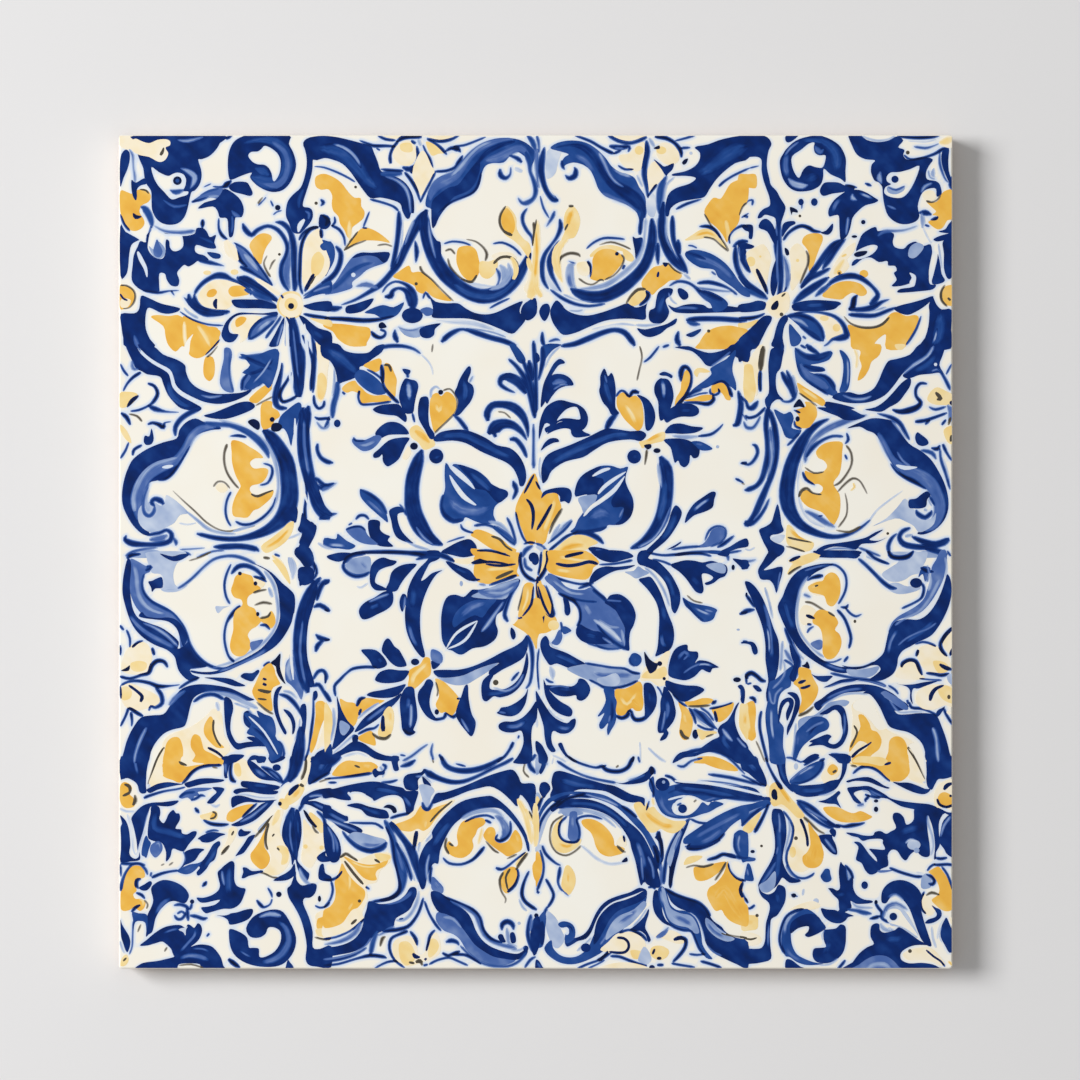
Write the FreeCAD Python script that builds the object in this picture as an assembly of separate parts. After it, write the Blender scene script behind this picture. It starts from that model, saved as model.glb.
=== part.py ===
"""A glazed earthenware wall tile (azulejo), pressed and fired as one square piece.

The tile lies on its back with its painted face up. The origin is the middle of the back's
resting plane, +Z points out through the glazed face, and +Y is the top of the painted design.
Lengths are millimetres and angles are degrees.
"""
import FreeCAD, Part
import math
import os
from FreeCAD import Vector

# The pressed blank
tile_side = 150.0
tile_thickness = 7.0
side_draft = 2.0         # the sides lean in towards the back, so the blank leaves its die
back_chamfer = 0.8       # bevel round the back, where the die halves meet
corner_radius = 0.6      # upright corners, seen from the face
arris_radius = 0.4       # where the glaze rolls over from the face to the sides

# The keys: shallow pockets in the back that the adhesive grips
key_count = 8            # pockets in a row; an even count leaves a rib crossing in the middle
key_border = 9.0         # flat margin between the pockets and the back's bevel
key_rib = 3.5            # standing rib between two pockets
key_depth = 0.6
key_draft = 40.0         # lean of a pocket's walls from upright
key_corner_radius = 1.5

# How far a cutting body runs on past the face that it opens
overrun = 1.0

side_slope = math.tan(math.radians(side_draft))
back_half = tile_side / 2 - tile_thickness * side_slope - back_chamfer
key_pitch = (2 * (back_half - key_border) + key_rib) / key_count
key_width = key_pitch - key_rib


def crossed_section(half_outline):
    """A square body whose section is the same both ways.

    half_outline is the right-hand half of the section from bottom to top, as (x, z) pairs.
    The section is run across in Y, turned by a right angle and crossed with itself.
    """
    right = [Vector(x, 0, z) for x, z in half_outline]
    left = [Vector(-p.x, 0, p.z) for p in reversed(right)]
    outline = Part.makePolygon(right + left + right[:1])
    run = 2 * max(p.x for p in right) + 2 * overrun
    across = Part.Face(outline).extrude(Vector(0, run, 0))
    across.translate(Vector(0, -run / 2, 0))
    along = across.copy()
    along.rotate(Vector(0, 0, 0), Vector(0, 0, 1), 90)
    return across.common(along)


def rising_edges(body, least_rise):
    """The edges of a body that climb by at least this much."""
    edges = []
    for edge in body.Edges:
        heights = [vertex.Point.z for vertex in edge.Vertexes]
        if max(heights) - min(heights) >= least_rise:
            edges.append(edge)
    return edges


def edges_at(body, z):
    """The edges of a body that lie level at height z."""
    return [e for e in body.Edges if all(abs(v.Point.z - z) < 1e-6 for v in e.Vertexes)]


def blank():
    """The plain tile with leaning sides and a bevelled back, eased at its corners and its face."""
    half = tile_side / 2
    body = crossed_section([
        (back_half, 0),
        (half - (tile_thickness - back_chamfer) * side_slope, back_chamfer),
        (half, tile_thickness),
    ])
    body = body.makeFillet(corner_radius, rising_edges(body, tile_thickness - back_chamfer))
    arris = min(arris_radius, 0.9 * corner_radius)
    return body.makeFillet(arris, edges_at(body, tile_thickness))


def key_pocket():
    """One pocket with leaning walls, from just below the back up to its floor."""
    slope = math.tan(math.radians(key_draft))
    pocket = crossed_section([
        (key_width / 2 + overrun * slope, -overrun),
        (key_width / 2 - key_depth * slope, key_depth),
    ])
    return pocket.makeFillet(key_corner_radius, rising_edges(pocket, key_depth))


def key_pockets():
    """The square pattern of pockets, centred on the back."""
    pocket = key_pocket()
    first = -key_pitch * (key_count - 1) / 2
    pockets = []
    for column in range(key_count):
        for row in range(key_count):
            place = Vector(first + column * key_pitch, first + row * key_pitch, 0)
            pockets.append(pocket.translated(place))
    return Part.makeCompound(pockets)


tile = blank().cut(key_pockets())
os.makedirs("parts", exist_ok=True)
tile.exportStep("parts/tile.step")
print(f"tile: {tile.Volume / 1000:.1f} cm3, keys {key_width:.1f} mm wide, valid {tile.isValid()}")
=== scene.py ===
# %% [markdown]
# # Azulejo tile
# An azulejo is a square earthenware tile. A white tin glaze covers its face, and the ornament is
# painted on the raw glaze with metal oxides: cobalt for the blues, antimony yellow for the ochre and
# a little manganese for the brown lines. The kiln fuses all of it into one hard skin.
#
# The tile's body comes from the CAD model and stays as it is. This lesson gives it a glaze and then
# paints it, one brush stroke after the other, as the painter did.

import math

import bpy
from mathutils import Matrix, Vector
from mathutils.geometry import delaunay_2d_cdt
from mathutils.kdtree import KDTree


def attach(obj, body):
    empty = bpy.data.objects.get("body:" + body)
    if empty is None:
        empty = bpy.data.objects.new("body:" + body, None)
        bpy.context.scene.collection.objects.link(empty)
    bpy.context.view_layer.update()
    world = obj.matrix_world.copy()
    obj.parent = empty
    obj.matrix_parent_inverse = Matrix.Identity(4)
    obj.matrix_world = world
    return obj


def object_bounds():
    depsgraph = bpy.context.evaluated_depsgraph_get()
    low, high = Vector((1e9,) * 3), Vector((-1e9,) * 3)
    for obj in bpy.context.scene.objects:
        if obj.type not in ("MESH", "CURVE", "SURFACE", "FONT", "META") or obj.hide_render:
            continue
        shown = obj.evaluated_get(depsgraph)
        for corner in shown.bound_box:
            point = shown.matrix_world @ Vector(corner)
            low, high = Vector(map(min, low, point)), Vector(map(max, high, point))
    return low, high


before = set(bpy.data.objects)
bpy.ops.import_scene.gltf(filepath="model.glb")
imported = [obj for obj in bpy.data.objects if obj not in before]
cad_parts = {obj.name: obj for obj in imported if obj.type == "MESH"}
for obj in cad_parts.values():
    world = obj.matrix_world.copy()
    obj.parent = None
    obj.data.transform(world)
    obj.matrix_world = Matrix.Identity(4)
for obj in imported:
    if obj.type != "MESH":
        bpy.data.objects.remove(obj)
cad_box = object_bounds()
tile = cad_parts["tile"]

MM = 0.001
tile_side = cad_box[1][0] - cad_box[0][0]
face_z = cad_box[1][2]
print("tile", [round((high - low) / MM, 2) for low, high in zip(*cad_box)], "mm")

# %% [markdown]
# ## Helpers
# Colours are read off a screen as hex codes, but shaders work in linear light, so one function turns
# the first into the second. A second one adds a node, with its settings and links, to any node tree.
# Writing trees through one such function keeps each line about the material and not about Blender. A
# Mix node has several inputs of the same name, so its links go by number: 6 and 7 are its colours, 2
# and 3 its plain values.

# %% Colours and nodes
def colour(hex_code):
    """A colour as it is read off a screen, turned into the linear light that shaders use."""
    channels = [int(hex_code[i:i + 2], 16) / 255 for i in (1, 3, 5)]
    linear = [c / 12.92 if c <= 0.04045 else ((c + 0.055) / 1.055) ** 2.4 for c in channels]
    return (*linear, 1)


def add(tree, kind, settings=None, inputs=None):
    """Add one node to a tree, with its settings, and fill its inputs with values or links."""
    node = tree.nodes.new(kind)
    for name, value in (settings or {}).items():
        setattr(node, name, value)
    for name, value in (inputs or {}).items():
        if isinstance(value, bpy.types.NodeSocket):
            tree.links.new(value, node.inputs[name])
        else:
            node.inputs[name].default_value = value
    return node


def set_ramp(node, stops):
    """Give a colour ramp its stops, as (position, colour) pairs."""
    elements = node.color_ramp.elements
    while len(elements) < len(stops):
        elements.new(0.5)
    for element, (position, hex_code) in zip(elements, stops):
        element.position = position
        element.color = colour(hex_code)


def new_material(name):
    """An empty material with its shader, and the shader's tree."""
    material = bpy.data.materials.new(name)
    material.use_nodes = True
    return material, material.node_tree, material.node_tree.nodes["Principled BSDF"]


# %% [markdown]
# ## Tin glaze
# The face is dipped in a glaze made white by tin oxide. It fires to a warm, slightly uneven white with
# a satin shine and keeps a slow waviness from the dip. It ends in an uneven line part of the way down
# the sides, and below that the bare biscuit shows: pink-buff, grainy and dull. An image could paint
# that line. Here the height of each point and some noise draw it, so that it fits a tile of any size.

# %% What the glaze is like
glaze_roughness = 0.3
glaze_shine = 0.15
glaze_wave = 9 * MM
glaze_wave_height = 0.2 * MM
glaze_wave_strength = 0.06
ground_patch = 16 * MM
drip_width = 5 * MM
drip_reach = 2.4 * MM
glaze_line = 3.1 * MM
glaze_line_fade = 0.2 * MM
biscuit_grain = 0.7 * MM
biscuit_roughness = 0.85


def glaze_bump(tree, shader):
    """The slow waviness that a poured glaze keeps after firing, on the tile and on its painting."""
    place = add(tree, "ShaderNodeTexCoord").outputs["Object"]
    waves = add(tree, "ShaderNodeTexNoise", inputs={"Vector": place, "Scale": 1 / glaze_wave, "Detail": 1})
    bump = add(tree, "ShaderNodeBump", inputs={
        "Strength": glaze_wave_strength, "Distance": glaze_wave_height, "Height": waves.outputs["Fac"]})
    tree.links.new(bump.outputs["Normal"], shader.inputs["Normal"])


def glaze_ground(tree):
    """The warm white of the fired glaze, a little thicker in some places than in others."""
    place = add(tree, "ShaderNodeTexCoord").outputs["Object"]
    patches = add(tree, "ShaderNodeTexNoise", inputs={
        "Vector": place, "Scale": 1 / ground_patch, "Detail": 2})
    ground = add(tree, "ShaderNodeValToRGB", inputs={"Fac": patches.outputs["Fac"]})
    set_ramp(ground, [(0.35, "#f2ecde"), (0.65, "#f3f0e6")])
    return ground.outputs["Color"]


# %% Glaze the tile
# To the eye: a warm satin white that ends in a ragged line over dull pink clay.
tin_glaze, tree, shader = new_material("tin glaze on fired earthenware")
place = add(tree, "ShaderNodeTexCoord").outputs["Object"]
height = add(tree, "ShaderNodeSeparateXYZ", inputs={"Vector": place}).outputs["Z"]
drips = add(tree, "ShaderNodeTexNoise", inputs={"Vector": place, "Scale": 1 / drip_width, "Detail": 2})
line = add(tree, "ShaderNodeMath", {"operation": "MULTIPLY_ADD"}, {
    0: drips.outputs["Fac"], 1: drip_reach, 2: height})
glazed = add(tree, "ShaderNodeMapRange", inputs={
    "Value": line.outputs[0], "From Min": glaze_line,
    "From Max": glaze_line + glaze_line_fade}).outputs["Result"]
grain = add(tree, "ShaderNodeTexNoise", inputs={"Vector": place, "Scale": 1 / biscuit_grain, "Detail": 4})
biscuit = add(tree, "ShaderNodeValToRGB", inputs={"Fac": grain.outputs["Fac"]})
set_ramp(biscuit, [(0.3, "#cfa98a"), (0.7, "#dfc0a2")])
skin = add(tree, "ShaderNodeMix", {"data_type": "RGBA"}, {
    "Factor": glazed, 6: biscuit.outputs["Color"], 7: glaze_ground(tree)})
tree.links.new(skin.outputs[2], shader.inputs["Base Color"])
rough = add(tree, "ShaderNodeMapRange", inputs={
    "Value": glazed, "To Min": biscuit_roughness, "To Max": glaze_roughness}).outputs["Result"]
tree.links.new(rough, shader.inputs["Roughness"])
shader.inputs["Specular IOR Level"].default_value = glaze_shine
glaze_bump(tree, shader)
tile.data.materials.clear()
tile.data.materials.append(tin_glaze)
print("glazed", tile.name)

# %% [markdown]
# ## The painter's strokes
# The ornament is painted freehand, so no two of its quarters are alike and no rule makes it. Each
# stroke is written down by itself instead, in the order it is painted, in the parts of the face it
# belongs to. A later stroke lies over an earlier one.
#
# A stroke is one line of text: two letters and then points in millimetres from the lower left corner.
# The first letter is the paint: k, n, b, m, l, p and g are cobalt from nearly black to a grey wash;
# y, e and c are yellow from full to cream; o is manganese brown; w is the bare glaze scratched free.
# The second letter is what the brush does: s draws a stroke through points of x, y and width, f fills
# the outline through points of x and y, d sets a dot of x, y and radius (or two radii), and w lays a
# soft wash that only changes the strength of the paint under it. A width that stays the same isn't
# written again.

# %% Start with an empty list
painting = []

# %% [markdown]
# ### Upper left quarter
# A rosette of cobalt and yellow petals sits in the quarter, with a scroll and a leaf mask in the
# corner beyond it. The big forms are painted before the lines and highlights that lie on them.

# %% Upper left corner: rosette, scroll and leaf mask
painting.append("""
cf 0 150, 2.5 150, 3.4 149.2, 2.6 147.6, 1.2 147.4, 0 148.4
nf 3.2 150, 18.7 150, 18.2 148.5, 17.4 147.2, 16.2 146.1, 14.9 145.6, 14.3 145.5, 14.8 143.8,
14.9 142.4, 14.5 141, 13.7 140, 13.1 139.7, 12.8 138.7, 12.4 136.8, 11.8 135.2, 10.7 134.1, 9.2 133.8,
7.8 134.1, 6.7 135, 6 136.5, 5.9 138.3, 5.8 139.9, 4.9 141.3, 4.6 142.5, 4.4 144, 3.8 145.4, 3.4 146.6,
3.2 148.5
cf 1.8 148.6, 3 149.3, 4 148.9, 5.5 148.5, 7 149.1, 8.5 149.2, 9.25 148.8, 9.2 148.1, 8.5 147.8,
8.5 147.4, 8.9 146.7, 8.6 145.8, 7.9 145.2, 7 145.2, 5.5 146, 4 146.3, 3 146.7, 2.3 147.3
os 8.1 147.7 .3, 7.9 147 .4, 7.5 146.3 .6
wf 5.9 144.2, 7.2 143.3, 8.8 142.6, 9.6 142.9, 10.5 143.2, 11.6 142.9, 12.1 142, 12 140.9, 11.6 139.9,
12.5 139.8, 12.3 139.2, 11 138.8, 9.9 138.4, 9.2 138.6, 8.2 139.7, 7 141, 6.2 142.6
bs 9.2 140.1 .3, 10.3 139.7 .9, 11.8 140.1 .5
kd 10.55 141.75 .78
bd 10.55 141.75 .35
ls 11.1 144 .2, 12.4 143.5 .7, 13.6 142.5 1.0, 13.4 141.3 .7, 12.8 140.3 .2
ls 10.6 149.1 .3, 12.5 148.9 .6, 15.2 149.6 .3
ms 8 138.3 .2, 10 137.1 .5, 12.3 137.4 .3
nf .25 145.6, 1.1 147.3, 1.9 146.9, 2 145.6, 1.6 143.9, .9 142.3, .25 140.7
ms 1.9 147.4 .3, 2.5 146.3 .5, 2.6 144.5 .4, 2.9 142.5 .5, 2.9 141.3 .4
yf .3 139.9, 1.5 139.7, 2.4 139.4, 3.2 140, 4.4 140.3, 5.4 139.8, 5.8 138.8, 5.3 137.9, 4.3 137.4,
3.8 136.7, 3.8 135.9, 4.5 134.8, 4.6 133.9, 4 133.1, 3 132.7, 2 132.9, 1.1 133.8, .5 135.2, .2 137
nf 2.3 141.9, 3.1 141.4, 4.6 142.2, 5 141.2, 4 140.9, 3.3 140.2, 3.3 138.9, 3.1 138.2, 2.6 138.8,
2.3 140.2
bs 3.9 137 .5, 4.6 136.8 1.1, 5.4 135.7 1.2, 5.9 134.3 .9, 5.9 133.2 .4
os 3.8 140.2 .2, 4.9 140 .3, 5.4 139.4 .2
ks 2.6 135.9 .3, 3.1 135.2 .6, 4.1 135.3 .3
ks .3 135.7 .3, 1 133.9 .4, 2 132.7 .4
ms 6.3 133.7 .3, 8.2 132.7 .5, 11 132.4 .7, 13.8 132.7 .7
bs 5.8 133.6 .3, 5.5 132.3 .4, 5 130.8 .5
nf .25 133.5, 1.2 132.6, 2.8 131.7, 3.7 131.1, 3.3 130.9, 2.3 130.2, 1.9 128.5, 1.7 126.2, 1.3 124.8,
.3 124.7
nf 3.9 130.9, 4.9 130.7, 5.3 132.4, 8.4 132.3, 11.4 131.8, 13.6 132.2, 14 133.2, 15.2 133.2, 15.9 132.5,
16.4 131.6, 17.5 132, 17.2 130.7, 17.5 129.6, 16 129.6, 14 130.2, 13.7 129.2, 14.3 128.6, 15.4 128.3,
16.2 127.4, 14.4 127.4, 13.4 126.7, 12.5 126.3, 11.8 126.6, 11 125.9, 10.5 125.1, 10.9 123.9,
10.6 122.8, 9.4 122.9, 8.6 124, 8.3 125, 7.3 125, 7.3 122.7, 7.2 121.8, 5.5 121.7, 4 122.1, 2.7 123.2,
2.3 124.4, 2.5 126.5, 2.7 128.3, 3.4 129.9
wf 6 132.9, 5.3 130.8, 5.3 129.3, 6.4 128, 7.8 127.7, 8.4 128.8, 8.4 130.4, 8.6 131.2, 9.1 130.8,
9.2 129.8, 9.8 129.1, 10.8 129.2, 11.6 130, 11.5 131.5, 11 132.1, 8.5 132.2
lf 5.4 130, 6.3 129.4, 7 130.9, 8.3 129.6, 8.3 128.5, 7.4 127.7, 6.2 128.2
mf 6.9 131.2, 7.4 130.2, 7.9 129, 7.4 128, 6.5 128.2, 6.2 129.1, 6.5 130.3
ws 3.4 129 .4, 4 127.6 .6, 4.8 126 .5, 5.1 124.4 .2
bs 14.5 131.6 .2, 16 131 .5, 17 130.5 .3
ks 4.3 122 .4, 7 121.6 .5, 9 121.9 .3, 10.8 122 .2
ks 9.4 122 .4, 10 121.1 .2
ks 15.1 134.8 .6, 15.1 134.3 .8, 15 133.1 .4
ns 14.2 127.5 .6, 16.5 127 .7, 19 126.4 .2
nf 15.9 128.9, 18.1 128.6, 18.2 127.8, 16.9 127.8
mf 13.3 138.1, 14.5 139, 16 140, 17.6 140.4, 19 140.2, 19.3 139.4, 18 138.5, 16.5 138.7, 15 138.1,
14 137.9
ls 15.5 138.7 .2, 16.8 138.9 .5, 18 139 .3
ks 13.1 137.9 .5, 14.5 138.3 .3, 16.2 138.9 .15
bs 14.6 139.1 .2, 16.3 139.9 .4, 18 140.3 .4
nf 19 140.3, 20.5 139.6, 21.9 138.3, 22.5 136.6, 22.1 135.2, 21 135.1, 20.8 133.2, 20.5 131.8,
19.9 131.6, 19.7 132.8, 19.5 134.9, 18.2 135.1, 17.8 136.2, 16.9 137.1, 14.3 136.7, 15.4 137.8,
17.4 138.4, 18.3 139.3
ms 20.3 136.4 .3, 21 135.6 .7, 21.9 135.3 .4
ms 20.4 135.4 .3, 20.5 133.8 .4, 20.3 132.4 .2
ks 18 135 .3, 18 133.2 .4, 18.6 131.9 .6, 19.6 131.1 .4
ks 15.3 140.6 .2, 16.6 141.2 .25
ks 16.9 140.7 .3, 18.5 140.6 .4, 19.4 141 1, 20.3 141.8 .5
nf 19.8 140.6, 20.8 141.5, 22.9 141.5, 23.6 140.7, 24.1 139.5, 23.6 139, 22.3 139.3, 20.5 139.8
nf 19.8 142.4, 19.6 144.5, 19.8 146.8, 20.6 148.6, 22 149.6, 24 150, 30.5 150, 30.6 148.4, 31.4 146.8,
31.9 144.8, 31.6 143.1, 30.7 141.2, 29.4 140, 27.6 139.7, 25.8 140.3, 24.3 141.4, 23.6 142.4,
23.9 143.2, 22 142.6, 20.3 141.9
bs 23.8 142.5 .6, 25.2 141.8 1.8, 27.5 141.2 2.2, 29.6 142.3 1.8, 30.3 144.6 1.8, 30 146.8 1.8,
28.3 148.6 1.5, 25.5 149.1 .8, 22.5 148.5 .3
ms 26 141.2 .3, 28.3 140.9 1, 29.9 142.4 .9, 30.4 145 .7, 29.6 147.2 .8, 27.6 148.7 .4
bs 24.5 144 .5, 25.8 143.6 1.4, 27 142.7 .8
wf 23.3 146.2, 23.8 146.9, 25 147, 25.7 147.5, 26.2 148, 27.2 147.7, 28.5 146.7, 29.1 145.4, 29.1 144,
28.8 142.8, 28.1 141.7, 27.7 141.9, 27.5 143, 27 144, 26.2 144.6, 25 144.7, 24 145.2
ks 19.3 149.2 .6, 20 149.7 .5, 20.5 150 .2
os 25 137.6 .5, 25.6 138.4 .3, 25.9 138.8 .2
ks 25.1 137.3 .3, 26 138.2 .2, 26.5 138.8 .2
ks 27.3 138.2 .25, 27.8 137.1 .35
kd 28.6 136.9 .5
ks 27.8 135.6 .25, 28.4 136.1 .25, 29.3 136.4 .25
nf 33.3 148.3, 33.7 146.5, 33.8 144.5, 33.4 142.3, 32.7 140.5, 31.5 139.4, 30.5 138.2, 30.1 136.8,
30.1 135.3, 30.6 134.2, 31.3 132.5, 32.4 132.2, 33 132.6, 34.3 134, 34.9 135.2, 34.8 136.4, 34.2 136.9,
33.2 137.1, 33.2 138, 33.7 139.6, 34.3 141.5, 34.8 143.5, 34.9 145.3, 35 147
ws 33.4 134.8 .5, 32.6 133.7 .7, 32.3 132.5 .3
bs 33.2 140.2 .3, 32.5 138.4 .6, 32.4 136.8 .3
ms 34.1 134.8 .3, 34.2 135.8 .5, 33.5 136.3 .3
yf 24.6 131.7, 25.9 132.3, 27.2 132, 27.5 131.2, 26.6 129.9, 26 128.4, 25.7 126.9, 25.2 126.8,
24.5 127.6, 24 128.8, 23.5 130.2
os 26.7 128.3 .2, 26.1 127 .3, 26.5 125.7 .35, 27.3 124.4 .4
os 27.1 125.7 .2, 27.6 126.9 .35, 28.2 127.6 .25
od 28.9 128.5 .25
ms 31 133 .2, 30.7 130.5 .5, 30.4 127.5 1.2, 30.1 124.5 1.3, 30.7 122.2 .7
ns 22.3 134.1 .5, 22.8 132.9 .9, 23.9 132 .8, 25 132.9 .7, 26.8 133.6 .6, 28.6 132.9 .7, 29.9 131.2 .7,
30.3 129.6 .6, 30 128.2 .6, 29.3 126.6 .7, 29.2 124.6 .7, 29.8 122.9 .6, 30.7 121.8 .3
ns 28.1 134.3 .3, 29.4 134.1 .8, 30.6 133 .9, 31.3 131.2 1, 31.5 129.5 1, 31.6 126 1.1, 31.7 123 1,
31.5 121.6 .5
ls 32.2 130.8 .3, 32.2 127 .5, 32.2 123 .4
ks 36 133.4 .5, 34.5 133 .6, 33.4 131.6 .6, 32.8 129.6 .6, 32.6 126 .6, 32.6 123 .5, 33.1 121.3 .4
mf 20.9 130.6, 22 129.7, 23.5 128.6, 25 126.8, 26.6 124.5, 27.7 122.9, 26.6 123.3, 25 124.8, 23.4 126,
22.2 127, 21.5 128.8
ls 22.5 128.6 .3, 23.6 127.4 .8, 25 125.6 .3
ks 20.7 130.6 .3, 22.6 129.5 .4, 24.4 127.6 .4, 26.4 124.8 .4, 27.7 122.9 .3
ks 21.3 129.2 .4, 21.9 127.4 .7, 23.2 126.2 .3
ns 21.8 126.3 .9, 23.2 125.7 .8, 25 124.6 .5, 27.6 122.8 .3
ns 21.7 124.4 .5, 23 124.2 .8, 25 122.9 .9, 26.8 121.4 .8, 28.5 119.9 .3
mf 24.1 121.9, 25.5 121.4, 27 120.5, 28.3 119.4, 26.4 119.9, 24.4 120.8
nf 20.3 120.2, 21.4 120.4, 24 120.4, 25.8 120.3, 28.3 119.4, 28.2 118.7, 25 118.8, 22 118.8, 20.8 119.2
cf 14.4 121.4, 15.5 122.8, 17.3 123.9, 20.3 123.7, 22.6 122.9, 23.5 121.5, 22 120.8, 20.2 120.4,
20.4 119.4, 18.8 118.4, 16.7 118.7, 15 119.4, 14.3 120.3
yf 15.8 121.2, 16.2 122, 17.2 122.3, 17.7 121.7, 17.1 120.9, 16.2 120.8
yf 19.7 121.8, 20.2 122.7, 21.8 122.9, 23 122.3, 23.5 121.4, 22 121, 20.4 120.9
ns 13.6 121.2 .5, 14.1 122.2 .6, 15.2 123.4 .7, 16.6 124.3 .8, 17.8 124.7 1.1, 19 124.6 1.1,
20.3 124 .6, 22 123.3 .5, 23.6 122.1 .4, 23.7 121.1 .3
ns 13.6 121.3 .6, 13.8 120 .9, 14.9 118.8 .8, 16.6 118.1 .8, 19 117.9 .4
ns 11.7 120.8 .2, 12.8 119.7 .6, 14.2 118.3 .6, 16 117.6 .7, 18.9 117.7 .4
ls 11.7 118.9 .3, 12.6 118 .4, 14.3 117 .5
ks 17.6 120.5 .5, 17.3 119.6 .6, 17.6 118.7 .4
ed 15.9 125.2 .7 .4
ed 20.8 125.3 .7 .5
cs 19.2 131 1.6, 20 129.3 2, 21.3 127.3 1.2
cs 24.5 124.2 .5, 27 122.6 .7, 29 121.2 1
ef 28.5 119.8, 29.4 121.4, 31 121.9, 32.4 121.5, 33 120.2, 33 118.6, 32.4 117.3, 31 116.9, 29.6 117.3,
28.6 118.4
kd 31 119.3 .78
yf .2 122.8, 1.2 122.9, 2.3 122.4, 2.9 121.4, 2.8 120.2, 2.1 119.1, 1 118.7, .2 118.9
cf .3 120.2, 1.2 120.6, 2.2 120.2, 1.6 119, .4 119
os .3 122.9 .2, 1.4 122.9 .3, 2.6 122.1 .3, 3 121 .3, 2.7 119.8 .3, 1.9 118.9 .2, .8 118.7 .2
ks .25 121.4 .3, .8 120.6 .3, 1.6 120.2 .3
nf 4 121, 5.3 120.7, 7.5 119.7, 9.6 119.2, 11 118.8, 10.6 118.2, 9 117.8, 7.5 118, 6.3 118.6, 5.2 118.8,
4.8 117, 4.9 115, 5.6 113.3, 6.4 111.8, 1.4 111.8, .8 113.5, .5 115.5, .4 117.8, 2.8 117.9, 3.7 118.8
ms 2.8 114 .3, 3.2 112.6 .7, 3.9 111 .4
""")

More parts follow.
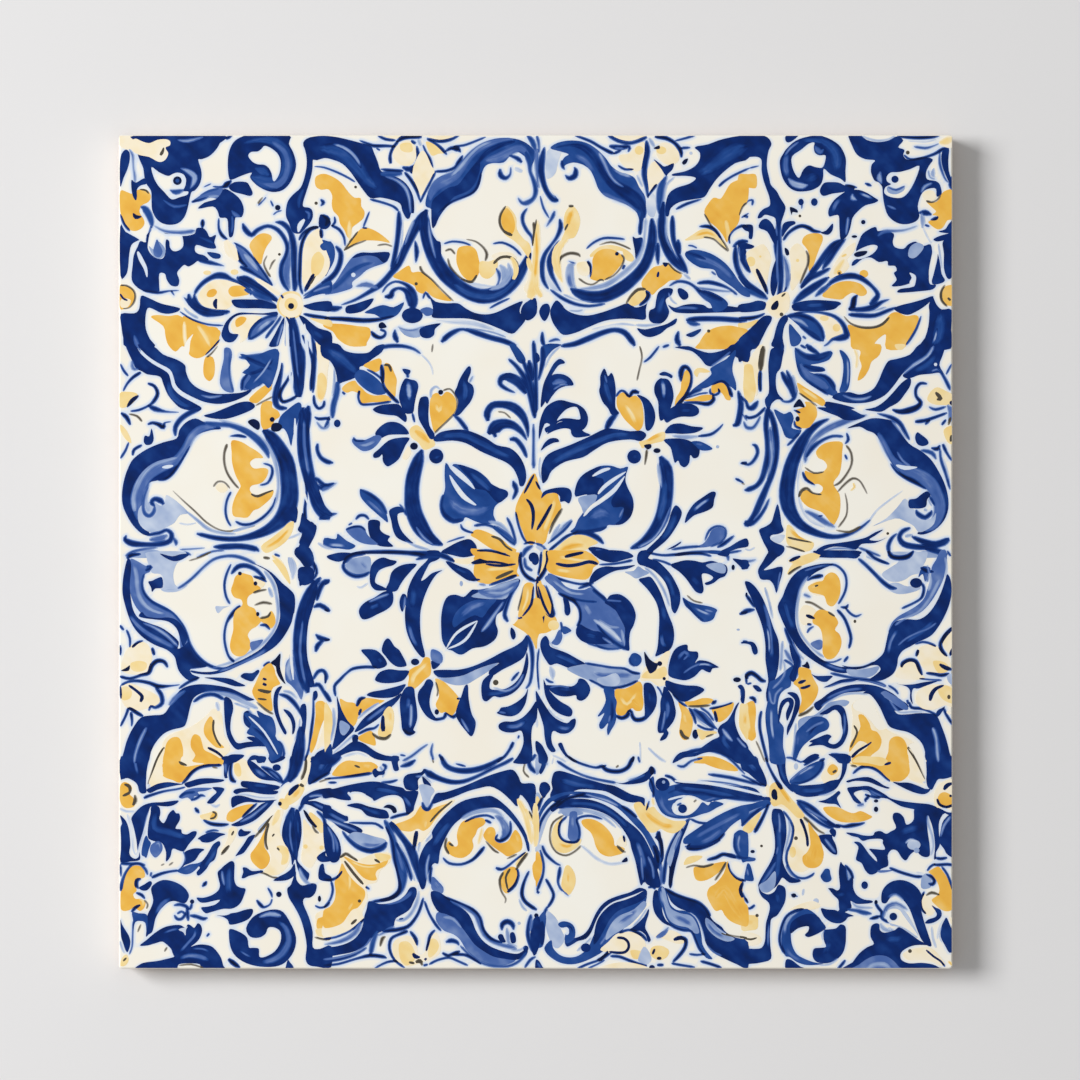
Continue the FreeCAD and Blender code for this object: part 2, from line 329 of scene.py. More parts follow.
# %% Top edge left of the middle: bracket and bud
painting.append("""
nf 33.2 148, 33.8 149.3, 36 149.8, 38.5 149.7, 41 149.2, 43.3 148.6, 45.3 148, 45.9 146.8, 46.6 145.1,
47.1 143.6, 48.3 142.9, 50.2 142.3, 51.7 141.2, 52.7 139.6, 53.1 138, 53.1 136, 52.6 135.9, 52.3 135,
51.7 135, 51 136.3, 50.6 137.6, 49 138.3, 47 138.7, 45.3 138.6, 44 140, 42.8 141.7, 41.6 143.4,
40.2 144.8, 38.5 145.5, 37 145.8, 35 145.5
bw 36 147.6 2, 39.5 147 2.8, 42.3 144.8 2.8, 44.5 142 2.2, 46.5 140.2 1
lw 38.3 148.4 .4, 40.3 147.8 .8, 41.9 146.7 .9, 43 145.3 .8, 43.6 144 .3
ls 48 142.5 .3, 50 141.8 .5, 51.5 140.5 .6, 52.2 138.7 .5, 52.4 137 .4, 52.5 135.9 .3
ks 45.2 138.4 .4, 47.5 137.8 .4, 49.4 137.1 .4, 50.3 136.3 .5
ks 43.3 149 .3, 45 148.3 .5, 46 148 .6, 48 148 .5, 49.8 147.9 .4
ks 46.3 147.6 .3, 47 147.2 .4
bs 47.1 143 1.1, 49 143 1.2, 51 143 1
ks 47.1 143.8 .4, 49.5 143.6 .5, 51.2 143.5 .5
cf 47.5 150, 48.5 149.4, 50 149.3, 51 149.7, 51 150
cf 55.5 150, 56 149.4, 57.7 149, 59.2 149.2, 60.3 150
cf 51 148.8, 52.5 148.9, 53.4 147.8, 53.6 146.3, 53 145, 51.9 144.4, 50.5 144.7, 49.5 145.8, 49.4 147.2
ef 50.6 148.2, 51.6 148.6, 52.6 148.4, 52.9 147.2, 52 146.8, 50.8 147.2
ef 55.2 148.7, 56.6 148.4, 58 147.4, 58.7 146.7, 57.5 146.6, 56.2 146.3
ks 49.9 148.7 .5, 51 149.4 .7, 52.5 149.7 .8, 54.5 149.6 .7
ks 50.3 148.9 .5, 49.3 147.6 .5, 48.8 146.2 .5, 48.9 144.8 .8
ks 53.6 148 .4, 53.9 146 .6, 53.5 144.5 .7, 52.5 143.1 .8
ns 51 144.2 .7, 52.3 143.8 .9, 53.3 144.6 .5
ns 52.6 149 .6, 53.4 148.4 .8
ls 53.9 149.2 .8, 54.3 148 .6
ks 54.7 148.2 .3, 55.3 146.8 .4, 55.9 145.6 .6, 56.5 144 .3
ks 55.4 149.2 .3, 57 148.4 .4, 58.2 147.4 .5, 59 146.4 .4
ks 46.6 149.9 .4, 48 149.2 .5, 49.8 149 .4
ks 55.4 149.4 .3, 57.6 148.8 .5, 59.6 149.1 .5, 61.2 149.9 .3
ks 58.7 147 .4, 59.8 147.6 .6, 61 147.4 .9, 61.5 146.8 .3
ks 60.2 147.9 .4, 62 148.1 .4, 63.5 148.6 .4, 66 149.6 .3
cf 52.8 143, 54 146.5, 55 147, 56.2 144.5, 56.8 143.2, 55.4 141, 54.3 139
ks 51.4 143.3 .5, 52.6 141.8 .6, 53.6 139.9 .5, 54.2 138 .3
ks 57 143.3 .4, 55.9 141.2 .4, 54.8 139.1 .4, 54.2 137.8 .3
ks 56.8 143.4 .4, 58.8 143.5 .5, 60.4 144.1 .5, 61.1 145 .7, 61.9 146.3 .4
bf 55.2 137.2, 55.4 139, 56.4 141.2, 58 142.6, 60.2 143.2, 61.4 144.9, 63 146.8, 65 148.3, 67.6 149.3,
70.5 149.4, 72.6 148.9, 74.2 147.8, 75 146.4, 74 144, 73.4 145.6, 72.6 146.4, 71.6 146.9, 70.4 146.2,
69.2 145, 67.3 144.9, 66.1 144.5, 65.4 143.4, 65.1 141.7, 64.4 140, 62.7 138.9, 60.3 138, 58.8 136.8,
57.6 135.1, 57 133.7, 56.4 133.3, 56.2 135, 56.2 136.6
ms 56 138.2 .6, 56.2 139.5 1.3, 57.2 141 1.8, 59 142 1.9, 60.8 143.1 1.6, 62.2 145 1.3, 63.8 146.8 1.2,
65.7 148.1 1.1, 68 148.8 1, 71 149 .8
lw 59.5 142.4 .5, 61.3 144 .9, 62.9 146 .8, 64.8 147.8 .6, 67 148.8 .4
nf 56.4 133.3, 56.2 136.2, 56.4 138.1, 57.6 139.3, 59.3 140.5, 61 141, 62.5 142.9, 63.9 144.6,
64.9 145.6, 64.9 143.5, 64.2 141.4, 62.7 139.8, 60.3 138.8, 58.8 136.9, 57.6 135.2, 57 133.8
bs 60.3 138.8 .2, 62.7 139.5 .6, 64.2 140.9 .6, 64.9 142.8 .5, 65.5 144.3 .5
ks 57.5 136 .2, 59.5 137.7 .4, 61.8 138.7 .4, 63.7 139.6 .4, 64.7 141.2 .4, 65.2 143.3 .3
ms 66 145.4 .8, 68 145.8 1.4, 70.5 147 1.4, 72.3 147.6 1.2, 73.6 146.4 .8
ns 64.5 144.9 .8, 66 146.7 1, 68 147.9 .9, 70 148.6 .7, 71.3 148.8 .5
ns 70.2 146.3 .4, 71.6 145.8 .7, 72.5 145 .8
ps 71.2 144 1.2, 72.6 143.4 .9
ns 68.6 143.9 .6, 68.7 142.7 .9, 69.6 142.2 .7, 70.4 142.9 .4, 70.5 144.2 .25
bs 73.2 147 1.2, 73.9 145 .9, 74 143.4 .6, 74.6 141.8 .7, 75 140 .8, 74.6 138.6 .7, 73.5 137.8 .9,
72.5 137.8 .6, 71.8 138.7 .3
bs 73.4 150 .5, 74.4 148.8 .9, 75 147 .8
yf 61 129.5, 62 130, 63.3 130, 64.3 129.2, 64.7 127.8, 64.9 126.9, 64.9 125.5, 64.3 124.2, 63.6 123.7,
62.7 123.9, 61.7 124.8, 61 126.2, 60.7 127.6
ef 65 127.2, 66.5 127.2, 67.8 127.6, 68.2 126.8, 67.8 125.4, 66.7 124.2, 65.5 124.3, 64.8 125.4
cf 67 128.2, 68.5 128.9, 70.5 128.8, 71.6 127.8, 70.6 127.4, 69.4 127.6, 68.2 127.3
ks 58.5 130.4 .3, 60 130.8 .35, 62 130.6 .35, 63.3 130.1 .3
os 62.5 131.2 .2, 64.2 130.8 .3, 65.6 129.7 .4, 66.2 128.5 .5, 65.9 127.3 .4
ks 67.3 130.4 .3, 69 130.6 .4, 71 129.7 .4, 72.4 128.3 .4
os 58.7 129.1 .4, 59.7 129.4 .4, 60.5 128.5 .35
ps 61.5 124 .6, 63.5 122.9 1.2, 66 122.4 1.2, 68 122.4 .8
ls 68.5 126.6 .8, 69.3 125.6 1.2, 69.4 124 1.2, 68.8 122.6 .8
bs 67.9 126 .4, 68.4 125 .6, 68.4 123.8 .4, 67.9 122.6 .3
os 59.2 127.8 .3, 59.6 126.3 .4, 60.8 124.8 .4, 62.3 123.8 .35, 63.6 123.6 .4, 64.4 124.8 .3
os 67.4 126.8 .4, 68.6 127.9 .4, 70.3 128 .4, 71.5 127 .5, 71.9 125.4 .5
ns 55.6 136.5 .6, 54.4 135 1.5, 52.9 132.4 1.6, 51.7 129.8 1.3, 50.3 126.8 1.2, 48.7 124.8 1, 47 123 1,
45 121.7 .7, 42.5 120.3 .5, 40 119.4 .3
ls 53.2 134.8 .5, 52.2 132.6 .6, 51.4 130.2 .4
ns 50.4 136.3 .6, 50.4 134 .9, 50.1 131 .8, 49.6 128 .8, 49 125.8 .6
ls 51 134.8 .3, 51 132 .3, 50.6 129 .3, 50 126.8 .2
ns 55.3 136.6 .6, 54.9 135 1.8, 55.1 133 2, 55.8 130.5 2.4, 57 127.5 2.6, 58.8 124.8 2.6,
61.3 122.6 2.4, 64 121.2 2.5, 66.5 121 2.6, 69 121.9 2.4, 71.3 123.8 2, 72.7 126 1.6, 73.4 127.8 .8,
74 129 .4
nf 56.1 132.2, 57.2 131, 57.9 130.6, 58 128.5, 58.2 127, 56.8 127.5
ns 53.3 131 .3, 53.6 129 .8, 53.4 127 .3
ls 55.8 134.8 .3, 55.9 132.5 .5, 56.4 130 .5, 57 127.8 .3
bw 60 123.4 .8, 63 121.4 1.4, 66.5 120.8 1.4, 69.5 122 1.2, 71.8 124.4 .8
ks 66.7 118.8 .3, 68.3 119.7 .4, 70.3 120.6 .3
yf 49.3 124.5, 50.5 125.5, 52.2 126.5, 52.7 125.3, 54 125.4, 55.3 124.9, 56.8 123.4, 58.3 121.6,
59.9 120.2, 58.5 120.2, 56.5 120.8, 55.3 121.9, 54.7 121.4, 53.6 121.9, 53.2 122.8, 52 123.4, 50.6 123.9
os 54.2 126.4 .6, 54.6 125.4 .4, 56.3 124 .3, 58.2 122 .3, 60.2 120.1 .3
od 53.5 123.2 .3
ks 54.7 120.5 .3, 55.2 121.6 .4, 56 120.5 .5
nf 55.9 121, 57 120, 59 119.7, 61 119.7, 62.4 118.8, 64 118, 66 117.7, 68 118.1, 70.3 119.2, 72.6 120.1,
72.2 118.9, 72.2 117.9, 73.2 116.9, 72 115.2, 70.7 114.2, 68.5 115.1, 66 116.1, 63 116.9, 60 117,
57.5 117, 56.3 117.3, 56.5 118.8, 56.3 119.7
nf 72.3 117.8, 72.6 119.2, 73.6 120.1, 75 120.6, 75.2 118, 74 116.7, 73 116.8
ps 57 116.6 .4, 60 116.3 .6, 64 116 .8, 67.5 114.9 .7
ns 58 112.7 .9, 59 113.7 .9, 60.4 114.6 .8, 62 115 .5, 64.5 114.3 .9, 67 113.5 .9, 69.3 112.9 .9,
71.5 112 .8
ms 62.5 115.2 .3, 65 114.9 .3, 67.5 114.4 .3, 69.6 113.6 .3
ns 47.4 121.6 .3, 48.3 122.9 .4, 49.8 123.6 .4, 51.6 123.1 .6, 52.8 121.9 1, 53 120.4 1.6, 52.8 118.6 2
ns 47.8 120.9 .7, 48.9 121 1, 49.3 121.9 .7, 50.3 122.4 .5, 51.6 122 .9, 52.4 120.8 1.6, 52.5 119.2 1.8
nd 52.8 117.5 1.9 1.4
mf 54.2 118.5, 55.3 119, 56.4 118.7, 56.4 117.7, 55.4 117.4, 54.8 117.8
bf 44.2 118, 45.8 118.9, 47.6 119.4, 49.4 119, 51.3 119.9, 50.6 118.2, 49.4 117.2, 47.4 117, 46 117.7
mf 37 121.4, 39 123.6, 40.5 126, 42 128, 43.5 128.8, 46 128.6, 48.6 128.8, 48.5 127.6, 47.8 126.9,
46 126.3, 44.5 125.6, 43.4 124.6, 42 123.5, 42 122.5, 40.5 121.9, 38.5 121.4
bw 38 121.9 .8, 40 123.6 1.4, 41.8 125.4 1.4, 44 126.6 1, 46 127 .6
nf 42 127.8, 43.4 128.8, 45.5 128.8, 48.6 128.9, 48.4 127.6, 47.6 127, 46.4 128, 44.5 128.3
wd 42.2 124.8 .4
ms 42.6 122.7 .3, 44.5 123.1 1, 46.6 122.4 .7
nf 40.9 119.1, 42.5 119.6, 44 120.1, 45.8 120.6, 45.4 119.6, 44.4 118.6, 43 118, 41 117.9
ns 37 119 1, 38.8 118.7 1, 40.2 119 .6
ks 37 117 .5, 40 116.9 .7, 44 116.6 .8, 47 116.8 .6, 49.5 117.4 .4
yf 37 116, 40 116, 43 115.6, 45 115.3, 45.3 114, 44.6 112.6, 44.3 112, 41.5 112, 39.5 113.2, 38.5 114.6,
37 115.4
ks 45.4 114.7 .5, 46 113.9 .7, 47 113.5 .6, 47.8 113.9 .5, 47.9 114.6 .4, 47 115 .6
kf 46.9 115.2, 46.8 116, 47.5 116.3, 48.2 115.4
ns 49.7 115 .4, 49.7 113.8 .9, 50.2 112.6 .8
lf 50.4 115.3, 52 114.9, 54 115, 54.3 113.8, 53 113.5, 51.4 114
nf 54.1 115, 55.3 115.7, 57.9 116.1, 56.9 115.1, 56.7 114, 55.7 113.4, 54.4 113.7
ms 50.2 115.5 .3, 51.5 115 .3, 53 114.9 .4, 55 115.6 .3
yf 35.4 142.4, 36.8 143, 38.4 142.5, 40 141.4, 41.3 139.7, 42.4 138.7, 43.5 138.6, 43.6 137.2,
44.2 136.2, 44 135, 43 134.1, 42 133.3, 41.8 132, 41.2 131.5, 40.6 132.8, 39.8 134, 39.5 135.3,
38.6 136.3, 38.3 137.6, 38.4 139, 37.7 140.2, 36.4 140.1, 35.4 140.8
yf 40.6 129.3, 41.6 130.8, 42.6 132.2, 44 133.3, 45.6 133, 47.3 132, 48.8 130.6, 47 130.9, 45 131,
43.3 130.8, 42 129.9
es 41.6 130.6 .3, 41.5 132.5 .8, 41.5 134.6 .3
ks 35.2 144.3 .2, 37 144.1 .3, 39.4 143.2 .35, 41.4 142.2 .35, 42.5 141.5 .25
od 42.6 140.6 .25
ks 45.1 136.2 .25, 44.5 134.7 .35, 44 133.4 .3
ks 43.8 133.3 .3, 44.7 133.2 .3
os 40.5 129.2 .3, 41.7 130.9 .3, 43 132.6 .3
os 40.5 129.2 .3, 42.3 130.2 .3, 44.5 131 .25
os 46.5 130.1 .3, 48 130.3 .3, 49.2 129.9 .3
ks 38.8 135.3 .3, 38.9 134.3 .4, 38.3 133.6 .4
ks 38.2 133.7 .4, 39.6 133 .5, 40.5 131.6 .4, 40.7 130 .3
nf 36 133.5, 36.2 135.6, 37.2 135.4, 38 134.7, 38.1 133.8, 37.2 133
bf 36.2 130.6, 37.5 130.9, 38.5 130.4, 38.9 129, 38.7 127.3, 37.8 125.6, 37 124.8
ns 39 130 .7, 39.9 128.8 .8, 39.8 127 .9, 39 125.2 .9, 37.8 124 .9, 36.5 123.3 .8
ef 69.6 137.2, 68.6 135.5, 68.8 133.5, 69.5 132, 71 131, 72.3 129.8, 73.4 128.2, 74 127.6, 74.2 129,
73.8 130.5, 72.8 131.3, 71.6 133, 71.5 135, 70.6 136.5
yf 69.6 136.8, 68.8 135.4, 69 133.6, 69.8 132.3, 70.8 132.2, 71.3 133.6, 71 135.2, 70.3 136.4
os 69.6 137.2 .3, 68.7 135.8 .4, 68.5 134.2 .4, 69.2 132.7 .4, 70.8 131.9 .5
ns 73.5 136.8 .3, 72.7 135.6 .6, 72.7 134.2 .6, 73.4 132.8 .6, 74.3 131.6 .5, 74.6 130 .4
os 74.6 134.3 .5, 74.7 132.6 .4, 74.6 130.4 .3
ks 74.1 128.8 .3, 73.9 127.5 .4, 73.6 126.6 .4
cf 73.8 126, 75 126.5, 75 121, 73.6 121.3, 72.8 122.4, 73.6 124
""")

# %% Left edge above the middle: bracket and yellow lobes
painting.append("""
nf 3.4 112.3, 5 110.4, 7 109, 9.2 107.8, 9.9 106.3, 10.3 105, 11.5 103.8, 14 102.5, 16 101.8,
18.4 101.6, 21 102.2, 23.2 103.3, 24 104.3, 22.3 103.7, 20.6 103.5, 18.4 103.4, 16.5 103.6, 14.3 104.4,
12.8 105.7, 12.1 107.4, 11.9 108.6, 10.4 109.6, 8 110.5, 6.2 112
ls 14.8 103.2 .2, 16.5 102.8 .5, 18.6 103.1 .3
nf 1.2 112.4, 2.9 112.2, 4 110.6, 6 108.9, 8.7 107.3, 9.3 106, 9.7 104.6, 11 103.2, 13.3 101.9,
14.9 100.9, 14.2 100.2, 12.9 100.4, 11.2 100.8, 10 101.8, 8.8 103.3, 8 105.2, 7.4 106.5, 5.2 106.9,
4.1 107.5, 3.1 108, 2.3 109.6
bw 8.8 105.5 1, 9.5 103.2 1.4, 11.3 101.6 1, 13 101 .5
ks .3 108.8 .3, .9 107.6 .4, 1.7 106.6 .4
ms 2.4 109.4 .6, 2.6 108 .7, 3.6 107.8 .4
ks 4 107.3 .6, 2.6 106.4 .5, 1.5 105.2 .4, .8 103.9 .3
ef .2 103.5, 1.5 103.8, 3 103.6, 3.5 103, 3 102.2, 1.8 101.2, .2 101
ks 1.5 101 .3, 2.4 102.2 .6, 3.6 103.1 .4
ks 5.2 105.3 .5, 6.4 104.8 .5, 7 103.5 .6, 6.4 102.2 .6, 5.4 101.3 .4, 3.6 100.5 .4, 2.1 100.3 .3
ns 5.2 101.4 .4, 6.5 100.7 .9, 8.5 100.2 .4, 10.8 100.1 .2
ks .4 100 .6, 1.4 99.2 .7, 2.1 97.8 .5
os 1.8 99.8 .3, 3.3 99.4 .4, 4.2 98.4 .4
ef .3 97.9, 1.3 97, 2.1 95.5, 2.2 94.5, 1.2 95.3, .4 96.6
ks 5.2 97.9 .5, 6.1 98.2 .5, 7.2 97.9 .7, 8 97.5 .9, 8.3 98.2 .3, 9.4 98.4 .2
nf 5.9 97.2, 6.3 95.4, 5.9 94.4, 5 94.2, 4.5 94.8, 4.7 95.9, 5.5 95.8
ks .3 91.8 .4, 1.2 93.2 .4, 1.8 94.7 .3
ks 2.5 92.3 .5, 2.8 93.4 .5, 4.2 94.2 .5
ns 10.2 95.8 .6, 10.2 97.4 .8, 11.2 98.9 .9, 12.8 100 .9, 14.6 100.7 .8
nf 15.5 98.3, 13.8 99, 12.1 98.3, 10.9 96.9, 10.4 95.4, 8 94.7, 5.1 93.5, 2.7 91.8, 1.7 90.1, 1 88.1,
.6 85.7, .7 83.5, 1.5 81.5, 2.7 79.6, 4.4 78.1, 5.6 78.2, 4.4 80.4, 4 82.5, 4.6 85, 5.4 87.3, 7.3 87.9,
9.2 88.6, 10.9 90.8, 12.4 93.2, 13.3 95.2, 14.5 96.2, 16.7 96.9, 18.4 97.1, 17.5 98
ms 17.5 97.5 .6, 15 97.2 1.2, 13.2 95.8 1.3, 12 93.6 1.3, 10.3 91.4 1.5, 7.5 90.3 2, 5.2 88.8 2,
3.9 86.6 2, 3.3 84.3 1.8, 3.6 82 1.6, 4.6 80 1.3
ls 10.5 91.9 .4, 8.5 91.4 .5, 6.3 90.6 .6, 4.5 89 .7, 3.2 86.8 .9, 2.6 84.5 .9, 2.9 82.3 .8
ws 7.8 90.2 .3, 8.8 90.3 .5, 9.8 90.5 .3
ks 12.8 94 .3, 11.3 91.4 .4, 9.8 89.2 .5, 8.4 88.1 .5, 7 87.9 .3
gf 8.5 85.2, 9.6 84.7, 11 83.6, 12.5 82, 11 81.6, 10 80.2, 8.5 79.4, 6.5 78.5, 4.8 78.9, 3.6 80.3,
3.5 82.3, 4.3 83.5, 6.2 84, 7.5 83.3, 8.3 83.9
ls 5.3 86.6 .8, 4.8 84.5 .8, 5.4 82.3 1
bs 5.6 87.6 .4, 4.6 85 .4, 4.4 83 .5, 4.8 81.8 .6, 5.6 81.5 .6, 6.3 82.2 .6, 6.5 83.2 .5
ns 6.5 83.2 .6, 5.9 83.9 .7, 6.5 84.5 .8, 7.5 84.2 1, 8.1 83.5 .9
ns 1.4 78 .4, 1.2 77.2 .8, 2.5 76.5 1.1, 5 76.3 .8, 7.5 76.4 .9, 9.2 77 .9, 9.5 78.2 .8, 8.6 78.9 .6,
7.3 78.4 .6, 5 78 .5
ms 5.5 77.2 .9, 7.5 77.4 1.1, 8.8 78 .8
bs 10 77.6 .4, 10.3 76.6 .8, 10.2 76.1 .4
lf 2 74, 3.5 75.2, 6.3 75.4, 8 74.8, 8.5 74
bs 1.2 74.2 .5, 2.5 75 .5, 4.5 75.5 .4, 7 75.7 .3
os 9.7 86 .15, 11.6 84.2 .25, 13.8 82.2 .3, 15.8 80.3 .3, 18 79 .3, 20 78.7 .3, 22.5 79.3 .3,
24.5 79.7 .3
ls 12 82.4 .3, 14 80.8 .5, 16 79.2 .6, 18.5 78.4 .5, 21 78.2 .4
gs 10.8 80.2 .3, 12.3 79.9 .3, 13.9 80.2 .2
ls 18 98.7 .4, 21.5 97.7 .6, 24.5 96.1 .6, 26.8 94.2 .8, 28 91.8 .8, 28.6 89 .7, 28.7 86.5 .6,
28.2 84 .7, 26.6 81.7 .8, 24 79.9 .6, 20.5 78.6 .4
bs 15.2 98.3 .4, 17.5 97.9 .9, 20 97.7 .7, 22.8 96.7 1, 25 95.1 1.2, 26.5 93.2 .9, 27 91.8 .4
ns 26 97 1.6, 28 95 2.2, 30 91.5 2.8, 30.6 88 3, 30.7 84.5 3.2, 29.8 81.6 3, 27.5 79.4 2, 24.5 78 1.3,
21 77.3 .9, 17.5 77.5 .8, 14 78.3 .6
nf 30 82.5, 32.1 83, 31.9 80.3, 30.8 80.6, 29 79.8
ns 17 75.9 .5, 19 75.9 1, 22 76 1, 24.6 75.5 1, 25.2 75 .5
bs 14 74 .4, 17 75.1 .4, 19 75.2 .3
ns 10.5 74.4 .4, 12 74.8 .5, 13 74.4 .4
bs 11 75.4 .3, 13 75.5 .3, 15.5 75.7 .2
nf 15.3 99.5, 17.3 100.1, 19.5 101, 21.8 101.9, 23.6 102, 24.5 101.3, 24 100.6, 22 99.7, 19.3 98.9,
16.8 99
yf 20.3 95, 22 94.8, 23.5 93.9, 25 93, 26 91.9, 24.5 91.8, 23.6 91, 24.3 90, 26 90.1, 26.9 89.7,
26.5 88.3, 25.5 87.3, 23.9 86.9, 23.6 86, 24.6 85.2, 26.5 85.8, 27.8 86.1, 27.6 85, 26.6 83.9,
25.2 82.8, 24.2 82.4, 23.2 81.2, 21.8 81.2, 20.6 81.5, 20.4 83, 20.9 84.8, 21.7 86.3, 21.9 87, 21 88.8,
20.4 91, 20.3 93
os 19.5 94.4 .5, 19 92.8 .4, 19 91 .4, 19.5 89.2 .4, 20.6 87.5 .4, 21.6 86.4 .3
ks 20.2 85.8 .4, 19.5 84.4 .4, 19.2 82.5 .4, 19.5 80.8 .4, 20.2 79.6 .3
ks 20 95.8 .2, 21.5 95.9 .5, 23 95.6 .4
ks 26 90.9 .3, 27.4 90.4 .4, 27.6 89 .5, 26.8 87.4 .4, 25.4 87 .3
os 23.8 85.4 .3, 25 85 .4, 26.5 85.6 .3, 27.8 86.1 .2
ks 21 80.5 .4, 22.3 79.9 .5, 24.3 80.2 .4, 26.3 81.5 .4, 27.7 83.2 .3, 28.2 84.8 .2
cf 17.4 86.5, 18 87.3, 19 87.2, 19.6 86.2, 18.5 85.6
os 17 86.7 .3, 17.8 87.6 .35, 19 87.5 .3, 20 86.4 .3
mf 19 111.6, 20 111.6, 20.4 110.5, 20.1 108.5, 20.1 106.5, 20.7 104.2, 20.4 103.6, 19 104, 18.2 105.3,
18.4 107.5, 18.9 109.8
bs 20 111 .3, 19.9 108 .4, 20.2 105.5 .4, 20.6 103.8 .4
yf 5.8 117.2, 7 117.6, 9 117.4, 10.6 117.6, 12 116.8, 13.5 116, 15 115.6, 17.5 115.4, 18 114.4,
18 112.6, 17 111.6, 16 110.7, 15 110.2, 13.6 110.1, 12.5 111.2, 11.4 112, 10.2 111, 8.9 112.2,
8.4 113.8, 8 115.6
yf 15.6 110, 15.2 108, 15.4 106.5, 16.3 105.7, 17.1 106.6, 17.3 108.4, 16.9 110
os 17.8 112 .2, 16.7 110.7 .3, 15.8 110 .3
bs 21.6 110 .5, 24 110 1, 26.5 110.1 1.4, 28.4 110.6 1
bs 23.4 107.7 .5, 25.5 108.4 1.1, 28.5 109.6 1.2
bs 22.7 106.8 .4, 24.6 106.9 1, 26.8 108 1, 28.6 109 .8
ns 24.6 104.6 .4, 25.5 105.6 1, 27 107.3 .9, 28.5 109 .6
mf 22.2 104.2, 22.6 106.3, 23.8 106.8, 24.4 105.4, 23.6 104.2
ns 22.1 104 .5, 22.3 105.8 .6, 23.2 106.9 .5
yf 23.4 102.3, 24.5 103.6, 26 104.8, 27.8 105.5, 28 104.9, 27 103.7, 25.6 102.3, 24.6 101.7
os 24.6 101.3 .3, 26.3 102.2 .3, 27.7 102.9 .3
yf 25.6 101.4, 26.5 102.1, 27.6 102, 27.6 101, 28.6 100.4, 29 99.4, 28 98.6, 27.6 97.6, 26.2 97,
25.6 97.8, 25.5 99.4
bf 28.5 96.9, 29 99.2, 30.4 100.6, 32.3 101.9, 32.9 101, 32.2 98.5, 31.4 96, 31 94, 30.4 96, 29.6 97.2
kd 27.6 98.8 .45
kf 27.6 98, 28.6 98.2, 29.4 97.6, 29 96.8, 28 96.6, 27.4 97
kf 23.2 98.4, 24.2 98.9, 25.2 98.4, 25.4 97.4, 25 96.9, 24 97.5
ns 32.2 112.5 2, 32.6 110 2, 32.5 107 1.9, 32.3 104.5 1.8, 32.2 102.8 1.6
ks 33.6 112.5 .4, 34.6 110.5 .5, 35 108 .6, 34.6 105.5 .5, 34.5 103.9 .3
ns 29.4 109 .5, 29 107 .9, 28.6 105 1.1, 28.2 103 1.1, 28.3 101.6 1, 29 100.9 .8, 30.3 100.8 .7
ks 31 107.3 .4, 30.3 105.8 .5, 29.3 104.2 .6, 29 103 .6, 29.5 102 .6, 30.8 102.3 .5, 32 103 .6
ns 34.2 101.3 .9, 33.7 99 1.8, 33.2 96 1.8, 33.2 93 1.9, 33.7 90 1.6, 34.6 87.8 1, 36 86.6 .8,
37.5 86.6 .9
ls 32.2 95.5 .4, 32.3 92.5 .5, 32.9 90 .4
ns 34.6 87.4 .7, 34.9 85.5 1.4, 35.4 83.5 1.4, 36.5 81.7 1.2, 38 80.9 .9
ns 35.6 86.4 .5, 36.2 84.6 .6, 37 83 .4, 38 82 .3
ks 33.2 90 .3, 33.8 86 .4, 33.5 83 .5, 33.5 80.5 .8
nf 33 82, 33.8 81, 34.8 80.2, 35.6 79.6, 35.3 78, 34.6 76.6, 34.2 75.5, 35 74.4, 33.6 74, 32 74.6,
32.6 76.5, 33.2 77.9, 32.2 78.9, 32.6 80
cf 35.2 112.5, 35.9 109, 35.6 105.5, 35.4 103.2, 36.2 101.9, 36.9 102.6, 37.4 104.5, 37.6 107.5, 38 110,
38 112.5
ef 35.8 106.5, 36.6 107.2, 37.4 106, 37.3 104, 36.6 102.4, 35.8 103
ks 35.1 103.2 .4, 35.2 101.8 .5, 35.9 100.8 .5, 36.8 101.2 .5, 37 102.2 .5
ks 35.2 99.3 .3, 36 98.9 .5, 37.6 99 .5, 38 98.7 .4
ms 35.6 98.4 .3, 36.5 97.3 .5, 37.5 97.4 .4, 37.9 98.3 .3
ns 35.8 94.5 .6, 35.7 93.4 .6, 36.3 92 .7, 37.5 91.2 .8, 38.6 91 .5
ef 25.7 76.1, 27.5 77.5, 29.3 79, 30.5 80.2, 31.5 80.4, 31.2 79, 30.3 77.8, 29.2 76.6, 28 75.6,
26.9 75.2
ys 27 76.2 .5, 29 77.8 .9, 30.5 79.4 .6
gs 29.5 77.2 .3, 31.5 77.8 .4, 33 78.5 .3
""")

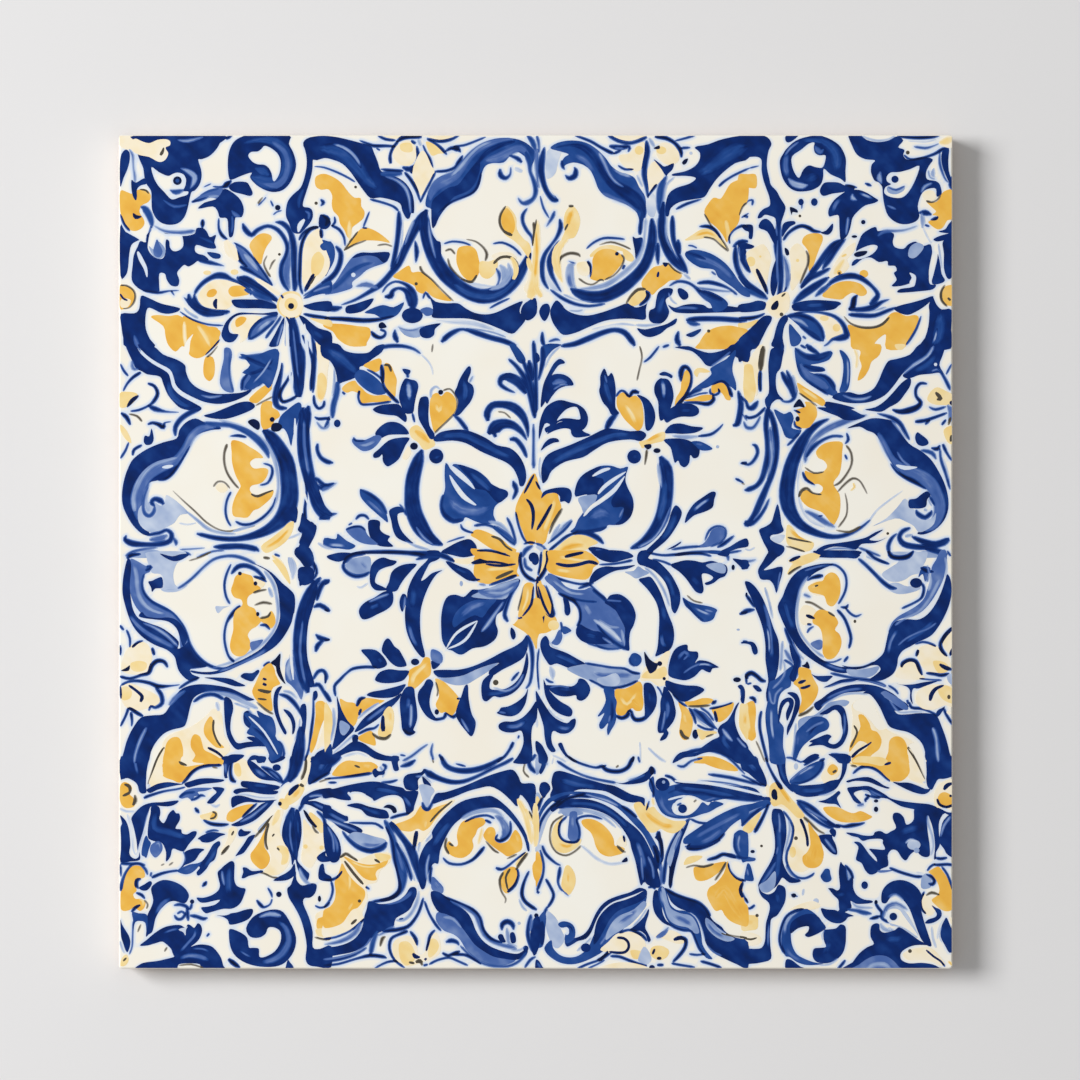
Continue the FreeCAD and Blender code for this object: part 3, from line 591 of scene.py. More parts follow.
# %% Above left of the centre: flower stem and big leaf
painting.append("""
nf 36.5 112.5, 39.4 112.4, 40.5 111.3, 42 110.8, 43.6 110.7, 45 110.9, 46.3 112, 47.8 112.3, 47.3 110.9,
45.5 109.6, 44.3 108.6, 43.3 108.2, 43.4 107.2, 42.3 106.2, 40.3 105.5, 39.4 105.2, 39.2 106.6,
38.8 108, 38 109.3, 36.5 110.3
bw 37.5 111.5 1.2, 40 109.8 2, 42 108 1.5, 43 107 1
bf 42.4 106.8, 43.5 107.8, 45.5 106.9, 47.2 105.4, 48.2 103.7, 46.5 103.2, 44.5 104.1, 42.9 105.6
bs 39.4 105.6 1.2, 39.2 103.5 1, 38.6 101.3 1, 38.4 99 .9
ls 38.8 108 .3, 38.8 105.5 .5, 38.4 103 .4
nd 39.3 98.1 .6 .7
ns 37 97.4 .4, 37.6 98.4 .5, 37.9 99.4 .4
ns 46.8 111.6 .7, 48.5 112 .7, 51 112 .6, 53 111.5 .5, 54.3 110.6 .35
gs 54.3 110.6 .3, 55.6 109.3 .3, 56.3 108 .3, 56.5 106.8 .2
os 56.5 112.4 .3, 56.3 110.9 .3
yf 44 108.5, 45.3 109.3, 46.8 109.8, 47.3 109.2, 47 107.8, 46 107.3, 45 107.9
yf 47.9 108.9, 48.9 108.6, 49.5 107.3, 50 106, 49.9 104.6, 49.6 102.6, 48.6 103.6, 47.9 105, 47.6 107
yf 40.1 104.3, 41 105.3, 42.4 105.8, 43 105.1, 43.8 104.4, 44.6 103.6, 46 103.1, 48 103.2, 49.1 102.3,
47.5 101.9, 45.5 101.9, 43.7 101.7, 43.4 102.6, 43.2 103.4, 42 103.9, 41 103.6
ks 40.2 103.8 .5, 40.7 103.3 .6
ks 43.3 104 .5, 43.1 102.8 .4, 43.6 101.6 .4, 45 101.5 .4, 47 101.7 .4, 49 102 .4
ks 44.6 107.8 .3, 46 107.1 .4, 47.3 106 .4, 47.8 104.5 .5, 49 103 .6, 50.4 101.7 .6
ks 47.3 108.7 .6, 47.4 107 .7, 47.5 105.2 .4
os 47.6 108.6 .3, 48.6 108.5 .4, 49 107.4 .4
nf 51 107.9, 52.4 107.7, 52.3 107, 51.6 106.9
ns 51.9 107.2 .9, 52 106.3 .7
nf 51.6 106.2, 52.5 106, 53.5 105.7, 53.9 104.7, 53.5 103, 53.2 101.5, 52.9 100, 51.5 99.9, 50.9 101,
50.4 102.6, 50.6 104.2, 51 105.4
lw 52.1 106 .6, 52.2 104 1.4, 52.2 102 .5
ks 52.8 100 .4, 53.2 98.3 .4
nf 45.7 100.6, 46.8 101.3, 48.8 101.6, 50.4 101.5, 51.2 100.4, 51.8 99.3, 51.7 98.4, 51.2 98.5, 50 99.4,
48.5 99.6, 46.7 99.9
nf 46.1 96.2, 46.9 97.4, 48.3 98.3, 50 98.3, 51.4 97.5, 52.2 96.2, 50.5 96.1, 48.5 96, 47 95.4
mf 42.1 95.4, 43 95, 44.5 95.2, 46.3 96, 47.3 95.6, 46.5 94.3, 45.4 93.4, 44 93.1, 42.8 93.8, 42 94.7
lw 43 94.3 .5, 44.5 94.2 .8, 46.3 95 .8
ks 42.2 95.6 .4, 42.7 95 .4, 44.3 95 .3
nf 52.3 95.5, 50.3 95.5, 48.5 95, 46.8 93.5, 45.8 92.6, 45.9 91.9, 46.8 92, 47.4 92.5, 47.5 91.3,
48.2 90.4, 49 90.6, 50.3 91.6, 51 92.9, 51.6 94.2
cf 51 92, 52 94, 52.6 93, 51.8 91.6
ef 52.3 97, 53.4 97.8, 54.4 97.3, 55.5 96, 56.6 95.2, 56.9 94.2, 56 93.6, 54.8 93.4, 53.9 94.6,
52.6 95.6
ys 53.3 96.8 .7, 54.6 95.8 .9, 55.9 94.6 .7
kd 53.1 94 .7 .65
nd 57.1 92.2 1.3 1.35
bw 56.6 91.8 .8, 57.2 91.9 1.2, 57.8 92.2 .8
nf 54.4 102.8, 55.5 102.9, 55.8 101.8, 55.7 99.8, 55.9 97.7, 56.8 96.2, 56.6 95.3, 55.9 95.4, 55 97,
54 98.8, 53.8 100.6, 54 102
yf 56.4 103.2, 57.3 103.6, 58 103, 58.9 103.8, 59.9 103.4, 60.6 102.4, 60.8 101, 60.3 99.9, 59 98.6,
57.4 97, 56.7 96.6, 56.2 98.5, 55.9 100.5, 56 102.2
ew 57 101.8 .6, 57.6 100.4 1, 58.2 101.6 .6
os 58.3 104 .3, 59.5 104.3 .3, 60.4 103.4 .3, 60.9 102 .3, 60.7 100.3 .3, 59.5 98.9 .3, 57.5 97 .3,
56.8 96.3 .3
ls 56.1 102.7 .4, 56.2 104 .5, 57 104.7 .4, 57.7 104.3 .3
kd 57.9 103.7 .45
nf 62.8 108.3, 63.3 108.2, 63.3 107.2, 62.8 105.7, 63.6 105, 63.9 103.8, 63.4 102.2, 62.3 100.8,
61.2 99.6, 60.4 99.6, 60.9 101, 61 102.3, 60.4 103.6, 60.8 104.6, 61.2 105.8, 61.9 107.1
bw 62 106 .8, 62.4 104 1.4, 62 102 1
ms 63.7 106.6 .3, 63 105.4 .4
ns 60.1 99.7 .4, 61.3 98.7 .7, 62.8 96.7 .7
nf 56.6 95.3, 57.6 96.4, 59.5 96.9, 61.7 97, 63.5 96.6, 66 95.5, 68 94.2, 70.3 93.7, 71.9 92.4, 73 90.4,
73.3 88.3, 72.8 86.9, 72.1 86.9, 71.8 88.2, 71 89.9, 69.6 91.1, 67.5 92, 65 93.1, 62.5 94.5, 60 95,
57.2 94.8
bw 58 95.8 1, 61.5 96 1.4, 65 94.6 1.4, 68 93 1, 70.5 92 .6
ns 70.9 87.8 .5, 71.2 87 .9, 71.5 85.9 .7, 70.8 84.4 .4
ns 54.6 93.4 .9, 53.9 91.5 2, 53 88.5 2.5, 52.7 85.5 2.6, 53 82.5 2.9, 54.2 79.6 2.9, 56 77.4 2,
58.3 76.2 .7
ls 53.5 79.5 .3, 54.8 77.6 .5, 56.6 76.2 .4
bf 58.8 91, 59.8 90, 60.2 90.8, 62 90.5, 64.5 89.6, 66.3 88.2, 67.5 86.6, 68.7 86.4, 69.9 85.9,
69.9 84.9, 68.5 83.9, 67.6 83, 67.4 81.6, 67.8 80.3, 66 80, 64.3 80.4, 62.4 81.2, 61.9 80.5, 60.6 80.2,
59.2 80.8, 58.2 82, 57.9 83.5, 58.3 85, 58.7 86.5, 58.6 88.7
mw 59.5 84.5 1.5, 61.5 82.6 2.2, 64.5 82.3 2, 66.8 83 1
nf 61 90.7, 63 90.2, 65.3 89, 66.8 87.4, 68.6 86.4, 69.9 85.8, 69.8 84.9, 68.4 83.8, 67.4 84.5, 66 86,
64.2 86.4, 63.5 87.8, 62 89.4
bw 63 89.4 .6, 65 87.6 1.2, 67 85.8 .8
ns 58.4 85.3 .6, 58 83.4 .6, 58.6 81.6 .8, 60.2 80.5 .8, 61.9 80.9 .5
ws 59.4 90.6 .4, 61 89.2 .8, 62.8 87.6 .6, 64 86.3 .2
ws 59.5 88.8 .2, 60.5 87 .6, 62 85 .7, 63.6 83.8 .4, 64.3 83.4 .2
ls 66.5 80.5 .6, 68.5 79.9 .8, 69.9 78.6 .6, 70.9 77 .5
ns 63.9 79.7 .5, 66 79.9 .5, 68 79.1 .5, 70 77.3 .6, 71.3 76.2 .6
ns 69.8 81.2 .4, 70.6 79.6 .5, 71.2 77.6 .5, 71.4 76.4 .4
nf 58 75, 59.5 76, 61.3 76.9, 63 77.3, 64 76.6, 64.4 75.6, 63.6 75, 61.5 74.9, 59.5 74.6
ks 64.4 75 .4, 67 74.9 .5, 70 74.5 .4
ks 59 76.7 .2, 61 77.4 .3, 62.2 77.7 .2
yf 63.3 78, 64.2 79, 65.6 78.8, 67.4 78, 69 77.2, 70.3 76, 71.5 75.4, 71 74.6, 69.5 74.8, 67.5 75.3,
65.8 76.3, 64.4 77.3
ks 61.5 80 .3, 61.8 79.2 .4, 62.7 78.7 .4, 63.8 78.4 .3
os 67 77.8 .3, 68.5 77.3 .4, 69.6 76 .3, 70.8 75.2 .3
yf 73 86.5, 74 88.5, 75 89, 75.2 86, 75.2 80, 74.8 76.6, 73.6 76.5, 72.7 78.5, 71.9 80.5, 71.3 82.3,
71.8 84.2
ks 74.7 88.9 .3, 73.8 87.2 .4, 72.9 85.5 .3
ks 73.3 84.5 .3, 74.2 83.4 .5, 74.6 81.5 .5, 74.3 79 .3
ks 71.4 82.2 .3, 71.8 80.2 .4, 72.6 77.8 .4, 73.4 76.6 .4
ks 72.8 76.4 .3, 74 76.7 .4, 75 76.5 .3
bs 72.6 74 .6, 73.2 75.3 .8, 74.5 76.1 .6
bf 70.2 112.3, 71.2 112.3, 72.5 110.9, 73.2 109.5, 72.7 108.8, 71.8 109.2, 71 110.6
ns 73.8 109.5 .8, 74.2 107 1, 74.5 105.8 .5
ns 70.1 109.7 .5, 71.6 108.3 .7, 73 106.3 1, 74 104 1.4, 74.5 101.5 1.2, 74.8 99 .8
ns 71.3 103.6 .3, 69.7 104.3 .6, 68.6 105.2 .8, 68.9 106.3 1, 70.2 106.6 1, 71.8 106 1.2, 73.2 104.3 1.2
ns 66.4 98.5 1.2, 66.3 100 1.2, 67.2 101.3 1.2, 69 101.5 1.2, 71 101 1.6, 72.6 99.5 1.4, 73.4 97.5 .8,
73.6 95.5 .3
ns 66.4 96.2 1.2, 67.4 97.2 2.4, 69 98 1.8, 70.8 97.8 1.4, 72.4 96.6 .9, 73.4 95 .3
ns 67.8 95.6 .9, 67.4 96.6 1.2
os 68.2 100.2 .3, 69.4 100 .3, 70.5 99 .3
ns 70.3 95.2 .9, 71.4 95.2 .8, 72.6 93.8 .8, 73.4 91.9 .5
bs 74.6 98 .5, 74.6 93 .5, 74.6 90 .7
bf 43.4 86.3, 44.3 85.9, 46 84.9, 47.6 83.3, 48.2 81.7, 48.4 80.3, 47.4 81, 46 82.2, 44.6 83.5,
43.5 84.9
mw 44.5 84.5 .5, 46.2 83 .8, 47.6 81.6 .5
ns 43.5 86.2 .4, 45.3 85.3 .6, 47.2 83.7 .6, 48.2 81.8 .5
nf 48.6 82.3, 49.5 83, 50.6 83.1, 51.4 82.2, 50.2 81.8, 50.3 80.2, 51 78.6, 52.3 77.2, 53 76.5,
51.5 76.8, 50 77.6, 49.3 79, 49 80.6
ns 50.5 83.6 .3, 51.2 82.6 .5, 51.7 81.5 .3
ks 42.6 80.8 .4, 43.3 81.5 .5, 44.3 81.5 .5, 45 80.8 .5
nf 44.9 80.5, 46 80.8, 47 80.4, 47 79, 47.9 78.2, 48.8 77.8, 48.4 77, 49.4 76, 48 75.9, 46.5 76.2,
45.4 77.3, 44.9 78.8
mf 40.8 79, 41.8 79.6, 43.2 79.7, 44.2 79.2, 44.8 78, 46.2 76.8, 46.6 76.3, 45 76.3, 43.4 76.7, 42 77.6
ks 41.3 79.8 .3, 42 80.2 .4
ks 40.9 79 .3, 42.3 79.5 .4, 43.6 79.5 .4, 44.4 78.8 .3
bf 37 77.5, 39 77.3, 39.3 78.2, 39.8 78, 41 77, 42.6 76.1, 41.5 75.4, 39.5 75.6, 37 75.8
lw 37.5 76.3 .5, 39.5 76.2 .8, 41 76 .5
ns 41 74.3 .5, 44 74.9 .6, 48 75 .7, 52 74.8 .8, 56 74.5 1.2, 57.5 74.3 .8
ls 51.5 77 .2, 53.5 76 .5, 56 75.3 .4
ms 36.5 86 .8, 38 86.8 .6, 39.2 87.4 .2
ns 36 80.9 .6, 37.5 81.4 .9, 38.3 81.7 .6, 39.3 81.9 .2
""")

# %% [markdown]
# ### Upper right quarter
# The painter mirrored the left quarter by eye, so the forms return but every line differs. Copying
# and flipping the strokes would be shorter and would look printed, so they are painted again.

# %% Upper right corner: rosette, scroll and leaf mask
painting.append("""
nf 111.5 149.7, 114.9 149.9, 116.6 149.6, 117.4 148.4, 116.9 147.2, 116.6 145.5, 116.6 144, 117 142.2,
117.3 141, 118.3 139.9, 119 138.6, 119.9 137.1, 119.7 135.9, 119.2 134.4, 119 133, 118.3 133,
118.1 134.9, 117.2 135.4, 116.2 135.6, 115.6 135.1, 114.9 135, 115.2 135.9, 116 136.7, 117.1 137.3,
117 138.8, 116.4 140.5, 115.9 142, 115.6 143.7, 115.6 145.4, 114.9 146, 113.5 146, 111.5 145.8
cf 112.9 128.8, 114.2 129.6, 116 130.3, 117.3 128, 117 126, 116.6 123.5, 116.4 121.6, 115.5 123,
114.2 124.8, 113 126.6
cf 120.6 129, 122 130.5, 123.4 129.2, 123.8 127.5, 123 124.8, 121.8 122.8, 121 122, 120.7 124,
120.9 126.5
ns 118.7 134 1.1, 118.6 132, 118.5 130 1.4, 118.9 127 1.2, 119.1 124.5 1, 118.9 122 .8, 118.4 121.2 .5
nf 118.5 128, 117.6 126, 117.2 123.5, 117.3 121.7, 117.8 121, 118.4 122.6, 118.6 125
ls 118.5 131 .2, 118.4 127 .35, 118.5 123.5 .3
ms 119.5 128.5 .3, 120.1 126.5 .8, 120.3 124 .9, 119.9 122 .5
ks 120.1 122.7 .3, 119.7 121.8, 119 121.3
nf 115.1 133.3, 115.5 134.5, 116.5 134.9, 117.6 133.9, 118.4 131.8, 118.2 130, 117.5 131, 116.6 132.6
nf 119.3 131.6, 119.3 133.4, 119.9 134.3, 121.4 134.5, 121.7 134, 120.8 133.5, 120 132.6
ls 118.1 134.2 .3, 118.4 131.8
ls 119.2 134.2 .3, 119.1 132, 119.2 130.6
nf 119.9 149, 120.1 149.9, 122.2 150, 121.3 149, 120.4 148.6
nf 119.5 146.6, 120.2 147.6, 121.7 148.9, 123.6 149.6, 125.8 149.9, 127.8 149.3, 129.5 148.2,
130.4 146.8, 130.8 145.4, 130.7 143.5, 130.7 141.5, 129.8 142.1, 128 142.9, 126.8 143.9, 126.7 142.4,
126.2 141, 124.8 140.1, 123.1 139.8, 121.7 139.9, 120.5 140.6, 119.5 142, 119 143.7, 118.9 145.4
bw 123 149 .8, 126.5 148.8 1.4, 128.8 147 2.2, 129.2 145, 129 143.4 1
mw 120.2 146.8 1.2, 119.9 144.5 1.4, 120.3 142.3
bw 123.6 142 1.6, 125 142.4 2.2, 125.8 142.8 1.4
ls 120.4 142.2 .5, 121.4 141.2 1, 123 140.8, 124 141 .4
ls 119.8 146.3 .3, 120.8 147.6 .4, 122.3 148.7 .3
wf 121.1 146.1, 122.7 147.3, 124.1 148.4, 125.1 148.6, 125 147.8, 125.2 146.8, 126 146.3, 127.1 146.3,
127 145.1, 126.5 144.1, 125.3 144.2, 124.1 144.5, 123.1 143.7, 122.4 142.3, 121.7 142.9, 121.1 144.4
ms 125.2 148 .4, 125.6 147.4 .8, 126.2 146.9, 126.8 147.4 .4
nf 126.1 140.1, 126.8 141.3, 128 141.5, 129.5 141.4, 130.6 140.9, 131.5 141, 132.4 140.6, 132 139.9,
130.9 139.8, 129.8 139.6, 128.3 139.4, 126.9 139, 126.3 139.3
ks 130.6 141 .4, 131.8 140.7 .5, 132.8 140.5 .3
nf 131 140, 129 138.6, 128 137.3, 127.6 136.2, 127.8 135.3, 128.7 135.5, 129.5 135.4, 129.6 133.4,
129.8 131.2, 130.4 131.2, 131.1 132, 131.6 133.4, 132 135.1, 133.1 136.4, 134.3 137.3, 135.8 137.7,
136.6 138.2, 135.8 138.8, 134.5 139.6, 133.1 140.1, 131.5 140.1
mw 128.3 136 .8, 129 137.6 1, 130 138.6 .6
lw 133 139.6 .6, 134.5 139 .8, 135.8 138.4 .5
ls 131.2 135.2 .5, 131 133.5, 130.8 132 .3
ls 132 139.4 .5, 132 138.6 .9, 132.8 138.2 .3
nd 122.7 137.9 .5 .6
ks 122.9 137.6 .3, 122.8 136.7 .2
nd 125.1 137.9 .6 .7
kf 120.7 137, 121.9 136.6, 122.1 136, 121.2 136.1, 121 135.6
od 122.5 135.4 .25
kd 133.9 134.3 .4
kd 132.3 131.7 .5 .25
ks 134.2 141.3 .4, 134.9 141 .5, 135.4 140.8 .4
yf 111.5 142.8, 113 142.9, 114.5 142.9, 114.8 141.5, 114.5 140.4, 113 140.5, 111.5 140.3
ks 113.4 144 .3, 115.1 144.4 .25
ks 112.2 137.1 .25, 113.2 138.1, 114 138.2 .4, 113.9 137.3
ks 112 135.1 .35, 113.3 135.9 .25
nf 112 133.6, 113 133.9, 114 133.7, 114.1 132.5, 113.9 131.3, 113.3 131.4, 113.3 132.5, 112.6 132.8
nf 111.5 130.9, 113 130.5, 114.3 130, 113.8 129.5, 112.8 129.4, 112.9 128.9, 112.3 127.8, 111.5 128.5
ns 112.5 129 .7, 112.1 127.6 .5, 112.9 126.2 .4
ed 113.7 127.2 .8 .9
ks 114.7 125.9 .5, 115.5 124.2 .6, 116.3 122.5, 116.7 121.3 .4
ed 115.4 128.1 .2
yf 122.9 130.6, 123.2 131.6, 124.2 132.2, 125.6 132.3, 126.5 131.9, 126.6 131, 126.2 130, 125.8 129,
125.3 127.6, 124.8 126, 124.3 125.2, 124 126.5, 124.1 128, 124 129, 123.5 129.8
ks 119.5 131 .5, 120.4 132.3, 121.8 133.3 .6, 123 133.6, 124.2 133.2 .7, 125 132.7 .6, 126.4 132.5 .3
nf 126.2 132.4, 127.2 132.8, 128.3 134, 128.5 133.6, 128.3 132.7, 127.5 132
os 123.6 129.2 .3, 124 128.2 .4, 123.9 126.6, 123.2 124.8, 122.5 123.2 .3
ed 122.1 127.4 .3
kf 119.8 129.7, 120.4 129.3, 120.6 128.5, 120.1 128.3, 119.8 129
cf 127.6 124.3, 128.3 126, 129.5 128, 131 129.8, 132.5 130.6, 132.2 128.9, 131 127.6, 131.4 126.4,
130.5 125.2, 129.5 124.5
es 128.7 124.9 .9, 129.4 126, 130.5 127.6 .6
ys 130 128.1 .4, 130.9 128.5 .5
yd 129.6 125.2 .45
od 129.6 125.1 .25
yd 134 125 .8 .7
ls 124.4 124.6 .3, 126 126.4 .5, 127.6 128.4
ns 122.7 122.3 .3, 123.8 124 .8, 125.6 126.4 1, 127.4 128.9 1.1, 128.8 130.4 .9, 130.4 131.2 .4
ns 126.5 125.8 .5, 127.5 127.2 1, 129 129.4 .9, 130.8 131.3 .3
ns 122.6 122.5 .7, 124.2 124.2 1, 126 125 .9, 128 126 .5
yf 126.5 121, 127.8 122.6, 129.5 123.5, 131.5 123.7, 133.4 123.2, 134.5 122, 134.3 121.2, 133.3 121,
132 121.6, 130.8 121, 130 120.4, 128.5 120.5
ns 127.3 122.8 .5, 128.6 123.8 .8, 130.4 124.5 1, 132.3 124.6, 134 123.9 .8, 135.6 122.6 .6,
136.5 121.3 .8, 136 120.3 1, 135 119.5 .8
ks 131.3 118.6 .8, 132 119.2 1, 132.3 120.5 .9, 132.9 121.2 .4
ls 132.5 118.1 .4, 135.5 118.3, 138 119
ns 131.2 118.6 .6, 133.5 118.6 .8, 135.6 119 1, 137.2 119.9 .6, 138.6 120.4 .2
ns 131.2 117.7 .6, 133.6 117.5 .8, 136 117.5 .7, 138.4 118.4 .6, 140 119 .3
yf 131.1 115.8, 133 115.4, 135.4 115.4, 137.3 116.2, 138.8 117.8, 140 118.1, 141.6 117.4, 143.2 117.6,
143.9 117, 143.2 115, 142 113, 141 111.5, 138 111.5, 138 114, 137 113.6, 136 112.6, 135.4 111.5,
132 111.5, 131.6 113.4
nf 139.4 118.8, 140.3 118, 141.9 117.6, 143.4 118.2, 145 119.2, 146.4 120.5, 146.3 121, 144.6 120.4,
142.5 119.8, 140.8 119.4
os 130.4 117.4 .2, 131.6 116.1 .3, 133.6 115.4 .4, 135.8 115.4, 137.4 116, 138.6 117.2 .3
ks 144.3 117.4 .3, 143.5 115.2 .4, 142.4 113.3, 141.6 112.2 .3
cf 116.3 119.3, 117.2 120.6, 118.4 121.2, 120 121.8, 120.6 121, 120.6 119, 119.8 117.8, 118.6 117,
117.3 117.6
kf 117.3 119, 117.8 119.8, 118.5 120.2, 118.7 119.4, 118.3 118.6, 117.5 118.5
od 119.2 117.7 .35
os 119.2 120.9 .3, 119.9 121.5
nf 121.1 119.4, 122.6 120, 125 120.3, 127.5 120.2, 129.4 120, 129.9 119.6, 129.4 119.2, 128.6 118.6,
126.5 118.3, 124 118.3, 121.8 118.3, 121.2 118.6
bw 123.5 119.3 .8, 127 119.4
ns 121.2 119.6 .5, 123 121.2 1.3, 125 122.6, 126.8 123.8 .9, 127.8 124.4 .4
bs 125.2 120.9 .5, 126.6 122.1 .9, 128.2 123.3 .4
bf 120.2 117.6, 122.5 117.6, 124.6 117, 126.2 115.5, 126.8 113.6, 126.7 112.8, 125.4 113.2, 124 114.2,
122.6 115.4, 121.2 116.6
ls 120.8 117 .4, 122.6 116.5 .6, 124 115.4 .3
ns 120.2 117.4 .7, 122.5 117.6 .8, 124.8 116.8 .7, 126.3 115.2 .6, 126.8 113.2
ns 122.4 115.7 .4, 124.4 114.3 .9, 126.3 112.9 .7
bf 120.6 116, 121.8 114.8, 122.8 113.4, 122.2 112.2, 121 112, 120.6 113.6
ns 123 113.8 .6, 123.6 113.3 .5
ks 122.6 112.2 .5, 123.6 111.6
nf 120 117.6, 119 117, 118.3 115.5, 117.8 113.5, 117.4 112, 119.6 111.5, 119.4 113.5, 119.7 115.5,
120.4 116.8
nf 117.3 117.4, 116 117.4, 114.6 116.2, 113.2 114.8, 111.8 113.9, 111.5 111.5, 114.5 111.5, 115.5 113,
116.6 115.2, 117.4 116.6
nf 116.4 119.8, 115 120.2, 113.5 119.8, 111.5 119.4, 111.5 118.2, 113.5 118.1, 115.5 118.4, 116.2 118.7
bs 111.5 122.3 1, 113.8 121.9 1.4, 115.6 121.1 1.3, 116.7 120.4 .7
ns 111.5 124.6 .8, 113 123.2 1, 115 121.8 .9, 116.4 120.8 .5
ks 111.5 117 .6, 113.5 117 .7, 115.2 117.4 .5, 116.2 117.9 .3
ef 111.5 116.2, 113 116.2, 115 116.8, 114 115.6, 112.6 115, 111.5 115.2
cf 125 117.6, 127.5 117.5, 129.6 116, 130.2 114.4, 128.6 113.6, 127.4 113, 127 115, 126 116.6
ed 126.9 117 .8 .5
ed 129.1 115.3 .7
ns 121.5 117.9 .3, 124 118.2 .4, 126.5 118 .5, 128.8 117.3 .6, 130.2 116 .8, 130.8 114.6 .9,
130.8 113.8 1.2, 129.6 113.4 1, 128.4 113.2 .5, 127.5 112.4 .4, 126.8 112 .3
nf 146.4 120.8, 147 119.6, 148 118.6, 149.8 118.5, 149.7 115, 149.6 111.5, 144 111.5, 145 113.5,
145.6 115.6, 145.8 118, 145.7 119.4
bw 147.8 118 2, 147.6 115 2.6, 146.6 112 2
lw 147.2 115.2 .4, 146.8 113.4 .6, 146.2 112.3 .4
yd 149.6 121.1 2 1.9
os 148.6 123 .3, 147.9 121.8 .4, 148 120.2, 149 119.1 .35
os 149.1 120.7 .4, 149.6 120.2 .5
nf 131.2 150.2, 131.9 148, 132.8 146.4, 134.3 145.6, 136 145.4, 135.4 144.6, 135.3 143.2, 135.9 141.8,
136.7 141.4, 137.3 140.6, 137.4 139.3, 137.7 137.3, 138.4 135.4, 139.9 134.2, 141.6 133.9, 143.3 134.4,
144 135.4, 143.7 137.1, 144.2 139, 145 140, 146.2 140.4, 147 140.2, 147.1 138.9, 148 139.3, 147.7 141,
146.9 141.7, 145.4 142, 145.2 143.2, 145.7 144.4, 146.4 145.6, 144.5 146, 142 145.5, 141.1 146.3,
141.3 147.3, 140.2 147.8, 141.1 149, 139.9 149.7, 138.4 149, 136.5 148.7, 134.5 149.1, 133.1 150.2
ls 133.6 149.8 .3, 135 149.2 .4, 136.7 148.9, 138.5 149.2, 139.6 149.8 .3
ks 140 149.8 .5, 143 149.5 .6, 146 149.6, 147.6 149.9 .4
wf 138.1 142.4, 138.8 143.2, 140.4 143.3, 142.3 143.8, 144 144.4, 143.3 142, 142.1 139.8, 140.8 138.7,
138.9 138.8, 137.7 139.5, 137.9 140.6, 138.9 141.1, 138.2 141.6
nd 139.6 142 .65
lf 138.2 140.6, 139.5 140.2, 141.2 140.8, 141.2 140, 139.8 139.3, 138.4 139.6
bs 138.3 140.7 .3, 139.8 140.1 .4, 141.4 140.8 .3
ls 137 143.4 .4, 136.8 142.2 .9, 137.2 141.2 .5
ls 138.2 137.3 .2, 139.1 136.9 .4, 139.8 136.6 .2
ls 144.3 139.6 .4, 145 140.7 .6, 146.3 141.3 .4
bs 143 147.9 .4, 145 147.6 .5, 146.3 147.9 .3, 147.5 148.4 .2
gs 142 148.9 .3, 145 148.7, 147 149.2
od 141.9 146.8 .35
ks 141.2 146.4 .3, 142.3 145.6 .4, 144.3 145.8, 146.6 146.5 .5, 148.2 147.4 .6, 149.3 147.5 .4
cf 147.4 148.6, 148.8 149.6, 149.8 150, 150 147.8, 148.6 147.8
es 147.6 148.6 .9, 149 148.9 1.2, 150 149.4 1
nf 148.1 147, 149.3 147.6, 149.2 145.5, 149.3 143.5, 149.8 141.8, 149.5 141.2, 148.6 143, 148 145
bs 147.7 147 .3, 147.7 144.8 .5, 148.5 142.3 .4, 149.2 141.4 .3
ls 146.6 144 .4, 146.4 142.8 .8, 146.8 142.3 .3
ms 145.6 143.6 .3, 145.9 142.4, 146.8 142
ns 149.8 142.5 .5, 149.7 141 .9, 149.9 140 .5
yf 145.3 138, 147 137.9, 147.8 139, 148.4 139.8, 150 139.9, 150 135.2, 149 134.6, 148.2 133.3,
147.2 133, 146 133.8, 145.6 134.4, 146.8 134.9, 147.2 135.4, 146.3 135.6, 147 136.2, 146.2 137
cf 144.5 139.3, 145.4 140, 146.6 139.8, 147 138.8, 146.4 138.2, 145.3 138, 144.8 138.4
os 145.2 138.1 .4, 146.2 137.9 .3, 147.2 138.3, 147.8 139.2
ns 143.9 136 .6, 145 136 1, 146.2 135.6 .6
ks 146 134.7 .3, 147 135 .6, 147.4 135.3 .3
ks 145 133.8 .5, 145.8 133.5 .4
ls 144.4 136 .6, 144.6 134.5 .8, 144.5 133.2 .5
nf 147.4 132.6, 148.6 133, 149.3 134, 150 134.5, 150 132.6, 149 132.3
nf 132.6 129, 133.1 130.8, 133.8 132.2, 135.3 133.2, 136.2 133.4, 136.5 132.7, 137.7 132.8, 139.4 132.2,
139.2 130.8, 139.6 129.8, 141.1 129.5, 142 130.3, 143.3 130.8, 144.6 130, 146 130.3, 146.3 128.5,
146 127.2, 145.8 125.6, 145.7 123.9, 146 123.1, 147 123, 146.4 122.2, 144.5 121.9, 141.1 121.6,
140 121.7, 140.6 122.3, 142.9 122.7, 143.2 124, 142.3 123.3, 140.6 122.8, 139 122.8, 139.9 123.9,
139.4 125.1, 139.9 125.6, 139.6 126.4, 138.4 126.5, 138.2 127.3, 136.7 127.1, 135.3 127.9, 133.8 127.7,
132.4 126.6, 131.8 126.5, 132.2 127.4, 134 128.4
wf 132 128.4, 133.2 129.4, 135.3 130.2, 136.5 129.9, 135.6 128.6, 133.6 127.7, 132.4 127.8
kf 132.2 128.5, 133 129, 134.6 129.1, 134.2 128.4, 132.8 128
ms 136.5 131.8 .4, 137.6 132.6 .6, 139.5 132.7 .5, 141.5 132.9 .4, 143.6 133.6 .3
lf 142 128.2, 142.3 129.8, 143.6 130.6, 144.8 130, 144.2 128.8, 143 127.8
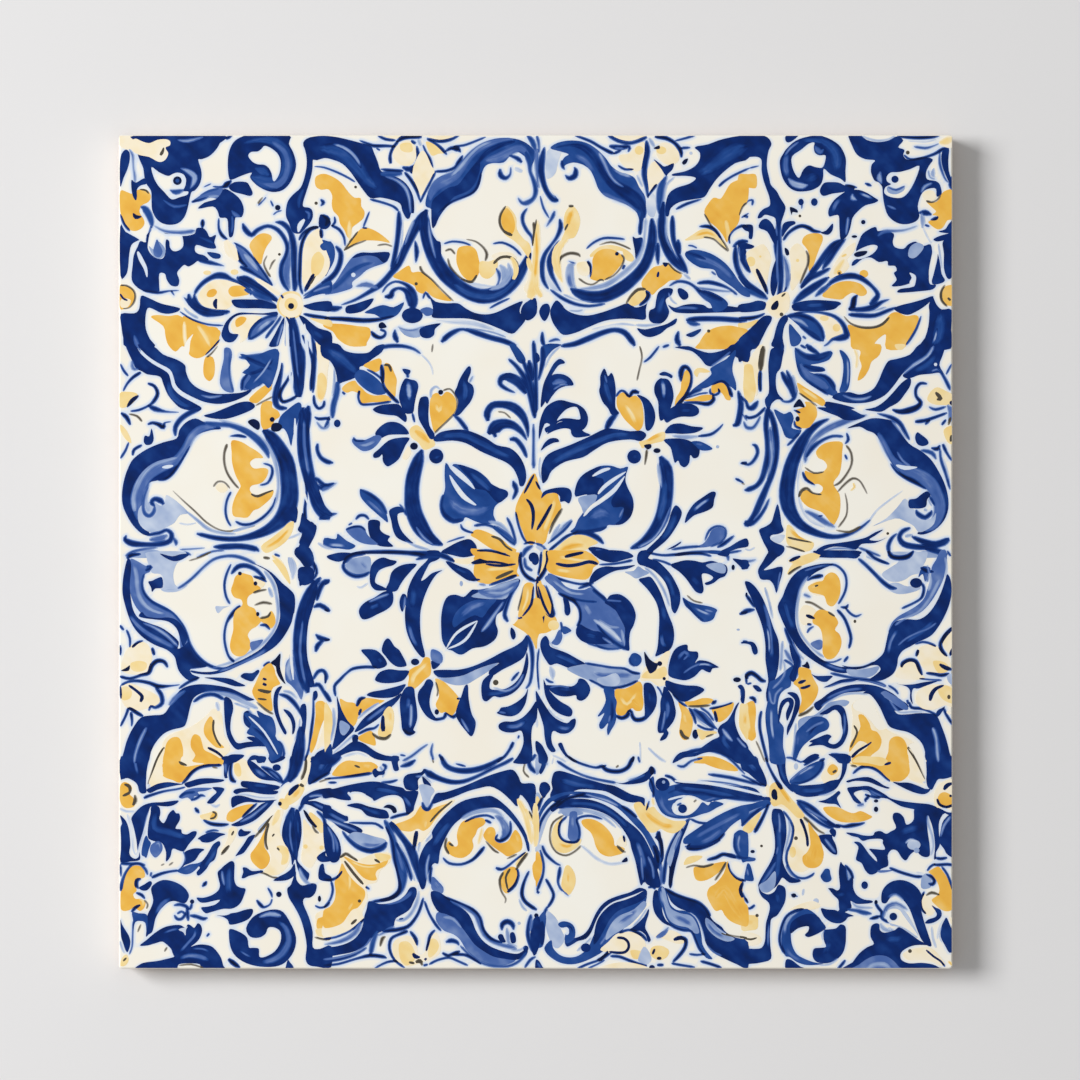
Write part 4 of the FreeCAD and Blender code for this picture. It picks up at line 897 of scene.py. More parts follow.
wf 142.2 125.2, 142.6 124.3, 142.2 123.4, 143 122.7, 143.4 124, 143.2 124.8
gs 144.6 133.4 .3, 145.4 131.7, 146.1 130.5
nf 146.5 131.2, 147.6 131.8, 149 132.2, 150 132.4, 150 130.8, 148.6 131, 147.2 130.8
nf 147.2 128.8, 147.7 127, 148 125, 148.6 123.8, 147.6 123.2, 146.3 123.2, 146.4 125, 146.9 127.2
nf 148.2 130.8, 149.8 131, 149.9 127, 149.8 124.4, 149 124.2, 148.4 126, 148.4 128.6
ws 147 130.4 .5, 146.7 128 .9, 146.2 125.6 .8, 146 123.8 .4
ls 147.4 130.4 .3, 147.7 128.4, 148 126
""")

# %% Top edge right of the middle: bracket and bud
painting.append("""
bs 75.2 149.8 .6, 75.5 148.5 .5, 75.6 146.8 .4
ms 75.2 147.5 .8, 75.2 145 .9, 75.3 142 .5, 75.6 140.4 .4
ks 82 149.9 .35, 84.7 148.9 .5, 86.6 147.8, 88.3 146.9 .6, 89.2 146.6 .4
pf 77 147, 78.5 147.4, 79.6 147, 79 145, 78.6 143.2, 77.6 142.2, 76.8 142.6
bf 77.6 147.6, 79 148.6, 81.5 149, 84 148.6, 86 147.4, 87.6 145.8, 88.6 144.4, 90 143.4, 91.6 142.9,
92.8 142.2, 93.6 140.6, 94.7 138.8, 94.8 136.4, 94.5 135, 93.8 134, 93.2 135.9, 91.7 137.2, 89.8 138.1,
87.6 138.9, 86.3 140.2, 85.6 142, 84.8 143.6, 83.5 144.6, 81.8 145, 80.4 144.6, 79.9 144, 79.6 145,
80.2 146, 80.9 146.5, 79.4 147
mw 82 146.4 1.4, 84 145.2 1.2, 85.4 143.2 1
ns 78.6 147.7 .3, 81 148.2 .5, 83.3 147.9 1.1, 85.2 146.4 1.3, 86.4 144.4 1.2, 87.7 142.4 1.4,
89.5 140.8 2, 91.5 139.4 2.4, 93.2 138, 94.3 136.4 1.2, 94.6 135 .4
ls 86.4 146.8 .5, 87.3 145 .6, 88.2 143 .5, 89.4 141.5, 90.8 140.6 .3
lw 88.6 144.2 .6, 90.5 143 1, 92.6 142.3 .6
ms 87 139.5 .6, 89.5 138.4, 91.5 137.6 .5, 93.2 136.2 .3
ns 79.7 145.4 .6, 79.8 144.4, 80.2 143.7 .4
ns 80.3 142.8 .4, 81 142.2 .8, 82 142.6 1, 82.2 143.6 .8, 81.9 144.2 .4
ns 76.6 147.8 .4, 76.2 146 1, 76 143.5 1.1, 76.5 140.9 .9, 77.5 139, 78.5 138.3 1.3, 79.1 138.2 .8
ls 77.6 139.8 .3, 78.6 138.6 .4
ns 75.8 139 .3, 76.4 136.8 .4, 77.4 135 .3
bs 78.4 136.3 .5, 78 135.2 .6, 76.9 133.5 .3
ef 81.4 137.3, 80.3 136, 80 134, 80.2 132.6, 79.6 131, 81 131.3, 82 131.6, 82.7 133, 83 134.6,
82.5 136.3
yw 80.6 133.2 .8, 81 135 1.4, 81.8 136.6 .8
os 80.9 137.2 .6, 81.8 137.2 .5
os 80.2 132.8 .3, 80.8 134
pf 76.8 129.2, 77.8 130, 78 128.2, 77.8 126, 78.4 123.6, 79.4 122, 78 122.2, 76.8 124, 76.6 126.6
es 80 130.6 .6, 79 128.8 1.4, 78.7 126.8 1.6, 79.2 124.8 1, 79.8 123.4 .4
ns 79.3 134.9 .5, 79.5 133.4 .8, 78.8 131.6 .6, 77.8 130.2 .5, 76.6 128.4 .7, 76.1 126.2 .9,
76.4 123.8 .7, 77.3 122.2 .4
ns 79.2 131 .3, 78 129.2 .5, 77.5 127.2 1, 77.8 125 .8, 78.7 123.2 .5, 79.6 121.7 .3
os 79.2 126.4 .3, 79.3 127.4, 79.9 128.2 .5, 81.2 128.7, 82.6 128.5, 83 128 .3
ls 82.2 127 .3, 81.3 126.4 1.2, 81.1 124.8 1.5, 81.6 122.8 1.2, 82.6 122 .4
mw 81 125.4 .6, 81.1 123.6 .9, 81.8 122.2 .6
bs 80.9 127.3 .2, 82 126.9 .3
cf 82.4 126.8, 83.6 127.2, 84.8 127, 84.9 125.2, 83.8 124.6, 82.6 125.2
ef 84.8 128, 86 129.6, 88 130.2, 90.3 129.8, 92 128.8, 92.7 127.8, 92.4 127.2, 91.4 127.4, 90.8 128.2,
90 129.2
yf 85.2 127.6, 86 128.9, 87.4 129.5, 89 129.3, 90.4 128.4, 90.8 127.4, 90 126.2, 89 125, 87.8 124.1,
86.4 123.7, 85 124, 84.8 124.6, 85.2 126
ks 84.1 129.5 .3, 85.4 130.6 .4, 87.2 131.4, 89.4 131.4, 91 131.2 .3
os 86.4 130.2 .2, 88.5 130.7 .35, 90.6 130.1, 92.1 129.4 .3
ks 84.3 127.3 .6, 84.9 126.2 .4, 84.8 124.4 .3
kd 89.6 128.6 .35
os 90.4 128.5 .3, 90.9 127.6, 90.2 126, 89 124.7, 87.4 123.9
os 82.7 124.2 .4, 84 123.3 .3, 85.3 123.1, 86.6 123.9, 87.3 123.7
ks 91 126.6 .6, 90.6 125.8 .5
nf 92.4 131.6, 93 131.4, 94.2 131.5, 94.3 130, 93.7 128.6, 93 127.6, 92.8 129.2
ns 94.2 136 .6, 93.9 134 .7, 93.7 132 .8
ls 94.8 135 .6, 94.6 132.6 .5, 94.3 130 .6, 93.3 127.6 .7, 91.6 125.8 .8, 89.8 124.4, 87.6 123 .9,
85 122.4 .7, 82.6 122.2 .4
ns 95.9 135 .9, 96 132.5 1.4, 95.7 129.6 1.7, 94.6 126.6 1.8, 92.6 124.2 2, 90.2 122.3 2.2, 87.4 121,
84.6 120.9 2, 82.4 121.6 1.4, 81.2 122.4 .5
ns 77.6 122.2 .4, 79.6 120.7 .6, 82 119.6, 84.6 119.2 .5, 87.5 119.6 .4
ls 80 121.3 .4, 82.4 120.3, 85.4 119.8 .3
nf 75.6 118.2, 76.2 119.4, 77.2 119.6, 77.6 118.6, 77.2 117.2, 76.6 116.5, 76 117
nf 78.6 120.2, 79.6 119.6, 80.4 118.6, 82 117.8, 84.3 117.5, 87 118.1, 89.5 119, 91.5 119.7, 92.8 119,
93.8 119.1, 94.9 119.6, 95.2 120.4, 94.8 118.6, 94.7 116.8, 92.5 116.9, 90 116.9, 87.3 116.5,
84.5 115.4, 82.2 114.4, 80 114, 78.8 115.1, 77.9 116.6, 77.6 118.4
ms 81 118.4 .2, 82.5 118.3 .3, 83.4 118.5
gs 85 115 .3, 87.6 115.6, 90.5 116 .4, 93 115.7 .3
ns 79.5 112 .6, 82 112.4 .9, 84.6 113.4 1, 87 114.4 .9, 89.2 114.9 .8, 91 114.4 1, 92.2 113, 92.8 112 .8
ns 76.2 114.6 .4, 76.2 113 .7, 76.6 111.8 .5
bs 77.3 112.8 .4, 78.6 113.2 .5, 79.4 113 .3
pf 95.4 139.6, 96.4 139, 96.6 136.5, 96.2 135.2, 95.2 135.6, 94.9 137.4
bs 98.6 142.6 .6, 97.6 140.8 1.2, 97.3 138.8 1.3, 97.2 136.6 .8, 97.1 135.8 .4
ls 100 142.4 .4, 98.5 141 .5, 98 138.6, 97.6 136.4
ls 96.9 135 .6, 97 132.4 .5, 96.8 130 .4
ns 98 138 .9, 97.7 135.4 1.2, 97.7 132.6 1.4, 98.3 130.2 1.6, 99.4 128, 100.8 126.4 1.2, 101.9 125.3 .6
ls 98.6 136.2 .3, 98.4 133.4 .5, 98.7 131, 99.8 128.8 .3
ns 99.6 135.5 .6, 99.6 133.5 .9, 99.8 131 .8, 100.6 128.6 .7, 101.6 126.6 .8, 102.3 125 .5
ns 100.6 131.2 .6, 100.7 130 .8, 101 128.6 .4
ns 97 130.6 .6, 96.9 128.4 .8, 97 126.6 .3
ls 101.6 125 .6, 102.8 124 .5
yf 94 123.4, 95 125, 96.2 126.2, 97.5 126.5, 98.8 127, 99.8 125.9, 101.3 124.8, 100.6 123.9, 99.2 123.8,
98 122.9, 97 122.2, 96 121.2, 95.3 121.8, 94.4 122.2
kf 97.8 127, 98.9 126.9, 98.3 126.2
ks 97.1 125.4 .3, 96.9 124.4 .5
os 98.8 127 .3, 100 125.7, 101.4 125
ef 91.6 119.9, 92.4 121.2, 93.6 122.1, 94.8 121.9, 95 120.9, 94 119.8, 92.6 119.2
os 91.2 119.5 .3, 92 120.9 .4, 93.4 122.2 .5, 94.8 122.2 .4
ks 94.8 122 .5, 95.3 121.2 .7, 94.8 120.2 .6, 93.6 119.3 .5
ns 99 122.8 .3, 100.4 123.6 .5, 102 123.5, 103.4 122.8, 104.8 121.4 .7, 106.2 120 .6
nf 95.3 117.4, 95.5 118.4, 96.4 118.9, 96.6 120, 97 121.6, 98.1 122.4, 99.6 122.3, 99.4 121.2,
98.4 120.4, 98.6 119.3, 99 118.2, 98.6 117, 97.6 116.1, 96.2 116.1, 95.5 116.6
bw 97 117.6 1.4, 97.6 119.6 1.2, 98.2 121.2 .8
nf 100.5 122.2, 101.2 122.4, 102.3 121.6, 102.4 120.7, 101.6 120.3, 100.8 121
nf 98.8 119.4, 100 118.9, 101.6 119.4, 103.4 119.6, 105.2 119.4, 106.2 118.8, 108 119.2, 109.8 119.2,
111.5 119, 113 119.4, 113 118.4, 110.5 118.1, 107 118, 104 117.9, 101.5 117.9, 99.8 118.2
mw 100 118.8 .6, 102 118.9 .8, 104.5 118.7 .6
ls 98.9 121.6 .3, 99.4 120.3 .4, 100.4 119.5 .3
bf 104.4 121.4, 105.6 122, 107.4 121.4, 109 120.4, 109.6 119.4, 108.6 118.4, 107 118.2, 106.4 119.6
ns 104.4 122 .5, 106.4 121.2 .9, 108.6 120.2 .7
ns 104 123.3 .5, 106 123.5 .7, 108.2 123 .6, 110 122.2 .4, 111.2 121.2 .5
ms 103.6 122.6 .3, 106 122.2 .5, 108.6 121.9 .4, 110.4 121.8 .3
ns 102 116.7 .8, 104.5 116.9 .9, 108 116.9, 111 116.7, 113 116.6 .8
bs 102.2 116.4 .8, 103.4 116, 104.6 115.9 .5
ls 93 115.8 .4, 95 115.7 .5, 97.5 116 .3
nf 93.2 115.2, 94.6 115, 96.4 115.4, 98.6 116, 100.3 117, 100.1 116, 98.6 115.2, 97.4 114.2, 95.6 113.6,
94.2 114
ns 100.7 114.7 .5, 100.4 113.2 .9, 101 112 1
nf 102 114, 103 114.5, 104.6 115.1, 104.6 114.6, 103.6 113.8, 102.8 113.6
yf 104.4 112.6, 105.6 114.4, 107.5 115.4, 109.8 115.7, 111.5 115.4, 113 115, 113 114.6, 111.8 113.6,
110.6 112, 110 111.5, 104 111.5
od 106.1 114.7 .3
nf 110.2 111.5, 111 112.6, 112.2 113.6, 113.5 114, 113.5 111.5
cf 88.5 150, 89.6 149.2, 91.5 148.8, 93.4 149.2, 94.4 149.6, 94.4 150
ns 88 149.9 .5, 89.8 148.9 .6, 91.8 148.5, 93.5 148.9, 95 149.6
ks 96.4 149.7 .8, 98.4 149.4 .7, 100 148.5 .6, 101 147.2 .7, 101.2 145.9 .5
ks 100 148.9 .3, 102 149.4 .4, 103.6 149.9
cf 92.6 147.6, 93.6 148.5, 94.6 148.6, 94.9 146.6, 94.6 144.8, 93.8 143.6, 92.5 143.5, 90.8 144.4,
89.9 145.8, 90.2 146.4, 91.6 146.6
ed 93.6 147.2 .8
ns 88.2 148 .7, 90 147.7 .9, 91.8 147.8 .6, 91.6 146.9 .4
ls 89.2 147.6 .4, 90.8 147.5
ks 89 146.6 .5, 90.4 147.2 .4
ks 89.8 144.5 .3, 91 143.8 .4, 92.6 143.8 .3
cf 95 143.6, 96.6 145.4, 97.8 143.4, 98 142.4, 96.8 141, 95.6 139.6, 95 141.2
ns 94.9 149 .6, 95.1 147 .9, 94.7 144.8, 94.5 142.8, 94.9 140.6 .6, 95.2 138.6 .4
ls 95.4 149.4 .6, 96 148.4, 96.4 147.6 .3
ls 93.2 142.8 .5, 94.2 140.6 .4
cf 96.6 147.4, 97.4 148.4, 98.6 148.6, 100 147.8, 100.8 146.6, 100.6 145.2, 99.4 144.6, 98.2 144.8,
97 145.8
ed 97.6 147.2 .9 .7
kf 96.2 147.6, 97.2 148.1, 97.3 147.5, 96.6 147.4
nf 96.2 145.6, 97.4 144.8, 98.2 144.3, 99.8 144.9, 99.6 143.8, 98.8 143, 98.4 142.6, 97.6 143.8
ks 101 147.6 .5, 102.8 147.7 .4
kf 101.3 145, 101.8 145.6, 102.4 145.7, 102.1 144.9, 101.6 144.6
gd 102.9 146.7 .3
ks 96.8 141.1 .5, 95.8 139.8 .4, 95.1 138.8 .3
nf 103.6 147.8, 106 148.3, 108.9 149.3, 113.4 149.7, 113.4 145.9, 110.9 144.9, 108.9 143.4, 107.5 142,
106.3 140.3, 105.3 138.8, 103.4 138.4, 100.9 137.9, 99.3 136.8, 98.9 135.4, 98.3 135.6, 98.4 137.8,
99 139.5, 100.4 140.5, 102.6 141.2, 103.8 142.2, 102.1 142.6, 99.7 142.6, 99.7 143, 101.7 143.4,
103.4 144.2, 104.4 145.4, 104.5 146.8
bw 104.6 143 2.4, 107.5 145 2.8, 110.5 147, 113 148 2.4
ks 100.2 136.6 .4, 102.2 137.6 .5, 104.8 138.4 .3
yf 105.3 136.2, 106 137.6, 107 138.7, 108.2 138.5, 109 139.6, 110 141.2, 111.6 142, 113.2 142.9,
113.2 138.4, 112.4 137.6, 111.8 136, 111.6 134.6, 111 133.4, 109.8 132, 109.4 130.6, 108.6 132,
107.4 133.4, 106 134.6
es 109.2 134.6 .7, 109.6 132.6 .6, 109.6 131
ef 101.8 131, 103 131.9, 104.8 133, 106.4 133, 107.6 132.2, 108.8 130.6, 109.4 129.3, 108.6 129.9,
107.6 131, 106 131.5, 104.2 131.2
yw 103.5 131.8 .6, 105.8 132.4 .9, 107.6 131.6 .7
os 105.3 135.8 .3, 106.4 133.9, 107.6 132.4, 109 130.4, 109.7 129.1
ks 104.4 133.5 .3, 106 133.5 .6, 107.4 132.7 .5, 108.4 131.2 .3
os 105.2 131.6 .3, 107 131.2, 108.4 130, 109.6 129
ks 102.4 130.1 .3, 103.2 130, 104 129.6
ks 107.9 140.7 .5, 109 141.7 .4, 110.8 142.8, 113.4 144 .35
ns 112.4 135.4 .4, 113.2 135.2 .8
ks 109.9 130.4 .3, 109.8 131.6, 110.6 132.8, 112 133.6 .5, 113.2 133.4
os 111.6 135.5 .2, 112.2 137 .3, 113 137.8
bf 101.9 128.8, 103 129.3, 104.8 129.2, 107 128.4, 109 127, 110.4 125.4, 111.6 123.6, 113.4 121.6,
113.4 120.8, 112 121.2, 110.6 122.4, 109.2 123.4, 107.8 124.4, 107.2 125.6, 106.2 125.9, 104.6 126.1,
103 127, 102 128
mw 103.5 128 1.2, 106 127.4 1.4, 108.5 126 1.2, 110.5 124 1
ns 102 128.9 .5, 103.6 128.4 .6, 105.6 127.6 .3
ns 106.6 125.4 .4, 107.4 124.8
ns 110.4 129.8 .4, 111.6 130.7 .7, 113.2 130.8 .8
ns 111 130 .8, 110.9 127.8 .9, 111.4 125.6, 112.6 123.6 1, 113.6 122.4 .8
ns 112.4 129.4 1, 112.3 127.6, 113 126 .8, 113.6 125.2 .6
ls 111.6 129.8 .3, 111.6 127.4 .4, 112.2 125.2 .3
""")

